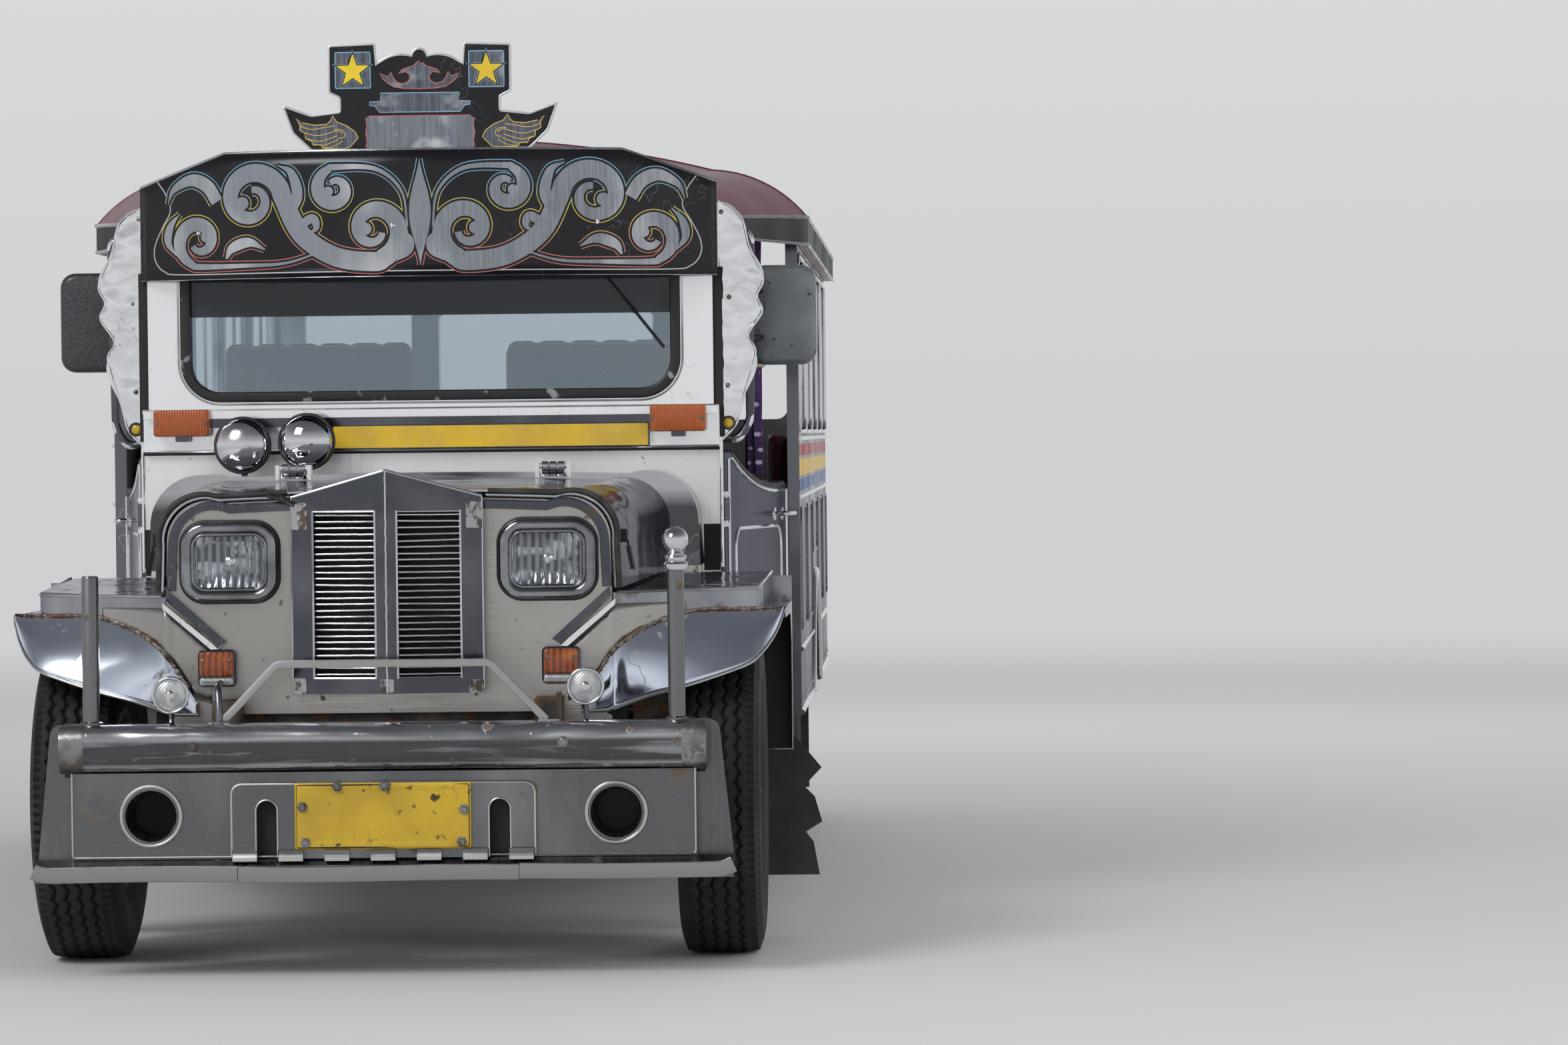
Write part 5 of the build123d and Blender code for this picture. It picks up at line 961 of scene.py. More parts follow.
for x, z, width, height in (
    (-0.198, 0.640, 0.030, 0.036),
    (0.197, 0.637, 0.032, 0.030),
    (-0.196, 1.020, 0.036, 0.060),
    (0.196, 1.020, 0.036, 0.060),
    (0.0, 0.640, 0.030, 0.030),
):
    patch = rounded_outline(width, height, 0.004, 4) + (x, z)
    patch_depth = shell_depth(patch[:, 0])
    patch_parts.append(board(patch, patch_depth - 0.0022, patch_depth + 0.001, 0.0005))
patch_steel = finish_of("patch_steel", (0.45, 0.45, 0.46), 0.3, 1.0, [
    patchy((0.16, 0.13, 0.11), 0.7, 45.0, 0.3, 0.1, bump=0.0006),
], (25.0, 0.006))
make_piece("grille_patches", patch_parts, patch_steel)
slat_random = np.random.default_rng(5)
slat_nose = np.column_stack([0.0023 * np.sin(bead_turn) + 0.0010, -0.0023 * np.cos(bead_turn)])[::-1]
slat_section = np.concatenate([slat_nose, [(-0.014, -0.0055), (-0.014, -0.0043)]])
slat_parts = []
for side in (-1, 1):
    for index in range(26):
        x = side * np.linspace(0.0275, 0.1625, 10)[:, None]
        tilt = slat_random.normal(0, 0.0006, 2)
        uneven = np.linspace(tilt[0], tilt[1], 10) + slat_random.normal(0, 0.00015, 10)
        z = 0.659 + (index + 0.5) * 0.0142 + uneven[:, None]
        depth = shell_depth(x) + 0.009 - slat_section[:, 0]
        slat_parts.append(block(seen_from_side(depth, z + slat_section[:, 1], x)))
slat_chrome = finish_of("slat_chrome", (0.80, 0.80, 0.82), 0.16, 1.0, [
    patchy((0.30, 0.29, 0.28), 0.5, 22.0, 0.35, 0.25, (0.6, 1, 1)),
])
make_piece("grille_slat_banks", slat_parts, slat_chrome, stands_for=["grille_slats"])
dress(soot_black, "radiator")

# Hood: an arched shell of mirror-polished stainless with a black rubber edging at
# its front, two hinges of three knuckles, a draw spring each side, and a worn strap.
hood_mirror = finish_of("hood_mirror", (0.52, 0.52, 0.54), 0.06, 1.0, [
    patchy(None, 0.2, 2.0, 0.45, 0.4),
    # Painted reflection: the belt darkens the shell's sides below its crown, and the scuttle and firewall
    # ring that share this finish.
    dict(effect="belt", colour=(0.10, 0.10, 0.11), Low=0.80, High=1.066, Soft=0.045),
    patchy((0.36, 0.36, 0.38), 0.12, 3.0, 0.06, 0.2, (1, 0.5, 3)),
    scratched((0.5, 0.5, 0.5), 0.35, 6.0, 0.006),
], (2.2, 0.010, (1, 1.4, 1)), Specular_Tint=(0.45, 0.46, 0.50, 1))
hands = (("left", 1), ("right", -1))
hood_front = (0.520, 0.853, 0.954, 1.077, 0.132)
hood_rear = (0.593, 0.872, 0.966, 1.096, 0.152)
hood_start, hood_end = 0.213, 1.140
rearward = np.linspace(0, 1, 60)[:, None, None]
swage_fade = np.clip(6 * np.minimum(rearward, 1 - rearward)[..., 0], 0, 1)
hood_skin = []
for inset in (0.0, 0.004):
    front_arch = arch_line(*hood_front, inset)
    skin = front_arch + rearward * (arch_line(*hood_rear, inset) - front_arch)
    swage = np.exp(-(((np.abs(skin[..., 0]) - 0.30) / 0.016) ** 2)) * swage_fade
    skin[..., 1] += 0.0035 * swage * (skin[..., 1] > 1.0)
    hood_skin.append(skin)
hood_skin = np.concatenate([hood_skin[0], hood_skin[1][:, ::-1]], axis=1)
hood_depth = hood_start + rearward[..., 0] * (hood_end - hood_start)
hood_shell = block(seen_from_front(hood_skin[..., 0], hood_skin[..., 1], hood_depth))
make_piece("hood_shell", hood_shell, hood_mirror, "hood_body", ["hood"])
edging_line = arch_line(*hood_front, 0.002)
lining_line = arch_line(*hood_front, 0.0105)
for word, side in hands:
    keep = edging_line[:, 0] * side > 0.222
    edging = beading(edging_line[keep], 0.2125, 0.0065, 12)
    make_piece("hood_edging_" + word, edging, black_rubber, "hood_body")
    make_piece("hood_lip_" + word, beading(lining_line[keep], 0.2145, 0.0042, 10), edge_polish, "hood_body")
hinge_x = 0.312
leaf_line = bent([(1.052, 1.0965), (1.112, 1.0985), (1.134, 1.1105), (1.139, 1.1190)], 0.007)
leaf_screw = [(0.0, 0.0048), (0.0018, 0.0042), (0.0028, 0.0022)]
hinge_parts = []
for side in (-1, 1):
    for start in (-0.028, -0.009, 0.0105):
        knuckle = np.array([(0, 0.0085), (0.0015, 0.0108), (0.0160, 0.0108), (0.0175, 0.0085)]) + (start, 0)
        hinge_parts.append(turned(knuckle, at(side * hinge_x, 1.145, 1.122), leftwards, 24))
    leaf_path = seen_from_side(leaf_line[:, 0], leaf_line[:, 1], side * hinge_x)
    hinge_parts.append(swept(leaf_path, rounded_outline(0.054, 0.0035, 0.001, 3)))
    for x in (-0.018, 0.018):
        for depth in (1.066, 1.098):
            hinge_parts.append(turned(leaf_screw, at(side * hinge_x + x, depth, 1.0995), upwards, 12))
make_piece("hood_hinges", hinge_parts, edge_polish, "hood_body")


def hood_spring(side):
    """A draw spring, its hook on the hood and the hook's plate."""
    turn = np.linspace(0, 11 * 2 * np.pi, 11 * 10)
    along = np.linspace(0, 1, len(turn))
    coil_x = side * (0.536 + 0.010 * along) + 0.0055 * np.cos(turn)
    coil = seen_from_front(coil_x, 0.944 - 0.052 * along, 0.262 + 0.0055 * np.sin(turn))
    hook = [(side * 0.521, 0.262, 0.962), (side * 0.535, 0.262, 0.960), (side * 0.5365, 0.262, 0.942)]
    hook_plate = rounded_outline(0.020, 0.030, 0.003) + (side * 0.524, 0.968)
    hook = pipe(placed(bent(hook, 0.006)), 0.0025, 8, rearwards)
    return [pipe(coil, 0.0013, 6), hook, board(hook_plate, 0.250, 0.274)]


make_piece("hood_springs", both_sides(hood_spring), soot_black, "hood_body")
strap = [(-0.262, 0.208, 1.068), (-0.240, 0.196, 1.062), (-0.222, 0.190, 1.054), (-0.205, 0.186, 1.046)]
strap = bent(strap, 0.006)
strap_random = np.random.default_rng(8)
strap_rows = np.repeat(rounded_outline(0.030, 0.012, 0.004, 7)[None], len(strap), axis=0)
strap_rows = strap_rows * (1 + strap_random.normal(0, 0.10, strap_rows.shape[:2]))[..., None]
make_piece("hood_strap", swept(placed(strap), strap_rows), black_rubber, sharp=70)

# Front fenders: polished sheet with a flat top, a rusty weld below the band, and a
# flare rolled over a wire along its lower edge.
# Painted reflection: the flare's pale blue base stands for the sky it mirrors.
fender_mirror = finish_of("fender_mirror", (0.76, 0.82, 0.94), 0.10, 1.0, [
    patchy(None, 0.24, 2.5, 0.5, 0.4),
    scratched((0.4, 0.4, 0.42), 0.4, 6.0, 0.008),
    patchy((0.22, 0.17, 0.13), 0.7, 24.0, -0.05, 0.1, metal=0.4),
], (2.6, 0.010))
fender_top = finish_of("fender_top", (0.40, 0.41, 0.44), 0.12, 1.0, [
    patchy((0.22, 0.225, 0.24), 0.2, 3.0, 0.5, 0.3, (2, 1, 1)),
    scratched((0.5, 0.5, 0.52), 0.4, 7.0, 0.008),
    patchy((0.20, 0.16, 0.13), 0.7, 20.0, 0.0, 0.1, metal=0.4),
], (4.0, 0.014), Specular_Tint=(0.55, 0.56, 0.60, 1))
weld_rust = finish_of("weld_rust", (0.15, 0.085, 0.05), 0.8, 0.3, [
    patchy((0.34, 0.30, 0.27), 0.5, 60.0, 0.35, 0.1, metal=0.8, bump=0.0008),
])
skirt_x, skirt_low = 0.883, 0.442
under_z = 0.796


def seen_from_above(x, depth, z):
    """An X and a depth at a height."""
    return np.stack(np.broadcast_arrays(x, y_of(depth), z), axis=-1)


def fender_height(depth):
    """The height of a fender's flat top, which rises rearwards."""
    return 0.842 + (np.asarray(depth) - 0.221) * 0.0293


wall_line = bent([(0.504, 0.2230), (0.822, 0.4580), (0.836, 1.0400)], 0.012)
top_line = np.concatenate([[(0.440, 0.2245), (0.503, 0.2245)], wall_line, [(0.440, 1.0400)]])
flange_line = np.array([(0.782, 0.458), (0.875, 0.458), (skirt_x, 1.040), (under_z, 1.040)])
skirt_line = np.array([
    (0.458, under_z), (0.458, 0.774), (0.920, 0.770), (1.000, 0.692),
    (1.010, skirt_low), (1.042, skirt_low), (1.042, under_z),
])
back_line = np.array([(0.703, skirt_low), (skirt_x, skirt_low), (skirt_x, 0.856), (0.703, 0.856)])
inner_line = np.array([(0.2245, 0.600), (1.139, 0.600), (1.139, 0.836), (0.2245, 0.836)])
liner_line = back_line + ((0, 0.002), (-0.003, 0.002), (-0.003, -0.062), (0, -0.062))
for word, side in hands:
    top_z = fender_height(top_line[:, 1])
    wall_z = 0.794 + (fender_height(wall_line[:, 1:]) - 0.001 - 0.794) * np.linspace(0, 1, 5)
    outer = seen_from_above(side * wall_line[:, :1], wall_line[:, 1:], wall_z)
    inner = seen_from_above(side * (wall_line[:, :1] - 0.0020), wall_line[:, 1:] + 0.0015, wall_z)
    make_piece("fender_sheet_" + word, [
        board(top_line * (side, 1), top_z, top_z - 0.0025, 0.0008, seen_from_above),
        block(np.concatenate([outer, inner[:, ::-1]], axis=1)),
        board(flange_line * (side, 1), 0.7955, 0.7890, 0.0008, seen_from_above),
        board(skirt_line, side * skirt_x, side * (skirt_x - 0.002), 0.0006, seen_from_side),
        board(back_line * (side, 1), 1.0400, 1.0420, 0.0006),
        board(inner_line, side * 0.440, side * 0.432, 0.0010, seen_from_side),
    ], fender_top, stands_for=["fender_" + word])
    liner = board(liner_line * (side, 1), 1.0372, 1.0392, 0.0004)
    make_piece("fender_liner_" + word, liner, soot_black)
flare_table = np.array([  # x, upper depth, upper z, lower depth, lower z
    (0.430, 0.213, 0.600, 0.210, 0.577),
    (0.483, 0.213, 0.686, 0.211, 0.578),
    (0.500, 0.213, 0.707, 0.213, 0.582),
    (0.514, 0.225, 0.724, 0.220, 0.585),
    (0.579, 0.281, 0.766, 0.234, 0.608),
    (0.675, 0.351, 0.796, 0.258, 0.633),
    (0.790, 0.430, 0.796, 0.300, 0.671),
    (0.828, 0.453, 0.796, 0.336, 0.697),
    (0.856, 0.456, 0.796, 0.392, 0.734),
    (0.872, 0.458, 0.796, 0.434, 0.770),
    (0.878, 0.459, 0.796, 0.456, 0.792),
])


def through(points, steps):
    """A smooth line through points: each run is a cubic whose slopes at its ends point from the
    point before to the point after."""
    points = np.asarray(points, float)
    padded = np.concatenate([2 * points[:1] - points[1:2], points, 2 * points[-1:] - points[-2:-1]])
    a, b, c, d = (padded[start : len(padded) - 3 + start, None] for start in range(4))
    share = np.linspace(0, 1, steps, endpoint=False)[None, :, None]
    bend = (2 * a - 5 * b + 4 * c - d) * share**2 + (3 * b - a - 3 * c + d) * share**3
    runs = 0.5 * (2 * b + (c - a) * share + bend)
    return np.concatenate([runs.reshape(-1, points.shape[1]), points[-1:]])


flare_rows = through(flare_table, 7)
flare_x, upper_depth, upper_z, lower_depth, lower_z = flare_rows.T[..., None]
down = np.linspace(0, 1, 15)[None, :]
flare_bow = 0.014 * np.sin(np.pi * down) * np.clip((flare_x - 0.43) / 0.1, 0, 1)
flare_depth = upper_depth * (1 - down) + lower_depth * down - flare_bow - 0.003
flare_z = upper_z * (1 - down) + lower_z * down + 0.35 * flare_bow
weld_random = np.random.default_rng(3)
for word, side in hands:
    flare = sheet(seen_from_front(side * flare_x, flare_z, flare_depth))
    give_wall(make_piece("fender_flare_" + word, flare, fender_mirror), 0.002)
    rolled = seen_from_front(side * flare_rows[:, 0], flare_z[:, -1], flare_depth[:, -1])
    make_piece("fender_wire_" + word, pipe(rolled, 0.0042, 10), edge_polish)
    seam = seen_from_front(side * flare_rows[:, 0], flare_rows[:, 2], flare_rows[:, 1] - 0.004)
    seam = through(seam[::2], 6)[8:]
    shoulder_x = np.linspace(0.400, 0.662, 36)[:, None]
    shoulder_low = np.interp(shoulder_x, (0.400, *flare_rows[1:, 0]), (0.600, *flare_rows[1:, 2]))
    shoulder_high = np.interp(shoulder_x, (0.400, 0.508, 0.509), (0.7235, 0.8165, 0.8165))
    shoulder_z = shoulder_low + (shoulder_high - shoulder_low) * np.linspace(0, 1, 6)
    wall_depth = np.interp(shoulder_x, (0.400, 0.500, 0.514, 0.822), (0.2192, 0.2190, 0.2265, 0.4560))
    weld_depth = np.interp(shoulder_x, (0.400, *flare_rows[14:, 0]), (0.3, *flare_rows[14:, 1]))
    shoulder_depth = np.minimum(wall_depth, weld_depth) - 0.0012
    shoulder = sheet(seen_from_front(side * shoulder_x, shoulder_z, shoulder_depth))
    give_wall(make_piece("fender_shoulder_" + word, shoulder, nose_steel), 0.0015)
    edge = bent([(0.512, 0.2265, 0.8425), (0.822, 0.4570, 0.8425), (0.836, 1.0380, 0.8665)], 0.012)
    make_piece("fender_edge_" + word, pipe(placed(edge * (side, 1, 1)), 0.0034, 10), edge_polish)
    beads = rounded_outline(0.012, 0.007, 0.003, 4)[None] * weld_random.uniform(0.45, 1.5, (len(seam), 1, 1))
    make_piece("fender_weld_" + word, swept(seam, beads), weld_rust, sharp=80)

# Mud flaps: black rubber sheet behind each wheel, the front pair with clawed outer
# edges, all hung by a row of three bolts.
flap_rubber = finish_of("flap_rubber", (0.016, 0.016, 0.017), 0.6, 0.0, [
    dusty(road_dirt, 0.95, 0.5, 0.5),
    scratched((0.07, 0.065, 0.06), 0.8, 9.0, 0.01),
], (6.0, 0.01))
dress(flap_rubber, "mud_flaps")
flap_bolt = [(0.0, 0.011), (0.004, 0.011), (0.004, 0.008), (0.009, 0.008), (0.010, 0.006)]
make_piece("mud_flap_bolts", both_sides(lambda side: [
    *(turned(flap_bolt, at(side * x, 1.150, 0.486), forwards, 12) for x in (0.730, 0.790, 0.850)),
    *(turned(flap_bolt, at(side * x, 4.401, 0.600), rearwards, 12) for x in (0.680, 0.750, 0.810)),
]), dull_cap)

# Cowl and windscreen: pale brushed sheet below, a bright polished panel above
# with a black rubber seal round its window, and a rail that carries a route strip.
brushed = finish_of("brushed_stainless", (0.93, 0.92, 0.905), 0.28, 0.75, [
    patchy(None, 0.42, 3.0, 0.5, 0.3, (110, 2, 2), bump=0.00008),
    patchy((0.74, 0.725, 0.70), 0.5, 3.0, 0.3, 0.3),
    patchy((0.24, 0.17, 0.11), 0.7, 30.0, -0.08, 0.07, metal=0.4),
], (2.6, 0.006))
dress(brushed, "cowl")
bright_steel = finish_of("bright_steel", (0.95, 0.955, 0.97), 0.10, 0.75, [
    patchy(None, 0.22, 2.2, 0.4, 0.4),
    scratched((0.6, 0.6, 0.62), 0.35, 7.0, 0.005),
], (2.0, 0.004))
dress(bright_steel, "windscreen_frame")
window_z = 1.492
window_line = rounded_outline(1.196, 0.392, 0.086, 14) + (0, window_z)
panel_line = rounded_outline(1.3790, 0.4300, 0.004, 14) + (0, 1.4812)
panel_rings = ((panel_line, 1.3815), (panel_line, 1.3800), (window_line, 1.3800), (window_line, 1.3815))
panel_points = np.stack([front_line(line, depth) for line, depth in panel_rings])
panel_faces = grid_faces(4, len(window_line), True, True)
make_piece("windscreen_frame_sheet", (panel_points, panel_faces), bright_steel)
scuttle_arch = (0.661, 0.880, 0.975, 1.108, 0.170)
scuttle_outer = arch_line(*scuttle_arch, -0.0012)
scuttle_ring = np.concatenate([scuttle_outer, arch_line(*scuttle_arch, 0.0004)[::-1]])
scuttle_skin = block(front_line(scuttle_ring, np.linspace(1.151, 1.389, 10)[:, None]))
make_piece("scuttle_skin", scuttle_skin, hood_mirror)
ring_inner = arch_line(0.560, 0.880, 0.966, 1.070, 0.140, 0.0)
ring_rows = ((scuttle_outer, 1.1495), (scuttle_outer, 1.1475), (ring_inner, 1.1475), (ring_inner, 1.1495))
firewall_ring = block(np.stack([front_line(line, depth) for line, depth in ring_rows], axis=1))
make_piece("firewall_face", firewall_ring, hood_mirror)
# Painted shade: black boards on each side, low on the cowl's outer edge and in a strip between the frame and
# the wing, stand for shade there.
painted_shade_boards = both_sides(lambda side: [
    board(np.array([(near, low), (far, low), (far, high), (near, high)]) * (side, 1), 1.3875, 1.3895, 0.0004)
    for low, high, near, far in ((0.862, 0.975, 0.662, 0.7025), (1.190, 1.600, 0.690, 0.7125))
])
make_piece("cowl_painted_shade", painted_shade_boards, soot_black)
cowl_edge = np.linspace((0.7065, 0.870), (0.7065, 1.186), 12)
edge_beads = both_sides(lambda side: beading(cowl_edge * (side, 1), 1.3880, 0.0042, 10))
make_piece("cowl_edge_beads", edge_beads, mirror_steel)
# Painted reflection: the glass's blue-grey colour, given partly as metal, is part tint and part a painted
# bluish reflection that veils the cab behind.
tint_and_reflection_blue = (0.60, 0.69, 0.76)
windscreen_tint_and_reflection = finish_of("windscreen_tint_and_reflection", tint_and_reflection_blue, 0.02, 0.26, Transmission_Weight=1.0, IOR=1.2)
dress(windscreen_tint_and_reflection, "windscreen_glass")
worn_seal = finish_of("worn_seal", (0.012, 0.012, 0.013), 0.38, 0.0, [
    patchy((0.26, 0.26, 0.255), 0.8, 38.0, 0.02, 0.05, (0.5, 1, 0.5), bump=0.0008),
])
window_seal = moulding(window_line, 1.3845, rounded_outline(0.026, 0.016, 0.006, 5), True)
make_piece("windscreen_seal", window_seal, worn_seal)
lip_line = rounded_outline(1.230, 0.426, 0.103, 14) + (0, window_z)
window_lip = moulding(lip_line, 1.3790, rounded_outline(0.005, 0.004, 0.0015, 3), True)
make_piece("windscreen_lip", window_lip, edge_polish)
rail_line = np.array([(-0.701, 0), (0.701, 0), (0.701, 1), (-0.701, 1)])
rail_cover = board(rail_line * (1, 0.0195) + (0, 1.2440), 1.3615, 1.3635, 0.0004)
# Painted shade: the dark band below the rail cover stands for the shaded underside of the fold along the
# rail.
rail_fold_shade = board(rail_line * (0.93, 0.0220) + (0, 1.2220), 1.3620, 1.3635, 0.0004)
make_piece("rail_cover", rail_cover, bright_steel)
make_piece("rail_fold_shade", rail_fold_shade, smoke_polish)


def rail_bead(z, depth, radius):
    """A bead across the cowl."""
    return beading(np.linspace((-0.702, z), (0.702, z), 24), depth, radius)


rail_beads = [rail_bead(1.1655, 1.3655, 0.0035), rail_bead(1.2645, 1.3655, 0.0028)]
make_piece("rail_beads", rail_beads, edge_polish)
make_piece("rail_gasket", rail_bead(1.1600, 1.3890, 0.0045), black_rubber)
strip_yellow = finish_of("strip_yellow", (0.72, 0.47, 0.030), 0.38, 0.0, [
    patchy((0.55, 0.36, 0.05), 0.6, 8.0, 0.4, 0.3),
    patchy((0.75, 0.74, 0.70), 0.3, 60.0, -0.13, 0.02, metal=0.7),
    scratched((0.45, 0.32, 0.08), 0.6, 11.0, 0.004, (0.3, 1, 1)),
])
strip_place = (0.1465, 1.1955)
strip_face = board(rounded_outline(0.767, 0.053, 0.004, 4) + strip_place, 1.3545, 1.3575, 0.0005)
make_piece("route_strip", strip_face, strip_yellow)
strip_backing = board(rounded_outline(0.775, 0.058, 0.004, 4) + strip_place, 1.3575, 1.3825)
make_piece("route_strip_backing", strip_backing, smoke_polish)
# Painted shade: a dark half-clear sheet over the upper windscreen stands for the shade under the sign board
# and the dark cab behind the glass.
painted_shade_film = finish_of("painted_shade_film", (0.05, 0.06, 0.075), 0.05, 0.0, [
    patchy(None, 0.12, 6.0, 0.3, 0.3),
], Transmission_Weight=0.5)
film_line = np.array([(-0.613, window_z), (0.613, window_z), (0.613, 1.640), (-0.613, 1.640)])
make_piece("windscreen_painted_shade", board(film_line, 1.3968, 1.3976, 0.0002), painted_shade_film)

# Wiper: one thin arm of black steel on a round boss, from under the board down to a
# blade on the glass.
blade_line = np.linspace((0.478, 1.3915, 1.5235), (0.5695, 1.3915, 1.4065), 14)
arm_line = bent([(0.404, 1.378, 1.6150), (0.420, 1.376, 1.5950), (0.4985, 1.386, 1.4975)], 0.012)
wiper_black = stained("wiper_black", (0.010, 0.010, 0.011), 0.35, 0.3, 0.6)
make_piece("wiper", [
    pipe(placed(arm_line), 0.0032, 10, rearwards),
    swept(placed(blade_line), rounded_outline(0.0075, 0.0095, 0.002, 3), rearwards),
    turned([(0.0, 0.011), (0.014, 0.011), (0.018, 0.007)], at(0.404, 1.389, 1.618), steps=20),
    turned([(-0.006, 0.006), (0.006, 0.006)], at(0.4985, 1.3865, 1.4975), (0.8, 0, 0.6), 14),
], wiper_black)

# Sign board: black film on a bowed polished sheet, cut away to bare brushed metal
# in a mirrored pattern of scrolls, each scroll lined in blue, yellow and red.
visor_bow = 1.1894
visor_foot = 1.5815
visor_ends = ((-0.703, 1.808), (-0.480, 1.884), (0.480, 1.884), (0.703, 1.808))


def visor_depth(x):
    """The depth of the sign board's bowed face at an X."""
    return 1.140 + visor_bow - np.sqrt(visor_bow**2 - np.asarray(x) ** 2)


def visor_top(x):
    """The height of the sign board's top edge at an X."""
    return np.interp(x, *np.array(visor_ends).T)


def on_visor(x, z, lift):
    """A point in front of the sign board's face."""
    return seen_from_front(x, z, visor_depth(x) - lift)


def stroke(line, widths, lift, thickness=0.0005, place=on_visor):
    """A flat band along a line of X and Z with a width at each point, laid on a face."""
    line = np.asarray(line, float)
    run = unit(np.gradient(line, axis=0))
    across = np.column_stack([-run[:, 1], run[:, 0]])
    share = np.linspace(-0.5, 0.5, 5)
    spread = line[:, None, :] + across[:, None, :] * np.asarray(widths)[:, None, None] * share[None, :, None]
    front = place(spread[..., 0], spread[..., 1], lift)
    back = place(spread[..., 0], spread[..., 1], lift - thickness)[:, ::-1]
    return block(np.concatenate([front, back], axis=1))


def volute(centre, outer, inner, start, turns):
    """Points of a spiral about a centre, from its outer radius to its inner one."""
    share = np.linspace(0, 1, 22)[:, None]
    angle = np.radians(start) + 2 * np.pi * turns * share
    radius = outer + (inner - outer) * share**0.8
    return np.asarray(centre) + radius * np.column_stack([np.cos(angle), np.sin(angle)])


def swelling(count, start, middle, end, peak):
    """Widths that go from start over middle to end, smoothly."""
    share = np.linspace(0, 1, count)
    rise = np.sin(np.pi / 2 * np.clip(share / peak, 0, 1)) ** 1.4
    fall = np.sin(np.pi / 2 * np.clip((1 - share) / (1 - peak), 0, 1)) ** 1.4
    return np.where(share < peak, start + (middle - start) * rise, end + (middle - end) * fall)


first_volute = volute((0.112, 1.692), 0.076, 0.022, 270, -1.2)[::-1]
second_volute = volute((0.412, 1.770), 0.080, 0.024, 180, -1.25)
third_volute = volute((0.548, 1.674), 0.062, 0.020, 270, 1.15)
fourth_volute = volute((0.206, 1.792), 0.052, 0.017, 90, -1.1)
scroll_lines = [  # points, then width at the start, the middle and the end, and where the middle is
    ([*first_volute, (0.205, 1.629), (0.288, 1.684), *second_volute], (0.016, 0.046, 0.016, 0.5)),
    ([(0.246, 1.640), (0.33, 1.616), (0.44, 1.612), *third_volute], (0.004, 0.034, 0.014, 0.4)),
    ([(0.030, 1.700), (0.044, 1.785), (0.105, 1.838), *fourth_volute], (0.004, 0.034, 0.013, 0.4)),
    (
        [(0.500, 1.768), (0.525, 1.806), (0.566, 1.822), (0.612, 1.800), (0.628, 1.765)],
        (0.030, 0.032, 0.002, 0.3),
    ),
    ([(0.300, 1.700), (0.262, 1.722), (0.252, 1.700), (0.268, 1.686)], (0.020, 0.022, 0.004, 0.3)),
    ([(0.322, 1.728), (0.298, 1.775), (0.312, 1.832), (0.346, 1.852)], (0.018, 0.026, 0.002, 0.4)),
    ([(0.380, 1.650), (0.420, 1.668), (0.462, 1.655), (0.478, 1.630)], (0.004, 0.026, 0.006, 0.5)),
    ([(0.058, 1.618), (0.030, 1.640), (0.026, 1.668), (0.040, 1.690)], (0.004, 0.022, 0.003, 0.5)),
    ([(0.606, 1.640), (0.628, 1.672), (0.622, 1.712), (0.596, 1.742)], (0.003, 0.020, 0.002, 0.5)),
]
scroll_ends = ((0.132, 1.695, 0.015), (0.436, 1.762, 0.016), (0.530, 1.684, 0.013), (0.222, 1.786, 0.012))
spine = np.linspace((0, 1.606), (0, 1.862), 25)
spine_widths = 0.052 * np.sin(np.linspace(0.06, np.pi - 0.06, 25)) ** 1.6


def scrolls(lift, extra):
    """All the scrolls, their round ends and the spine between them, drawn wider by extra."""
    parts = [stroke(spine, spine_widths + extra, lift)]
    for side in (-1, 1):
        for line, widths in scroll_lines:
            line = through(line, 6) * (side, 1)
            parts.append(stroke(line, swelling(len(line), *widths) + extra, lift))
        for x, z, radius in scroll_ends:
            share = np.linspace(-1, 1, 15)
            radius = radius + extra / 2
            disc = np.column_stack([np.full(15, side * x), z + radius * share])
            parts.append(stroke(disc, 2 * radius * np.sqrt(1.0001 - share**2), lift + 0.0001))
    return parts


def banded_finish(name, low, high, colours, rough, metal):
    """A finish whose colour changes with height between low and high."""
    material = finish_of(name, colours[0], rough, metal)
    tree = material.node_tree
    ramp = add_node(tree, "ValToRGB", {0: ranged(tree, parted(tree, place_in(tree))[2], low, high)})
    ramp.color_ramp.elements[0].color = (*colours[0], 1)
    ramp.color_ramp.elements[1].color = (*colours[-1], 1)
    for index, colour in enumerate(colours[1:-1], 1):
        ramp.color_ramp.elements.new(index / (len(colours) - 1)).color = (*colour, 1)
    tree.links.new(ramp.outputs[0], tree.nodes["Principled BSDF"].inputs["Base Color"])
    return material


film_black = finish_of("film_black", (0.007, 0.007, 0.009), 0.22, 0.0, [
    patchy((0.015, 0.015, 0.018), 0.34, 5.0, 0.45, 0.4),
    scratched((0.10, 0.10, 0.11), 0.5, 10.0, 0.005),
], Specular_IOR_Level=0.35)
dress(film_black, "sign_visor", "sign_crest")
bared_metal = finish_of("bared_metal", (0.36, 0.38, 0.42), 0.20, 1.0, [
    patchy((0.26, 0.275, 0.31), 0.38, 2.2, 0.5, 0.3, (90, 1, 4), bump=0.00006),
    patchy((0.85, 0.85, 0.86), 0.10, 5.0, 0.30, 0.25, (1, 1, 0.5)),
], (4.0, 0.008, (1, 1, 0.4)))
red, orange, yellow = (0.55, 0.14, 0.12), (0.52, 0.20, 0.14), (0.60, 0.50, 0.06)
olive, blue, pale_blue = (0.50, 0.46, 0.10), (0.16, 0.34, 0.48), (0.18, 0.38, 0.55)
lining_colours = (red, orange, yellow, olive, blue, pale_blue)
lining_paint = banded_finish("lining_paint", 1.61, 1.86, lining_colours, 0.35, 0.0)
silver_line = stained("silver_line", (0.62, 0.63, 0.64), 0.3, 1.0, 0.5)
face_x = np.linspace(-0.7025, 0.7025, 81)
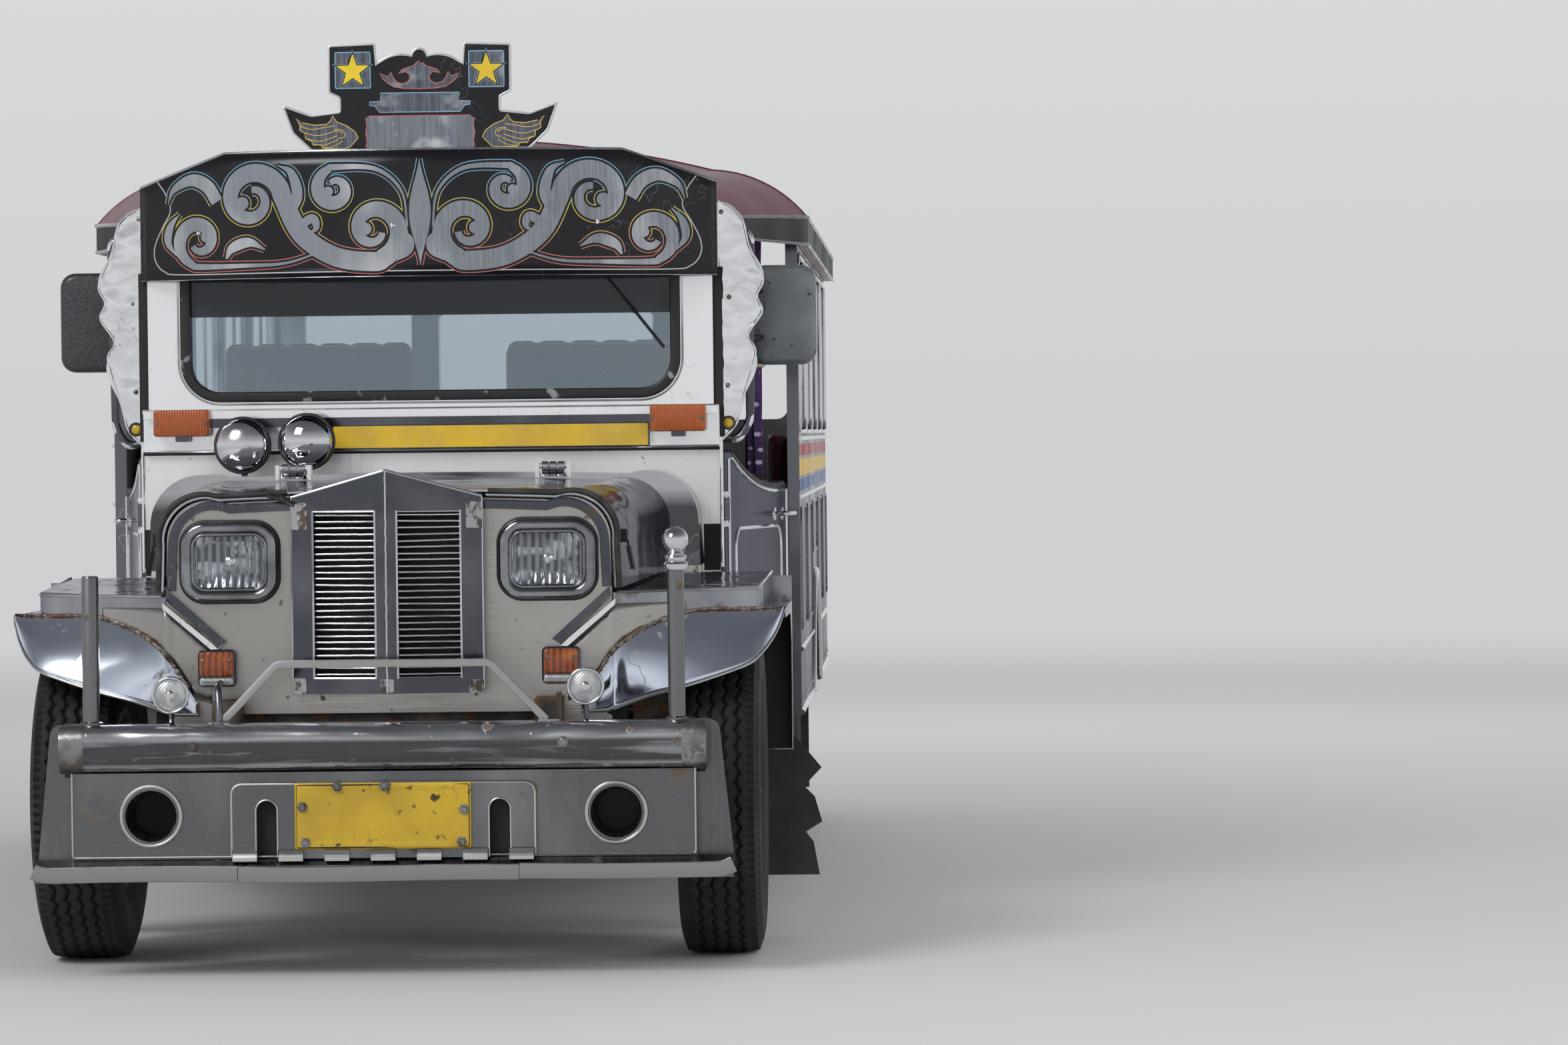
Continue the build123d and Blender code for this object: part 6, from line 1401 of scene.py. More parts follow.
face_z = visor_foot + (visor_top(face_x) - 0.0008 - visor_foot) * np.linspace(0, 1, 9)[:, None]
visor_face = sheet(on_visor(face_x, face_z, 0.0012))
give_wall(make_piece("visor_face", visor_face, film_black, sharp=80), 0.001)
make_piece("scroll_gaps", scrolls(0.0029, 0.0105), film_black)
make_piece("scroll_fills", scrolls(0.0034, 0.0), bared_metal)
make_piece("scroll_linings", scrolls(0.0024, 0.0145), lining_paint)
border_half = through([
    (0.0, 1.5935), (0.30, 1.5935), (0.585, 1.594), (0.640, 1.603), (0.664, 1.632),
    (0.663, 1.668), (0.642, 1.712), (0.622, 1.750), (0.634, 1.790), (0.655, 1.8205),
], 10)
border_line = np.concatenate([border_half[:0:-1] * (-1, 1), border_half])
visor_border = stroke(border_line, np.full(len(border_line), 0.0028), 0.0024)
make_piece("visor_border", visor_border, silver_line)
lower_x = np.linspace(-0.7005, 0.7005, 50)
upper_runs = ((-0.7005, -0.482, 12), (-0.478, 0.478, 30), (0.482, 0.7005, 12))
upper_x = np.concatenate([np.linspace(*run) for run in upper_runs])
make_piece("visor_edges", [
    pipe(on_visor(lower_x, 1.5828, -0.002), 0.0032, 8, rearwards),
    pipe(on_visor(upper_x, visor_top(upper_x) - 0.0008, -0.002), 0.0040, 8, rearwards),
], edge_polish)
visor_screw = [(0.0, 0.0062), (0.0016, 0.0060), (0.0030, 0.0042), (0.0034, 0.002)]
make_piece("visor_screws", [
    turned(visor_screw, on_visor(x, z, 0.0033), (-x / visor_bow, -1, 0), 16)
    for x, z in ((-0.5475, 1.6930), (-0.0655, 1.7020), (0.4215, 1.7080))
], chrome)

# Crest: a black plate edged in bare metal, with two starred boxes, a scrolled
# peak, two blank plates and a pair of feathered wings.
crest_front = 1.176


def on_crest(x, z, lift):
    """A point in front of the crest's face."""
    return seen_from_front(x, z, crest_front - lift)


def crest_board(outline, lift, thickness=0.0008):
    """A thin plate on the crest, its front at a lift above the crest's face."""
    return board(outline, crest_front - lift, crest_front - lift + thickness, 0.0002)


def crest_line(outline, width, lift, closed=True):
    """A painted line along an outline on the crest."""
    outline = np.asarray(outline, float)
    if closed:
        outline = np.concatenate([outline, outline[:2]])
    return stroke(outline, np.full(len(outline), width), lift, 0.0006, on_crest)


def star(centre, radius):
    """The ten corners of a five-pointed star."""
    angle = np.pi / 2 + np.arange(10) * np.pi / 5
    reach = radius * np.where(np.arange(10) % 2 == 0, 1.0, 0.40)
    return np.asarray(centre) + reach[:, None] * np.column_stack([np.cos(angle), np.sin(angle)])


side_run = [(0.097, 1.886), (0.262, 1.886), (0.306, 1.928), (0.329, 1.992), (0.262, 1.968), (0.192, 1.976)]
side_run += [(0.192, 2.012), (0.218, 2.024), (0.218, 2.135), (0.108, 2.139), (0.104, 2.087)]
shoulder_arc = arc_through((0.104, 2.087), (0.062, 2.111), (0.018, 2.109), 9)
finial_arc = arc_through((0.018, 2.109), (0, 2.127), (-0.018, 2.109), 9)
crest_half = np.concatenate([bent(side_run, 0.006, 5), shoulder_arc[1:]])
crest_edge = np.concatenate([crest_half, finial_arc[1:-1], crest_half[::-1] * (-1, 1)])
crest_rim = moulding(crest_edge, crest_front - 0.0006, rounded_outline(0.0052, 0.003, 0.001, 3))
make_piece("crest_rim", crest_rim, silver_line)
feather_lines = (
    ((0.290, 1.944), (0.262, 1.936), (0.232, 1.940), (0.205, 1.944)),
    ((0.280, 1.929), (0.250, 1.921), (0.222, 1.926), (0.200, 1.932), (0.186, 1.925)),
    ((0.270, 1.913), (0.245, 1.907), (0.220, 1.913), (0.200, 1.920)),
    ((0.256, 1.900), (0.232, 1.898), (0.212, 1.905), (0.196, 1.911)),
    ((0.238, 1.892), (0.220, 1.892), (0.200, 1.899), (0.187, 1.908)),
    ((0.207, 1.935), (0.190, 1.934), (0.180, 1.924), (0.186, 1.915), (0.197, 1.915)),
)
wing_outline = np.array([
    (0.2986, 1.9619), (0.283, 1.952), (0.254, 1.946), (0.2247, 1.948), (0.216, 1.9556), (0.211, 1.9677),
    (0.2004, 1.953), (0.176, 1.9434), (0.1566, 1.9288), (0.1493, 1.914), (0.159, 1.9035), (0.170, 1.892),
    (0.188, 1.8885), (0.205, 1.8900), (0.216, 1.8895), (0.232, 1.8895), (0.240, 1.899), (0.258, 1.8985),
    (0.262, 1.9085), (0.276, 1.914), (0.277, 1.927), (0.290, 1.934), (0.289, 1.947),
])
peak_half = np.array([
    (0.0, 2.097), (0.006, 2.094), (0.016, 2.085), (0.030, 2.081), (0.043, 2.076), (0.050, 2.067),
    (0.042, 2.070), (0.033, 2.072), (0.025, 2.066), (0.023, 2.056), (0.029, 2.047), (0.040, 2.043),
    (0.053, 2.046), (0.063, 2.056), (0.069, 2.072), (0.076, 2.060), (0.096, 2.068), (0.088, 2.055),
    (0.077, 2.045), (0.062, 2.036), (0.040, 2.032), (0.0, 2.031),
])
peak_outline = np.concatenate([peak_half, peak_half[-2:0:-1] * (-1, 1)])
ribbon_half = [(0.095, 2.021), (0.095, 2.001), (0.121, 2.000), (0.121, 1.992), (0.108, 1.990), (0.097, 1.975)]
ribbon_outline = np.concatenate([ribbon_half, np.array(ribbon_half)[::-1] * (-1, 1)])
label_half = [(0.122, 1.966), (0.131, 1.960), (0.128, 1.945), (0.131, 1.925), (0.128, 1.905), (0.131, 1.892)]
label_half.append((0.124, 1.8875))
label_outline = np.concatenate([label_half, np.array(label_half)[::-1] * (-1, 1)])
field_parts, blue_parts, ground_parts, star_parts, gold_parts = [], [], [], [], []
for side in (-1, 1):
    box_centre = np.array((side * 0.1607, 2.0767))
    star_centre = box_centre + (0, -0.002)
    square = rounded_outline(0.084, 0.086, 0.002, 3) + box_centre
    wing = wing_outline * (side, 1)
    field_parts += [crest_board(square, 0.0010), crest_board(wing, 0.0010)]
    blue_parts.append(crest_line(square, 0.0024, 0.0014))
    blue_parts.append(crest_line(star(star_centre, 0.0515), 0.0018, 0.0013))
    ground_parts.append(crest_board(star(star_centre, 0.049), 0.0018))
    star_parts.append(crest_board(star(star_centre, 0.042), 0.0030, 0.0014))
    gold_parts.append(crest_line(wing, 0.0020, 0.0015))
    for line in feather_lines:
        gold_parts.append(crest_line(through(line, 5) * (side, 1), 0.0017, 0.0016, closed=False))
field_parts += [crest_board(peak_outline, 0.0010), crest_board(ribbon_outline, 0.0010)]
blue_parts.append(crest_line(ribbon_outline, 0.0022, 0.0015))
red_parts = [crest_line(peak_outline, 0.0022, 0.0015), crest_line(label_outline, 0.0022, 0.0016)]
crest_steel = finish_of("crest_steel", (0.115, 0.125, 0.155), 0.22, 1.0, [
    patchy((0.20, 0.22, 0.26), 0.35, 2.5, 0.5, 0.3, (80, 1, 4)),
    patchy((0.45, 0.47, 0.50), 0.15, 14.0, 0.1, 0.15),
])
label_steel = finish_of("label_steel", (0.30, 0.32, 0.36), 0.25, 1.0, [
    patchy((0.20, 0.21, 0.25), 0.35, 2.5, 0.5, 0.3, (80, 1, 4)),
    patchy((0.75, 0.76, 0.78), 0.15, 12.0, 0.15, 0.15),
])
star_yellow = stained("star_yellow", (0.78, 0.56, 0.02), 0.4, 0.0, 0.6, (0.60, 0.42, 0.03))
line_gold = stained("line_gold", (0.62, 0.42, 0.08), 0.4, 0.0, 0.6)
line_blue = stained("line_blue", (0.20, 0.36, 0.50), 0.4, 0.0, 0.6)
line_red = stained("line_red", (0.45, 0.13, 0.12), 0.4, 0.0, 0.6)
make_piece("crest_fields", field_parts, crest_steel)
make_piece("crest_label", crest_board(label_outline, 0.0012), label_steel)
make_piece("crest_star_grounds", ground_parts, film_black)
make_piece("crest_stars", star_parts, star_yellow)
make_piece("crest_feathers", gold_parts, line_gold)
make_piece("crest_blue_lines", blue_parts, line_blue)
make_piece("crest_red_lines", red_parts, line_red)

# Wings: thin mirror-polished sheets with scalloped, beaded edges, dented all over
# from years of knocks, each on three screws and with a small yellow reflector.
wing_curve = through([  # reach beyond the panel, z
    (0.004, 1.762), (0.056, 1.727), (0.078, 1.650), (0.110, 1.573), (0.095, 1.530), (0.107, 1.491),
    (0.073, 1.434), (0.090, 1.389), (0.057, 1.275), (0.042, 1.220), (0.006, 1.179),
], 12)
wing_z = np.linspace(1.7615, 1.1795, 150)[:, None]
wing_outer = 0.703 + np.interp(-wing_z, -wing_curve[:, 1], wing_curve[:, 0])
wing_random = np.random.default_rng(12)
wing_dents = np.column_stack([
    wing_random.uniform(0.70, 0.80, 26),
    wing_random.uniform(1.20, 1.74, 26),
    wing_random.uniform(0.008, 0.030, 26),
    wing_random.choice((-1, 1), 26) * wing_random.uniform(0.0012, 0.0030, 26),
])
dented_mirror = finish_of("dented_mirror", (0.86, 0.87, 0.89), 0.06, 1.0, [
    patchy(None, 0.2, 3.0, 0.35, 0.4),
    scratched((0.55, 0.55, 0.57), 0.35, 9.0, 0.008),
], (9.0, 0.012))
dress(dented_mirror, "wing_panels")
for word, side in hands:
    outwards = np.linspace(0, 1, 30)[None, :]
    skin_x = 0.6925 + (wing_outer - 0.6925) * outwards
    height = np.zeros_like(skin_x)
    for x, z, size, lift in wing_dents * (1, 1, 1, side):
        height += lift * np.exp(-((skin_x - x) ** 2 + (wing_z - z) ** 2) / (2 * size**2))
    height *= np.clip(outwards / 0.08, 0, 1) * np.clip((1 - outwards) / 0.12, 0, 1)
    skin = sheet(seen_from_front(side * skin_x, wing_z, 1.4070 - np.clip(height, -0.002, 0.004)))
    give_wall(make_piece("wing_skin_" + word, skin, dented_mirror, sharp=80), 0.0015)
    bead_line = np.column_stack([side * (wing_outer - 0.0015), wing_z])
    make_piece("wing_bead_" + word, beading(bead_line, 1.4075, 0.0032, 10), dented_mirror)


def on_wings(profile, places, steps):
    """A small turned thing at places of X and Z on each wing's face."""
    return both_sides(lambda side: [turned(profile, at(side * x, 1.4060, z), steps=steps) for x, z in places])


reflector_place = [(0.7245, 1.2205)]
reflector_ring = [(0.0, 0.0175), (0.007, 0.0175), (0.0075, 0.0125), (0.004, 0.012)]
reflector_face = [(0.0, 0.0122), (0.0045, 0.0122), (0.0068, 0.008), (0.0074, 0.003)]
stay_line = bent([(0.702, 1.188), (0.748, 1.178), (0.777, 1.226), (0.783, 1.672), (0.754, 1.704)], 0.024)
reflector_yellow = finish_of("reflector_yellow", (0.80, 0.56, 0.02), 0.2, 0.0, [
    patchy((0.55, 0.36, 0.02), None, 220.0, 0.5, 0.1, bump=0.0005),
], Coat_Weight=0.5)
wing_screws = on_wings(visor_screw, ((0.729, 1.527), (0.724, 1.312), (0.712, 1.735)), 16)
wing_stays = both_sides(lambda side: beading(stay_line * (side, 1), 1.421, 0.0096, 14))
make_piece("wing_screws", wing_screws, dull_cap)
make_piece("wing_reflector_rings", on_wings(reflector_ring, reflector_place, 32), black_rubber)
make_piece("wing_reflectors", on_wings(reflector_face, reflector_place, 32), reflector_yellow)
make_piece("wing_stays", wing_stays, smoke_polish)

# Mirrors: deep rounded heads on two-bar arms, one in grained black plastic and the
# other in scuffed grey, each with a rubber-edged glass facing the driver.
dress(smoke_polish, "mirrors")
head_black = finish_of("head_black", (0.013, 0.015, 0.022), 0.34, 0.0, [
    patchy((0.035, 0.036, 0.042), 0.55, 160.0, 0.45, 0.2, bump=0.0005),
    dusty((0.12, 0.115, 0.11), 0.8, 2.4, 0.25),
], Coat_Weight=0.3)
head_grey = finish_of("head_grey", (0.16, 0.175, 0.19), 0.30, 0.5, [
    patchy((0.24, 0.255, 0.26), 0.5, 12.0, 0.4, 0.3, bump=0.0006),
    patchy((0.04, 0.045, 0.05), 0.5, 40.0, 0.0, 0.05),
])
mirror_silver = finish_of("mirror_silver", (0.86, 0.88, 0.89), 0.015, 1.0, [
    patchy(None, 0.12, 5.0, 0.2, 0.3),
])
head_x, head_z = 0.855, 1.4865
for word, side, material in (("left", 1, head_grey), ("right", -1, head_black)):
    head = lens_block(0.163, 0.246, 0.037, (side * head_x, head_z), 1.6625, 1.5980, 0.004, 0.016)
    make_piece("mirror_head_" + word, head, material)
glass_outline, glass_rim = rounded_outline(0.146, 0.229, 0.030, 8), rounded_outline(0.153, 0.236, 0.033, 10)
make_piece("mirror_glass", both_sides(
    lambda side: board(glass_outline + (side * head_x, head_z), 1.6620, 1.6645, 0.0003)
), mirror_silver)
make_piece("mirror_beads", both_sides(
    lambda side: beading(glass_rim + (side * head_x, head_z), 1.6630, 0.0038, closed=True)
), black_rubber)

# Roof: maroon metallic skin with pressed seams, over a matt black fascia between
# two smoky beads, with a folded rim round its open rear end.
maroon = finish_of("maroon_metallic", (0.115, 0.010, 0.030), 0.32, 0.25, [
    patchy((0.17, 0.022, 0.045), 0.4, 3.0, 0.4, 0.4),
    scratched((0.30, 0.16, 0.18), 0.5, 5.0, 0.005),
    patchy((0.30, 0.26, 0.24), 0.8, 9.0, -0.04, 0.2, metal=0.0),
], (1.6, 0.02), Coat_Weight=0.10, Specular_IOR_Level=0.3)
dress(maroon, "roof")
matt_black, matt_stain = (0.006, 0.006, 0.007), (0.02, 0.02, 0.02)
fascia_black = stained("fascia_black", matt_black, 0.4, 0.0, 0.6, matt_stain, Specular_IOR_Level=0.15)


def roof_line(half, edge_z, knee_x, knee_z, crown, inset):
    """The roof's outline from its left edge over the crown to its right edge, moved inwards."""
    half, knee_x, knee_z = half - inset, knee_x - inset * 0.4, knee_z - inset
    middle = ((half + knee_x) / 2 + (half - knee_x) * 0.14, edge_z + (knee_z - edge_z) * 0.62)
    shoulder = arc_through((half, edge_z), middle, (knee_x, knee_z), 14)
    over = arc_through((knee_x, knee_z), (0, crown - inset), (-knee_x, knee_z), 33)[1:-1]
    return np.concatenate([shoulder, over, shoulder[::-1] * (-1, 1)])


main_section = (0.905, 1.745, 0.668, 1.865, 1.950)
seam_line = roof_line(*main_section, inset=-0.0005)
seam_section = rounded_outline(0.024, 0.005, 0.0022, 3)[:, ::-1]
roof_seams = [moulding(seam_line, depth, seam_section) for depth in np.linspace(2.075, 5.700, 6)]
make_piece("roof_seams", roof_seams, maroon)
rim_line = roof_line(*main_section, inset=0.013)
rim_line = np.concatenate([[(0.892, 1.676)], rim_line, [(-0.892, 1.676)]])
rear_rim = moulding(rim_line, 5.7405, rounded_outline(0.030, 0.010, 0.004, 4))
make_piece("roof_rear_rim", rear_rim, mirror_steel)
edge_runs = ((1.4150, 0.7195, 1.7225), (2.0600, 0.9070, 1.7425), (5.7400, 0.9070, 1.7425))
run_depth, run_x, run_top = np.array(edge_runs).T
fascia_foot = 1.6735
fascia_depth = np.concatenate([np.linspace(1.415, 2.06, 12)[:-1], np.linspace(2.06, 5.74, 50)])
fascia_x = np.interp(fascia_depth, run_depth, run_x)
fascia_top = np.interp(fascia_depth, run_depth, run_top)
fascia_outwards, fascia_up = np.array([(-0.0005, 0.0), (0.0015, 0.0), (0.0015, 1.0), (-0.0005, 1.0)]).T


def fascia(side):
    """The upright band under the roof's edge."""
    x = side * (fascia_x[:, None] + fascia_outwards)
    z = fascia_foot + (fascia_top[:, None] - fascia_foot) * fascia_up
    return block(seen_from_front(x, z, fascia_depth[:, None]))


def fascia_beads(side):
    """The beads over and under the band."""
    bead_x = side * (fascia_x + 0.001)
    heights = ((fascia_top, 0.0055), (1.6745, 0.0045))
    return [pipe(seen_from_front(bead_x, z, fascia_depth), radius, 10) for z, radius in heights]


make_piece("roof_fascia", both_sides(fascia), fascia_black)
make_piece("roof_beads", both_sides(fascia_beads), smoke_polish)

# Body sides: dark polished steel with bright beads round the windows and arches,
# half-round mouldings, pressed panels, painted bands and rows of rivets.
side_steel = finish_of("side_steel", (0.14, 0.145, 0.165), 0.13, 1.0, [
    patchy((0.21, 0.215, 0.235), 0.30, 2.0, 0.45, 0.4),
    scratched((0.35, 0.35, 0.35), 0.4, 5.0, 0.006),
    dusty((0.17, 0.15, 0.13), 0.9, 1.0, 0.5, metal=0.0),
], (1.8, 0.012), Specular_Tint=(0.5, 0.5, 0.55, 1))
dress(side_steel, "body_side_left", "body_side_right")
kick_line = np.array([(1.0450, 0.4985), (1.3890, 0.4985), (1.3890, 0.8605), (1.0450, 0.8605)])
kick_skins = both_sides(lambda side: board(kick_line, side * 0.7052, side * 0.7032, 0.0005, seen_from_side))
make_piece("kick_panel_skins", kick_skins, side_steel)
wall_x = 0.8787
side_start, side_end = 2.134, 5.696
side_window_z = 1.425
window_pitch = 0.702
window_centres = 2.160 + (np.arange(5) + 0.5) * window_pitch
arch_radius, arch_foot = 0.430, math.asin(0.103 / 0.430)
arch_turn = np.linspace(arch_foot, np.pi - arch_foot, 49)
wheel_arch = arch_radius * np.column_stack([np.cos(arch_turn), np.sin(arch_turn)]) + (rear_axle_depth, axle_z)


def on_side(depth, z, lift, side):
    """A point on a body side, lifted outwards from its wall."""
    return seen_from_side(np.asarray(depth), np.asarray(z), side * (wall_x + lift))


def side_bead(side, line, lift, radius, sides=8, closed=False):
    """A round bead along a line of depth and Z on a body side."""
    return pipe(on_side(*np.transpose(line), lift, side), radius, sides, leftwards, closed)


def side_rail(side, start, end, z, lift, radius, steps=20):
    """A straight bead along a body side."""
    return pipe(on_side(np.linspace(start, end, steps), z, lift, side), radius, 8)


def side_beads(side):
    """The beads of one side: round the windows, along the side, and over the wheel arch."""
    parts = []
    for centre in window_centres:
        window = rounded_outline(0.646, 0.454, 0.042, 8) + (centre, side_window_z)
        parts.append(side_bead(side, window, 0.0005, 0.0060, 10, True))
    parts += [side_rail(side, side_start, side_end, z, 0.001, 0.0065, 40) for z in (1.180, 1.030)]
    for start, end in lower_runs:
        parts.append(side_rail(side, start, end, 0.640, 0.001, 0.0065))
        parts.append(side_rail(side, start, end, 0.478, 0.000, 0.0080))
    return [*parts, side_bead(side, wheel_arch, 0.002, 0.0100, 10)]


def side_pressings(side):
    """Two pressed lines round each panel under the windows, the third over the wheel arch."""
    parts = []
    for index, centre in enumerate(window_centres):
        low = 0.860 if index == 2 else 0.690
        middle = (centre, (low + 1.000) / 2)
        panel = rounded_outline(0.600, 1.000 - low, 0.050, 8) + middle
        inset = rounded_outline(0.550, 0.950 - low, 0.035, 8) + middle
        parts.append(side_bead(side, panel, -0.001, 0.0055, closed=True))
        parts.append(side_bead(side, inset, -0.001, 0.0028, closed=True))
    return parts


def rivet(side, depth, z, radius=0.0045):
    """A small domed rivet head on a body side."""
    head = [(0.0, radius), (radius * 0.35, radius * 0.85), (radius * 0.6, radius * 0.4)]
    return turned(head, on_side(depth, z, 0.0, side), (side, 0, 0), 8)


def side_rivets(side):
    """Rows of rivets over the sill, at the roof and under the windows."""
    parts = []
    for start, end in lower_runs:
        parts += [rivet(side, depth, 0.505) for depth in np.arange(start + 0.03, end, 0.085)]
    for depth in np.arange(2.15, 5.69, 0.085):
        parts += [rivet(side, depth, 1.672), rivet(side, depth, 1.192, 0.0035)]
    return parts


def window_sashes(side):
    """A frame and an upright in each window."""
    parts = []
    for centre in window_centres:
        inner = rounded_outline(0.620, 0.428, 0.030, 6) + (centre, side_window_z)
        parts.append(side_bead(side, inner, -0.0150, 0.0110, closed=True))
        upright = np.linspace((centre, 1.212), (centre, 1.638), 6)
        parts.append(side_bead(side, upright, -0.0150, 0.0060))
    return parts


def side_band(side, z, height):
    """A painted band along a body side."""
    heights = z + height / 2 * np.array((-1, 1, 1, -1))
    lifts = np.array((0.0007, 0.0007, -0.0002, -0.0002))
    return block(on_side(np.array((2.137, 5.693))[:, None], heights, lifts, side))


lower_runs = ((side_start, 3.545), (4.275, side_end))
make_piece("side_beads", both_sides(side_beads), chrome)
make_piece("side_pressings", both_sides(side_pressings), side_steel)
make_piece("side_rivets", both_sides(side_rivets), edge_polish)
make_piece("window_sashes", both_sides(window_sashes), edge_polish)
side_bands = (
    ("red", (0.36, 0.02, 0.03), 1.150, 0.030),
    ("gold", (0.70, 0.46, 0.04), 1.105, 0.042),
    ("blue", (0.03, 0.10, 0.28), 1.060, 0.030),
)
for word, colour, z, height in side_bands:
    paint = stained("band_" + word, colour, 0.3, 0.0, 0.6, Specular_IOR_Level=0.2)
    make_piece("side_band_" + word, [side_band(side, z, height) for side in (-1, 1)], paint)

# Half doors: the same dark polished sheet, edged and pressed, with a bent handle
# outside and a padded top rail.
dress(side_steel, "door_left", "door_right")
door_run = unit((0.132, 0.695))
door_length = math.hypot(0.132, 0.695)


def on_door(u, z, lift, side):
    """A point on a door, u metres behind its hinges and lifted outwards."""
    x = 0.714 + np.asarray(u) * door_run[0] + lift * door_run[1]
    depth = 1.417 + np.asarray(u) * door_run[1] - lift * door_run[0]
    return seen_from_front(side * x, z, depth)


def door_bead(line, lift, radius, side):
    """A closed bead along a line on a door."""
    return pipe(on_door(*line.T, lift, side), radius, 8, leftwards, True)


door_top = arc_through((door_length - 0.016, 1.052), (door_length * 0.45, 1.071), (0.076, 1.133), 14)
door_line = np.concatenate([[(0.034, 0.576), (door_length - 0.016, 0.576)], door_top, [(0.034, 1.133)]])
rail_line = arc_through((door_length - 0.03, 1.0660), (door_length * 0.45, 1.084), (0.076, 1.1470), 14)
door_panel = rounded_outline(0.520, 0.340, 0.050, 8) + (0.370, 0.790)
handle_z, handle_ends = 0.990, (0.560, 0.650)
handle = [(0.560, handle_z, 0.0), (0.560, handle_z, 0.035), (0.650, handle_z, 0.035), (0.650, handle_z, 0.0)]
handle = bent(handle, 0.012)
rose = [(0.0, 0.018), (0.003, 0.016), (0.004, 0.008)]
for word, side in hands:
    body = word + "_door"
    beads = [door_bead(door_line, 0.0005, 0.0050, side), door_bead(door_panel, -0.001, 0.0055, side)]
    make_piece("door_beads_" + word, beads, chrome, body)
    facing = (side * door_run[1], -door_run[0], 0)
    roses = [turned(rose, on_door(u, handle_z, 0.0, side), facing, 20) for u in handle_ends]
    grip = pipe(on_door(*handle.T, side), 0.0060, 12)
    make_piece("door_handle_" + word, [grip, *roses], chrome, body)
    top_rail = swept(on_door(*rail_line.T, -0.015, side), rounded_outline(0.034, 0.014, 0.006, 4))
    make_piece("door_top_rail_" + word, top_rail, black_rubber, body)

# Rear: brushed wall with bright beads, three-part tail lamps, grab handles, a
# ribbed step and a round bumper bar with rubber ends.
rear_steel = finish_of("rear_steel", (0.40, 0.40, 0.41), 0.26, 1.0, [
    patchy(None, 0.42, 3.0, 0.5, 0.3, (110, 2, 2), bump=0.00008),
    patchy((0.30, 0.295, 0.285), 0.4, 2.0, 0.4, 0.4),
    dusty((0.20, 0.18, 0.155), 0.9, 1.1, 0.5, metal=0.0),
], (2.2, 0.008))
dress(rear_steel, "rear_frame")
dress(smoke_polish, "rear_step")
rear_face = 5.7005
tail_x = 0.760
doorway = bent([(-0.342, 0.690), (-0.342, 1.586), (0.342, 1.586), (0.342, 0.690)], 0.02)
grip = [(0.385, 5.700, 0.780), (0.385, 5.745, 0.780), (0.385, 5.745, 1.500), (0.385, 5.700, 1.500)]
grip = bent(grip, 0.025)
grip_rose = [(0.0, 0.026), (0.004, 0.024), (0.006, 0.014)]
bar_end = [(0.0, 0.034), (0.012, 0.037), (0.030, 0.034), (0.036, 0.020)]
make_piece("rear_beads", [beading(doorway, rear_face, 0.0065, 10), *both_sides(lambda side: [
    beading(rounded_outline(0.346, 0.386, 0.042, 8) + (side * 0.5944, 1.425), rear_face, 0.0060, 10, True),
    beading(rounded_outline(0.300, 0.420, 0.040, 8) + (side * 0.530, 0.880), 5.7000, 0.0050, 10, True),
])], chrome)
make_piece("rear_grips", both_sides(lambda side: [
    pipe(placed(grip * (side, 1, 1)), 0.0125, 14, leftwards),
    *(turned(grip_rose, at(side * 0.385, 5.700, z), rearwards, 24) for z in (0.780, 1.500)),
]), chrome)
rib_line = np.linspace((-0.552, 0.4240), (0.552, 0.4240), 12)
step_ribs = [beading(rib_line, depth, 0.0028, 6) for depth in np.linspace(5.722, 5.795, 7)]
make_piece("rear_step_ribs", step_ribs, edge_polish)
bar_ends = both_sides(lambda side: turned(bar_end, at(side * 0.735, 5.828, 0.412), (side, 0, 0), 28))
make_piece("rear_bar_ends", bar_ends, black_rubber)
tail_lenses = (  # name, z, height, colour, the node that it stands for
    ("red", 0.955, 0.096, (0.42, 0.006, 0.008), ["tail_lamps"]),
    ("amber", 0.888, 0.046, (0.60, 0.15, 0.010), ()),
    ("clear", 0.836, 0.050, (0.62, 0.62, 0.60), ()),
)
for word, z, height, colour, nodes in tail_lenses:
    darker = tuple(0.6 * share for share in colour)
    tail_lens = finish_of("tail_" + word, colour, 0.18, 0.0, [
        fluted(darker, (110, 0, 110), 0.0005),
    ], Coat_Weight=0.6)
    lenses = lens_pair(0.074, height, 0.008, tail_x, z, 5.712, 5.7325, 0.003)
    make_piece("tail_lens_" + word, lenses, tail_lens, stands_for=nodes)
make_piece("tail_lamp_shells", both_sides(lambda side: [
    board(rounded_outline(0.090, 0.218, 0.014, 6) + (side * tail_x, 0.900), rear_face, 5.716, 0.003),
    beading(rounded_outline(0.085, 0.213, 0.012, 8) + (side * tail_x, 0.900), 5.7165, 0.0040, closed=True),
]), chrome)

# Cabin: a dark painted floor, long channelled cushions and back pads in maroon
# vinyl with cream piping, two cab seats and chromed grab rails.
floor_paint = finish_of("floor_paint", (0.055, 0.058, 0.06), 0.5, 0.1, [
    patchy((0.20, 0.18, 0.15), 0.85, 6.0, 0.4, 0.3),
    patchy((0.35, 0.35, 0.35), 0.35, 16.0, 0.05, 0.05, metal=0.9),
])
dress(floor_paint, "floor")
dress(chrome, "grab_rails")
seat_vinyl = finish_of("seat_vinyl", (0.105, 0.010, 0.018), 0.36, 0.0, [
    patchy((0.15, 0.022, 0.030), 0.5, 5.0, 0.4, 0.3),
    patchy((0.07, 0.008, 0.012), None, 420.0, 0.5, 0.2, bump=0.0003),
    scratched((0.05, 0.008, 0.01), 0.6, 12.0, 0.01),
])
piping_cream = stained("piping_cream", (0.58, 0.52, 0.40), 0.45, 0.0, 0.6, (0.40, 0.34, 0.25))


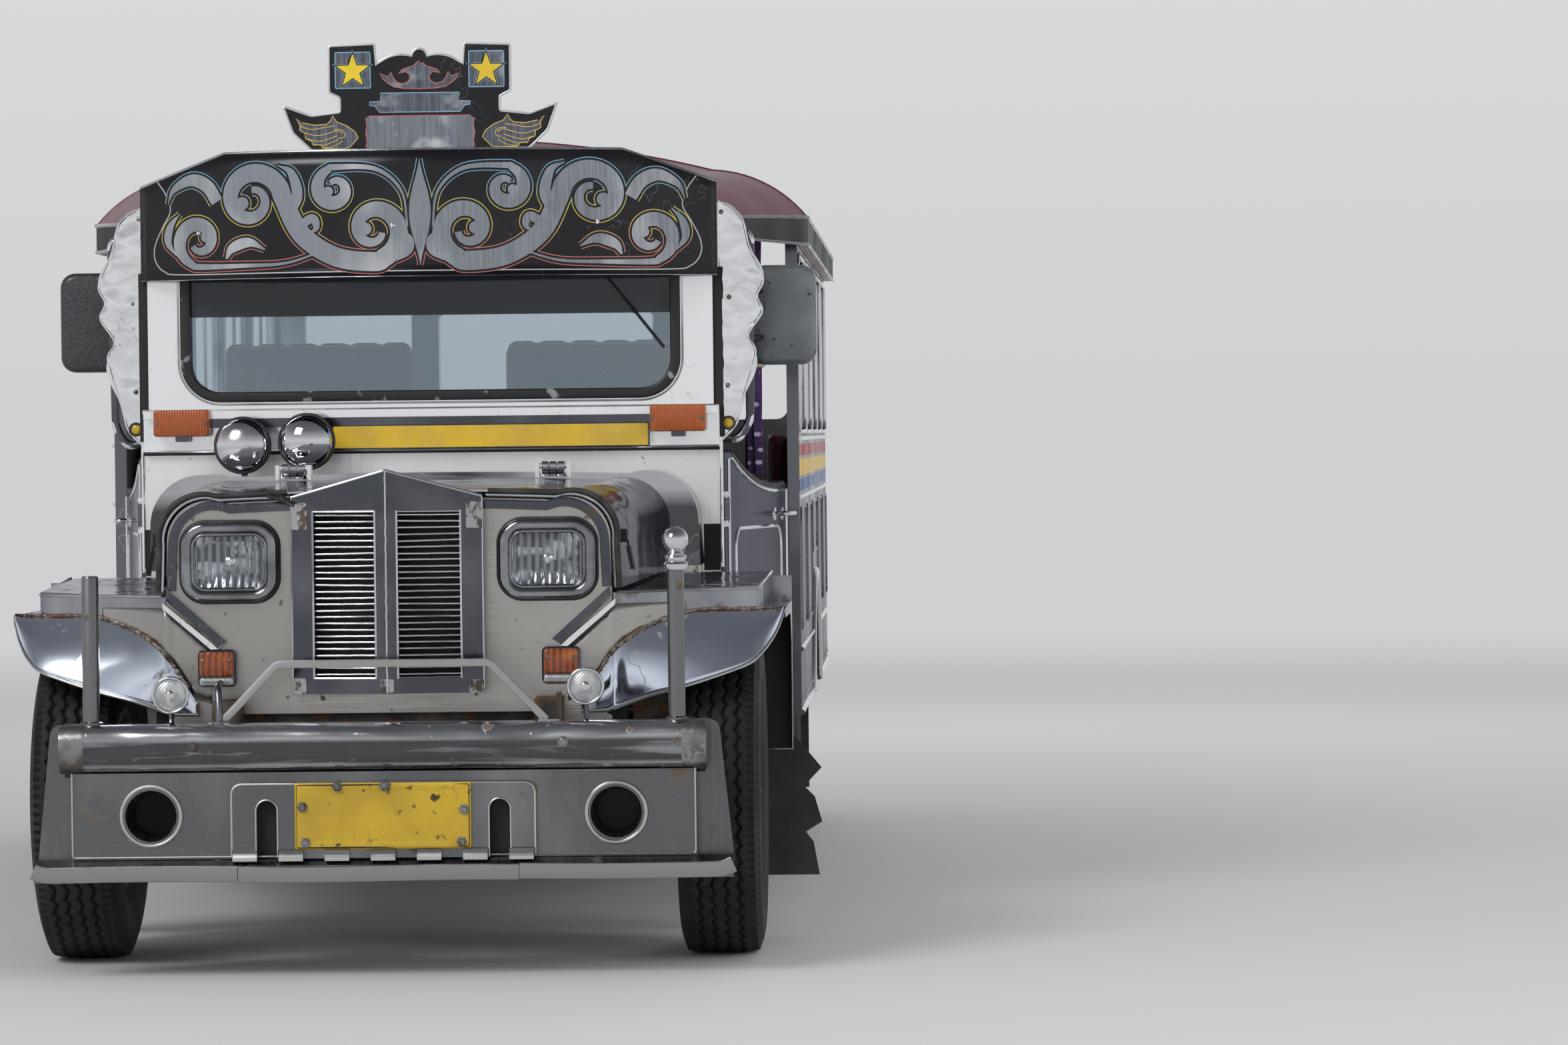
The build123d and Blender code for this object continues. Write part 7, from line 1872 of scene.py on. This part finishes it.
def cushion(low, high, channels, along, corner=0.022, rows_per_channel=10, pinch=0.007):
    """A stuffed pad between two corners given as (X, depth, Z): a rounded section carried along
    one of the three directions and pinched in at the seams between its channels."""
    low, high = np.asarray(low, float), np.asarray(high, float)
    size = high - low
    centre = (low + high) / 2
    across, upward = [axis for axis in range(3) if axis != along]
    share = np.linspace(0, 1, channels * rows_per_channel + 1)
    seam = np.abs(np.cos(np.pi * channels * share)) ** 14
    at_end = np.clip(1 - np.minimum(share, 1 - share) * size[along] / corner, 0, 1)
    insets = np.maximum(pinch * seam, corner * (1 - np.sqrt(1 - at_end**2 + 1e-9)))
    points = np.empty((len(share), 40, 3))
    points[..., along] = (low[along] + share * size[along])[:, None]
    for row, inset in zip(points, insets):
        width, height = size[across] - 2 * inset, size[upward] - 2 * inset
        outline = rounded_outline(width, height, min(corner, width * 0.45, height * 0.45), 10)
        row[:, across] = centre[across] + outline[:, 0]
        row[:, upward] = centre[upward] + outline[:, 1]
    points[..., 1] = y_of(points[..., 1])
    return block(points)


def seat_pads(name, near_x, far_x, low, high, shape, stands_for=()):
    """A stuffed pad on each side, between two X and between a low and a high depth and Z."""
    pads = []
    for side in (-1, 1):
        start, end = sorted((side * near_x, side * far_x))
        pads.append(cushion((start, *low), (end, *high), *shape))
    piece = make_piece(name, pads, seat_vinyl, stands_for=stands_for, sharp=60)


def piping(start, end, steps):
    """Cord sewn along an edge, between two points given as X, depth, Z."""
    return pipe(placed(np.linspace(start, end, steps)), 0.0035, 8, (0.3, 0.2, 1))


bench_shape, cab_shape = (15, 1), (6, 0, 0.030)
seat_pads("bench_cushions", 0.471, 0.7842, (2.421, 0.9606), (5.664, 1.0495), bench_shape, ["bench_seats"])
seat_pads("bench_backs", 0.7875, 0.8480, (2.421, 0.9606), (5.664, 1.1895), bench_shape)
seat_pads("cab_cushions", 0.121, 0.609, (1.886, 0.9306), (2.229, 1.0295), cab_shape, ["cab_seats"])
seat_pads("cab_backs", 0.121, 0.609, (2.2325, 0.9306), (2.3195, 1.4395), cab_shape)
piping_parts = [
    piping((side * x, 2.445, z), (side * x, 5.640, z), 60)
    for side in (-1, 1)
    for x, z in ((0.4790, 1.0435), (0.7935, 1.1840))
]
for side in (-1, 1):
    start, end = sorted((side * 0.151, side * 0.579))
    for depth, z in ((1.8960, 1.0210), (2.2420, 1.4310)):
        piping_parts.append(piping((start, depth, z), (end, depth, z), 24))
make_piece("seat_piping", piping_parts, piping_cream)

# Steering wheel, horn button, gear and brake levers, pedals and three dials: gloss
# black and chromed parts, with black rubber knobs and pads.
gloss_black = finish_of("gloss_black", (0.008, 0.008, 0.010), 0.12, 0.0, [
    patchy((0.03, 0.029, 0.028), 0.4, 4.0, 0.4, 0.3),
    scratched((0.08, 0.08, 0.08), 0.5, 8.0, 0.005),
], (3.0, 0.004), Coat_Weight=0.6)
dress(gloss_black, "steering_wheel")
hub_axis = unit((0, 1.700 - 1.162, 1.190 - 0.760))
horn = [(0.006, 0.034), (0.012, 0.034), (0.018, 0.028), (0.021, 0.015)]
make_piece("horn_button", turned(horn, at(0.365, 1.700, 1.190), hub_axis, 32), chrome, "hand_wheel")
knob = [(-0.022, 0.008), (-0.012, 0.021), (0.004, 0.025), (0.018, 0.019), (0.024, 0.006)]
lever_runs = (
    [(0.060, 1.560, 0.655), (0.060, 1.600, 0.860), (0.095, 1.730, 1.080)],
    [(0.020, 1.700, 0.655), (0.020, 1.720, 0.760), (0.020, 1.830, 0.900)],
)
lever_parts = [pipe(placed(bent(run, 0.06)), 0.0075, 12, leftwards) for run in lever_runs]
knob_parts = [turned(knob, at(*run[-1]), (0, 0.4, 1), 20) for run in lever_runs]
for x in (0.250, 0.340, 0.450):
    arm = bent([(x, 1.330, 0.980), (x, 1.370, 0.860), (x, 1.400, 0.760)], 0.04)
    lever_parts.append(pipe(placed(arm), 0.0070, 10, leftwards))
    knob_parts.append(board(rounded_outline(0.062, 0.075, 0.010, 5) + (x, 0.755), 1.398, 1.412, 0.002))
dial_parts, face_parts = [], []
for x, radius in ((0.275, 0.034), (0.365, 0.039), (0.455, 0.034)):
    rim = [(0.0, radius), (0.006, radius), (0.008, radius - 0.003), (0.006, radius - 0.006)]
    disc = [(0.0, radius - 0.005), (0.0035, radius - 0.005)]
    dial_parts.append(turned(rim, at(x, 1.510, 1.1215), rearwards, 40))
    face_parts.append(turned(disc, at(x, 1.510, 1.1215), rearwards, 40))
make_piece("levers", lever_parts, smoke_polish)
make_piece("lever_knobs", knob_parts, black_rubber)
make_piece("dial_rims", dial_parts, chrome)
dial_face = stained("dial_face", (0.72, 0.71, 0.66), 0.4, 0.0, None, (0.55, 0.52, 0.42))
make_piece("dial_faces", face_parts, dial_face)

# Curtains: purple cloth with small pale dots, gathered into folds on a rod behind
# each door and tied in at the middle.
curtain_cloth = finish_of("curtain_cloth", (0.060, 0.022, 0.105), 0.8, 0.0, [
    patchy((0.09, 0.04, 0.14), None, 260.0, 0.5, 0.2, bump=0.0002),
    patchy((0.035, 0.012, 0.065), 0.85, 4.0, 0.4, 0.3),
], Sheen_Weight=0.3)
tree = curtain_cloth.node_tree
dots = add_node(tree, "TexVoronoi", {"Vector": place_in(tree, "UV"), "Scale": 26.0, "Randomness": 0.25})
dots = ranged(tree, dots.outputs["Distance"], 0.17, 0.13)
shader = tree.nodes["Principled BSDF"]
under = shader.inputs["Base Color"].links[0].from_socket
dotted = add_node(tree, "Mix", {0: dots, 6: under, 7: (0.45, 0.42, 0.55, 1)}, data_type="RGBA")
tree.links.new(dotted.outputs[2], shader.inputs["Base Color"])
curtain_x, curtain_depth = 0.768, 2.035
curtain_low, curtain_high = 1.090, 1.815
rod_depth = np.linspace(curtain_depth - 0.050, curtain_depth + 0.050, 5)
rod_parts = both_sides(
    lambda side: pipe(seen_from_side(rod_depth, 1.812, side * curtain_x), 0.0050, 10, leftwards)
)
tie_x, tie_depth = (rounded_outline(0.050, 0.052, 0.024, 8) + (curtain_x, curtain_depth)).T
tie_parts = both_sides(
    lambda side: pipe(seen_from_above(side * tie_x, tie_depth, 1.366), 0.0045, 8, closed=True)
)
make_piece("curtain_rods", rod_parts, chrome)
make_piece("curtain_ties", tie_parts, piping_cream)
along = np.linspace(0, 1, 140)
down = np.linspace(0, 1, 60)[:, None]
for word, side in hands:
    tied = 1 - 0.42 * np.exp(-(((down - 0.62) / 0.12) ** 2))
    folds = (0.015 + 0.006 * np.sin(7 * along + side)) * np.sin(2 * np.pi * 6 * along)
    sway = 0.004 * np.sin(3.1 * down * 2 + 4 * along + side)
    depth = curtain_depth + (along - 0.5) * 0.072 * tied
    x = curtain_x + (folds + sway) * (0.75 + 0.25 * tied)
    points = seen_from_side(depth, curtain_high - (curtain_high - curtain_low) * down, side * x)
    cloth_width = round(float(np.linalg.norm(np.diff(points[0], axis=0), axis=1).sum()), 2)
    cloth_height = round(curtain_high - curtain_low, 3)
    stands_for = ["curtains"] if side > 0 else ()
    curtain = make_piece("curtain_" + word, sheet(points), curtain_cloth, stands_for=stands_for, sharp=80)
    cover = np.stack(np.meshgrid(along * cloth_width, down[:, 0] * cloth_height), axis=-1).reshape(-1, 2)
    layer = curtain.data.uv_layers.new(name="cloth")
    vertex_of_loop = np.empty(len(curtain.data.loops), dtype=int)
    curtain.data.loops.foreach_get("vertex_index", vertex_of_loop)
    layer.data.foreach_set("uv", cover[vertex_of_loop].ravel())

# Engine bay: a ribbed rocker cover and air cleaner on the block, a fan before it,
# and a battery on a tray at the firewall.
cast_iron = finish_of("cast_iron", (0.10, 0.12, 0.14), 0.5, 0.6, [
    patchy((0.05, 0.04, 0.035), 0.8, 12.0, 0.4, 0.2),
])
rocker_cover = cushion((-0.090, 0.420, 0.928), (0.090, 0.960, 0.992), 12, 1, 0.014, 8, 0.003)
make_piece("rocker_cover", rocker_cover, cast_iron)
cleaner = [(0.0, 0.050), (0.020, 0.050), (0.022, 0.105), (0.026, 0.110), (0.056, 0.110)]
cleaner += [(0.060, 0.105), (0.062, 0.030), (0.072, 0.022), (0.074, 0.008)]
make_piece("air_cleaner", turned(cleaner, at(0.205, 0.640, 0.930), upwards), gloss_black)
fan_z = 0.780
blade_parts = [turned([(0.0, 0.060), (0.030, 0.060), (0.036, 0.030)], at(0.0, 0.358, fan_z), steps=28)]
for turn in np.arange(5) * 2 * np.pi / 5:
    span = np.linspace(0.055, 0.170, 6)
    blade = seen_from_front(math.cos(turn) * span, math.sin(turn) * span + fan_z, 0.328)
    leaning = (0.25 * math.sin(turn), 1, -0.25 * math.cos(turn))
    blade_parts.append(swept(blade, rounded_outline(0.060, 0.003, 0.001, 3), leaning))
make_piece("engine_fan", blade_parts, cast_iron)
battery = board(rounded_outline(0.190, 0.160, 0.006, 4) + (-0.332, 0.883), 0.985, 1.130, 0.003)
tray = board(rounded_outline(0.200, 0.012, 0.002, 3) + (-0.330, 0.796), 0.970, 1.150)
posts = [turned([(0.0, 0.009), (0.016, 0.008)], at(x, 1.010, 0.962), upwards, 14) for x in (-0.40, -0.27)]
make_piece("battery", battery, wiper_black)
make_piece("battery_tray", [tray, *posts], dull_cap)

# Studio: a pale floor that fades into a pale surround, which bright metal and glass
# show as well and which darkens overhead, and three soft lamps.
horizon_tone = (0.62, 0.63, 0.64)
floor_material = finish_of("studio_floor", (0.56, 0.56, 0.555), 0.8)
tree = floor_material.node_tree
reach = maths(tree, "LENGTH", place_in(tree), kind="VectorMath").outputs["Value"]
fade = ranged(tree, reach, 4.0, 20.0)
fade.interpolation_type = "SMOOTHSTEP"
far_floor = add_node(tree, "Emission", {"Color": (*horizon_tone, 1)})
diffuse = add_node(tree, "LightPath").outputs["Is Diffuse Ray"]
seen = maths(tree, "MULTIPLY", maths(tree, "MULTIPLY_ADD", diffuse, -1.0, 1.0), fade)
blend = add_node(tree, "MixShader", {0: seen, 1: tree.nodes["Principled BSDF"], 2: far_floor})
tree.links.new(blend.outputs[0], tree.nodes["Material Output"].inputs["Surface"])
floor_size = 300.0
floor_mesh = bpy.data.meshes.new("studio_floor")
corners = [(x * floor_size, y * floor_size, 0) for x, y in ((-1, -1), (1, -1), (1, 1), (-1, 1))]
floor_mesh.from_pydata(corners, [], [(0, 1, 2, 3)])
floor_mesh.materials.append(floor_material)
floor = bpy.data.objects.new("studio_floor", floor_mesh)
bpy.context.scene.collection.objects.link(floor)

world = bpy.data.worlds.new("studio")
bpy.context.scene.world = world
world.use_nodes = True
tree = world.node_tree
background = tree.nodes["Background"]
seen_sky = add_node(tree, "ValToRGB", {0: parted(tree, place_in(tree, "Generated"))[2]})
sky_ramp = seen_sky.color_ramp
sky_ramp.elements[0].color = (*horizon_tone, 1)
sky_ramp.elements[1].color = (0.10, 0.105, 0.115, 1)
for height, tone in ((0.12, (0.72, 0.73, 0.745)), (0.35, (0.42, 0.43, 0.45)), (0.62, (0.17, 0.175, 0.19))):
    sky_ramp.elements.new(height).color = (*tone, 1)
ray = add_node(tree, "LightPath").outputs
seen = maths(tree, "MAXIMUM", ray["Is Camera Ray"], ray["Is Glossy Ray"])
seen = maths(tree, "MAXIMUM", seen, ray["Is Transmission Ray"])
sky = add_node(tree, "Mix", {0: seen, 6: (0.58, 0.585, 0.60, 1), 7: seen_sky}, data_type="RGBA")
tree.links.new(sky.outputs[2], background.inputs["Color"])
background.inputs["Strength"].default_value = 1.0


def soft_lamp(name, place, target, size, power, in_metal):
    """A square area lamp at a place, turned towards a target, which bright metal may show or not."""
    data = bpy.data.lights.new(name, "AREA")
    data.size = size
    data.energy = power
    lamp = bpy.data.objects.new(name, data)
    lamp.location = place
    lamp.rotation_euler = (Vector(target) - Vector(place)).to_track_quat("-Z", "Y").to_euler()
    lamp.visible_glossy = in_metal
    bpy.context.scene.collection.objects.link(lamp)


soft_lamp("key", (-5.0, -9.0, 7.5), (0, -1.5, 1.0), 4.0, 560, True)
soft_lamp("fill", (7.0, -6.0, 4.0), (0, -1.0, 1.0), 5.0, 220, False)
soft_lamp("back", (2.0, 9.0, 7.0), (0, 0, 1.5), 5.0, 330, False)
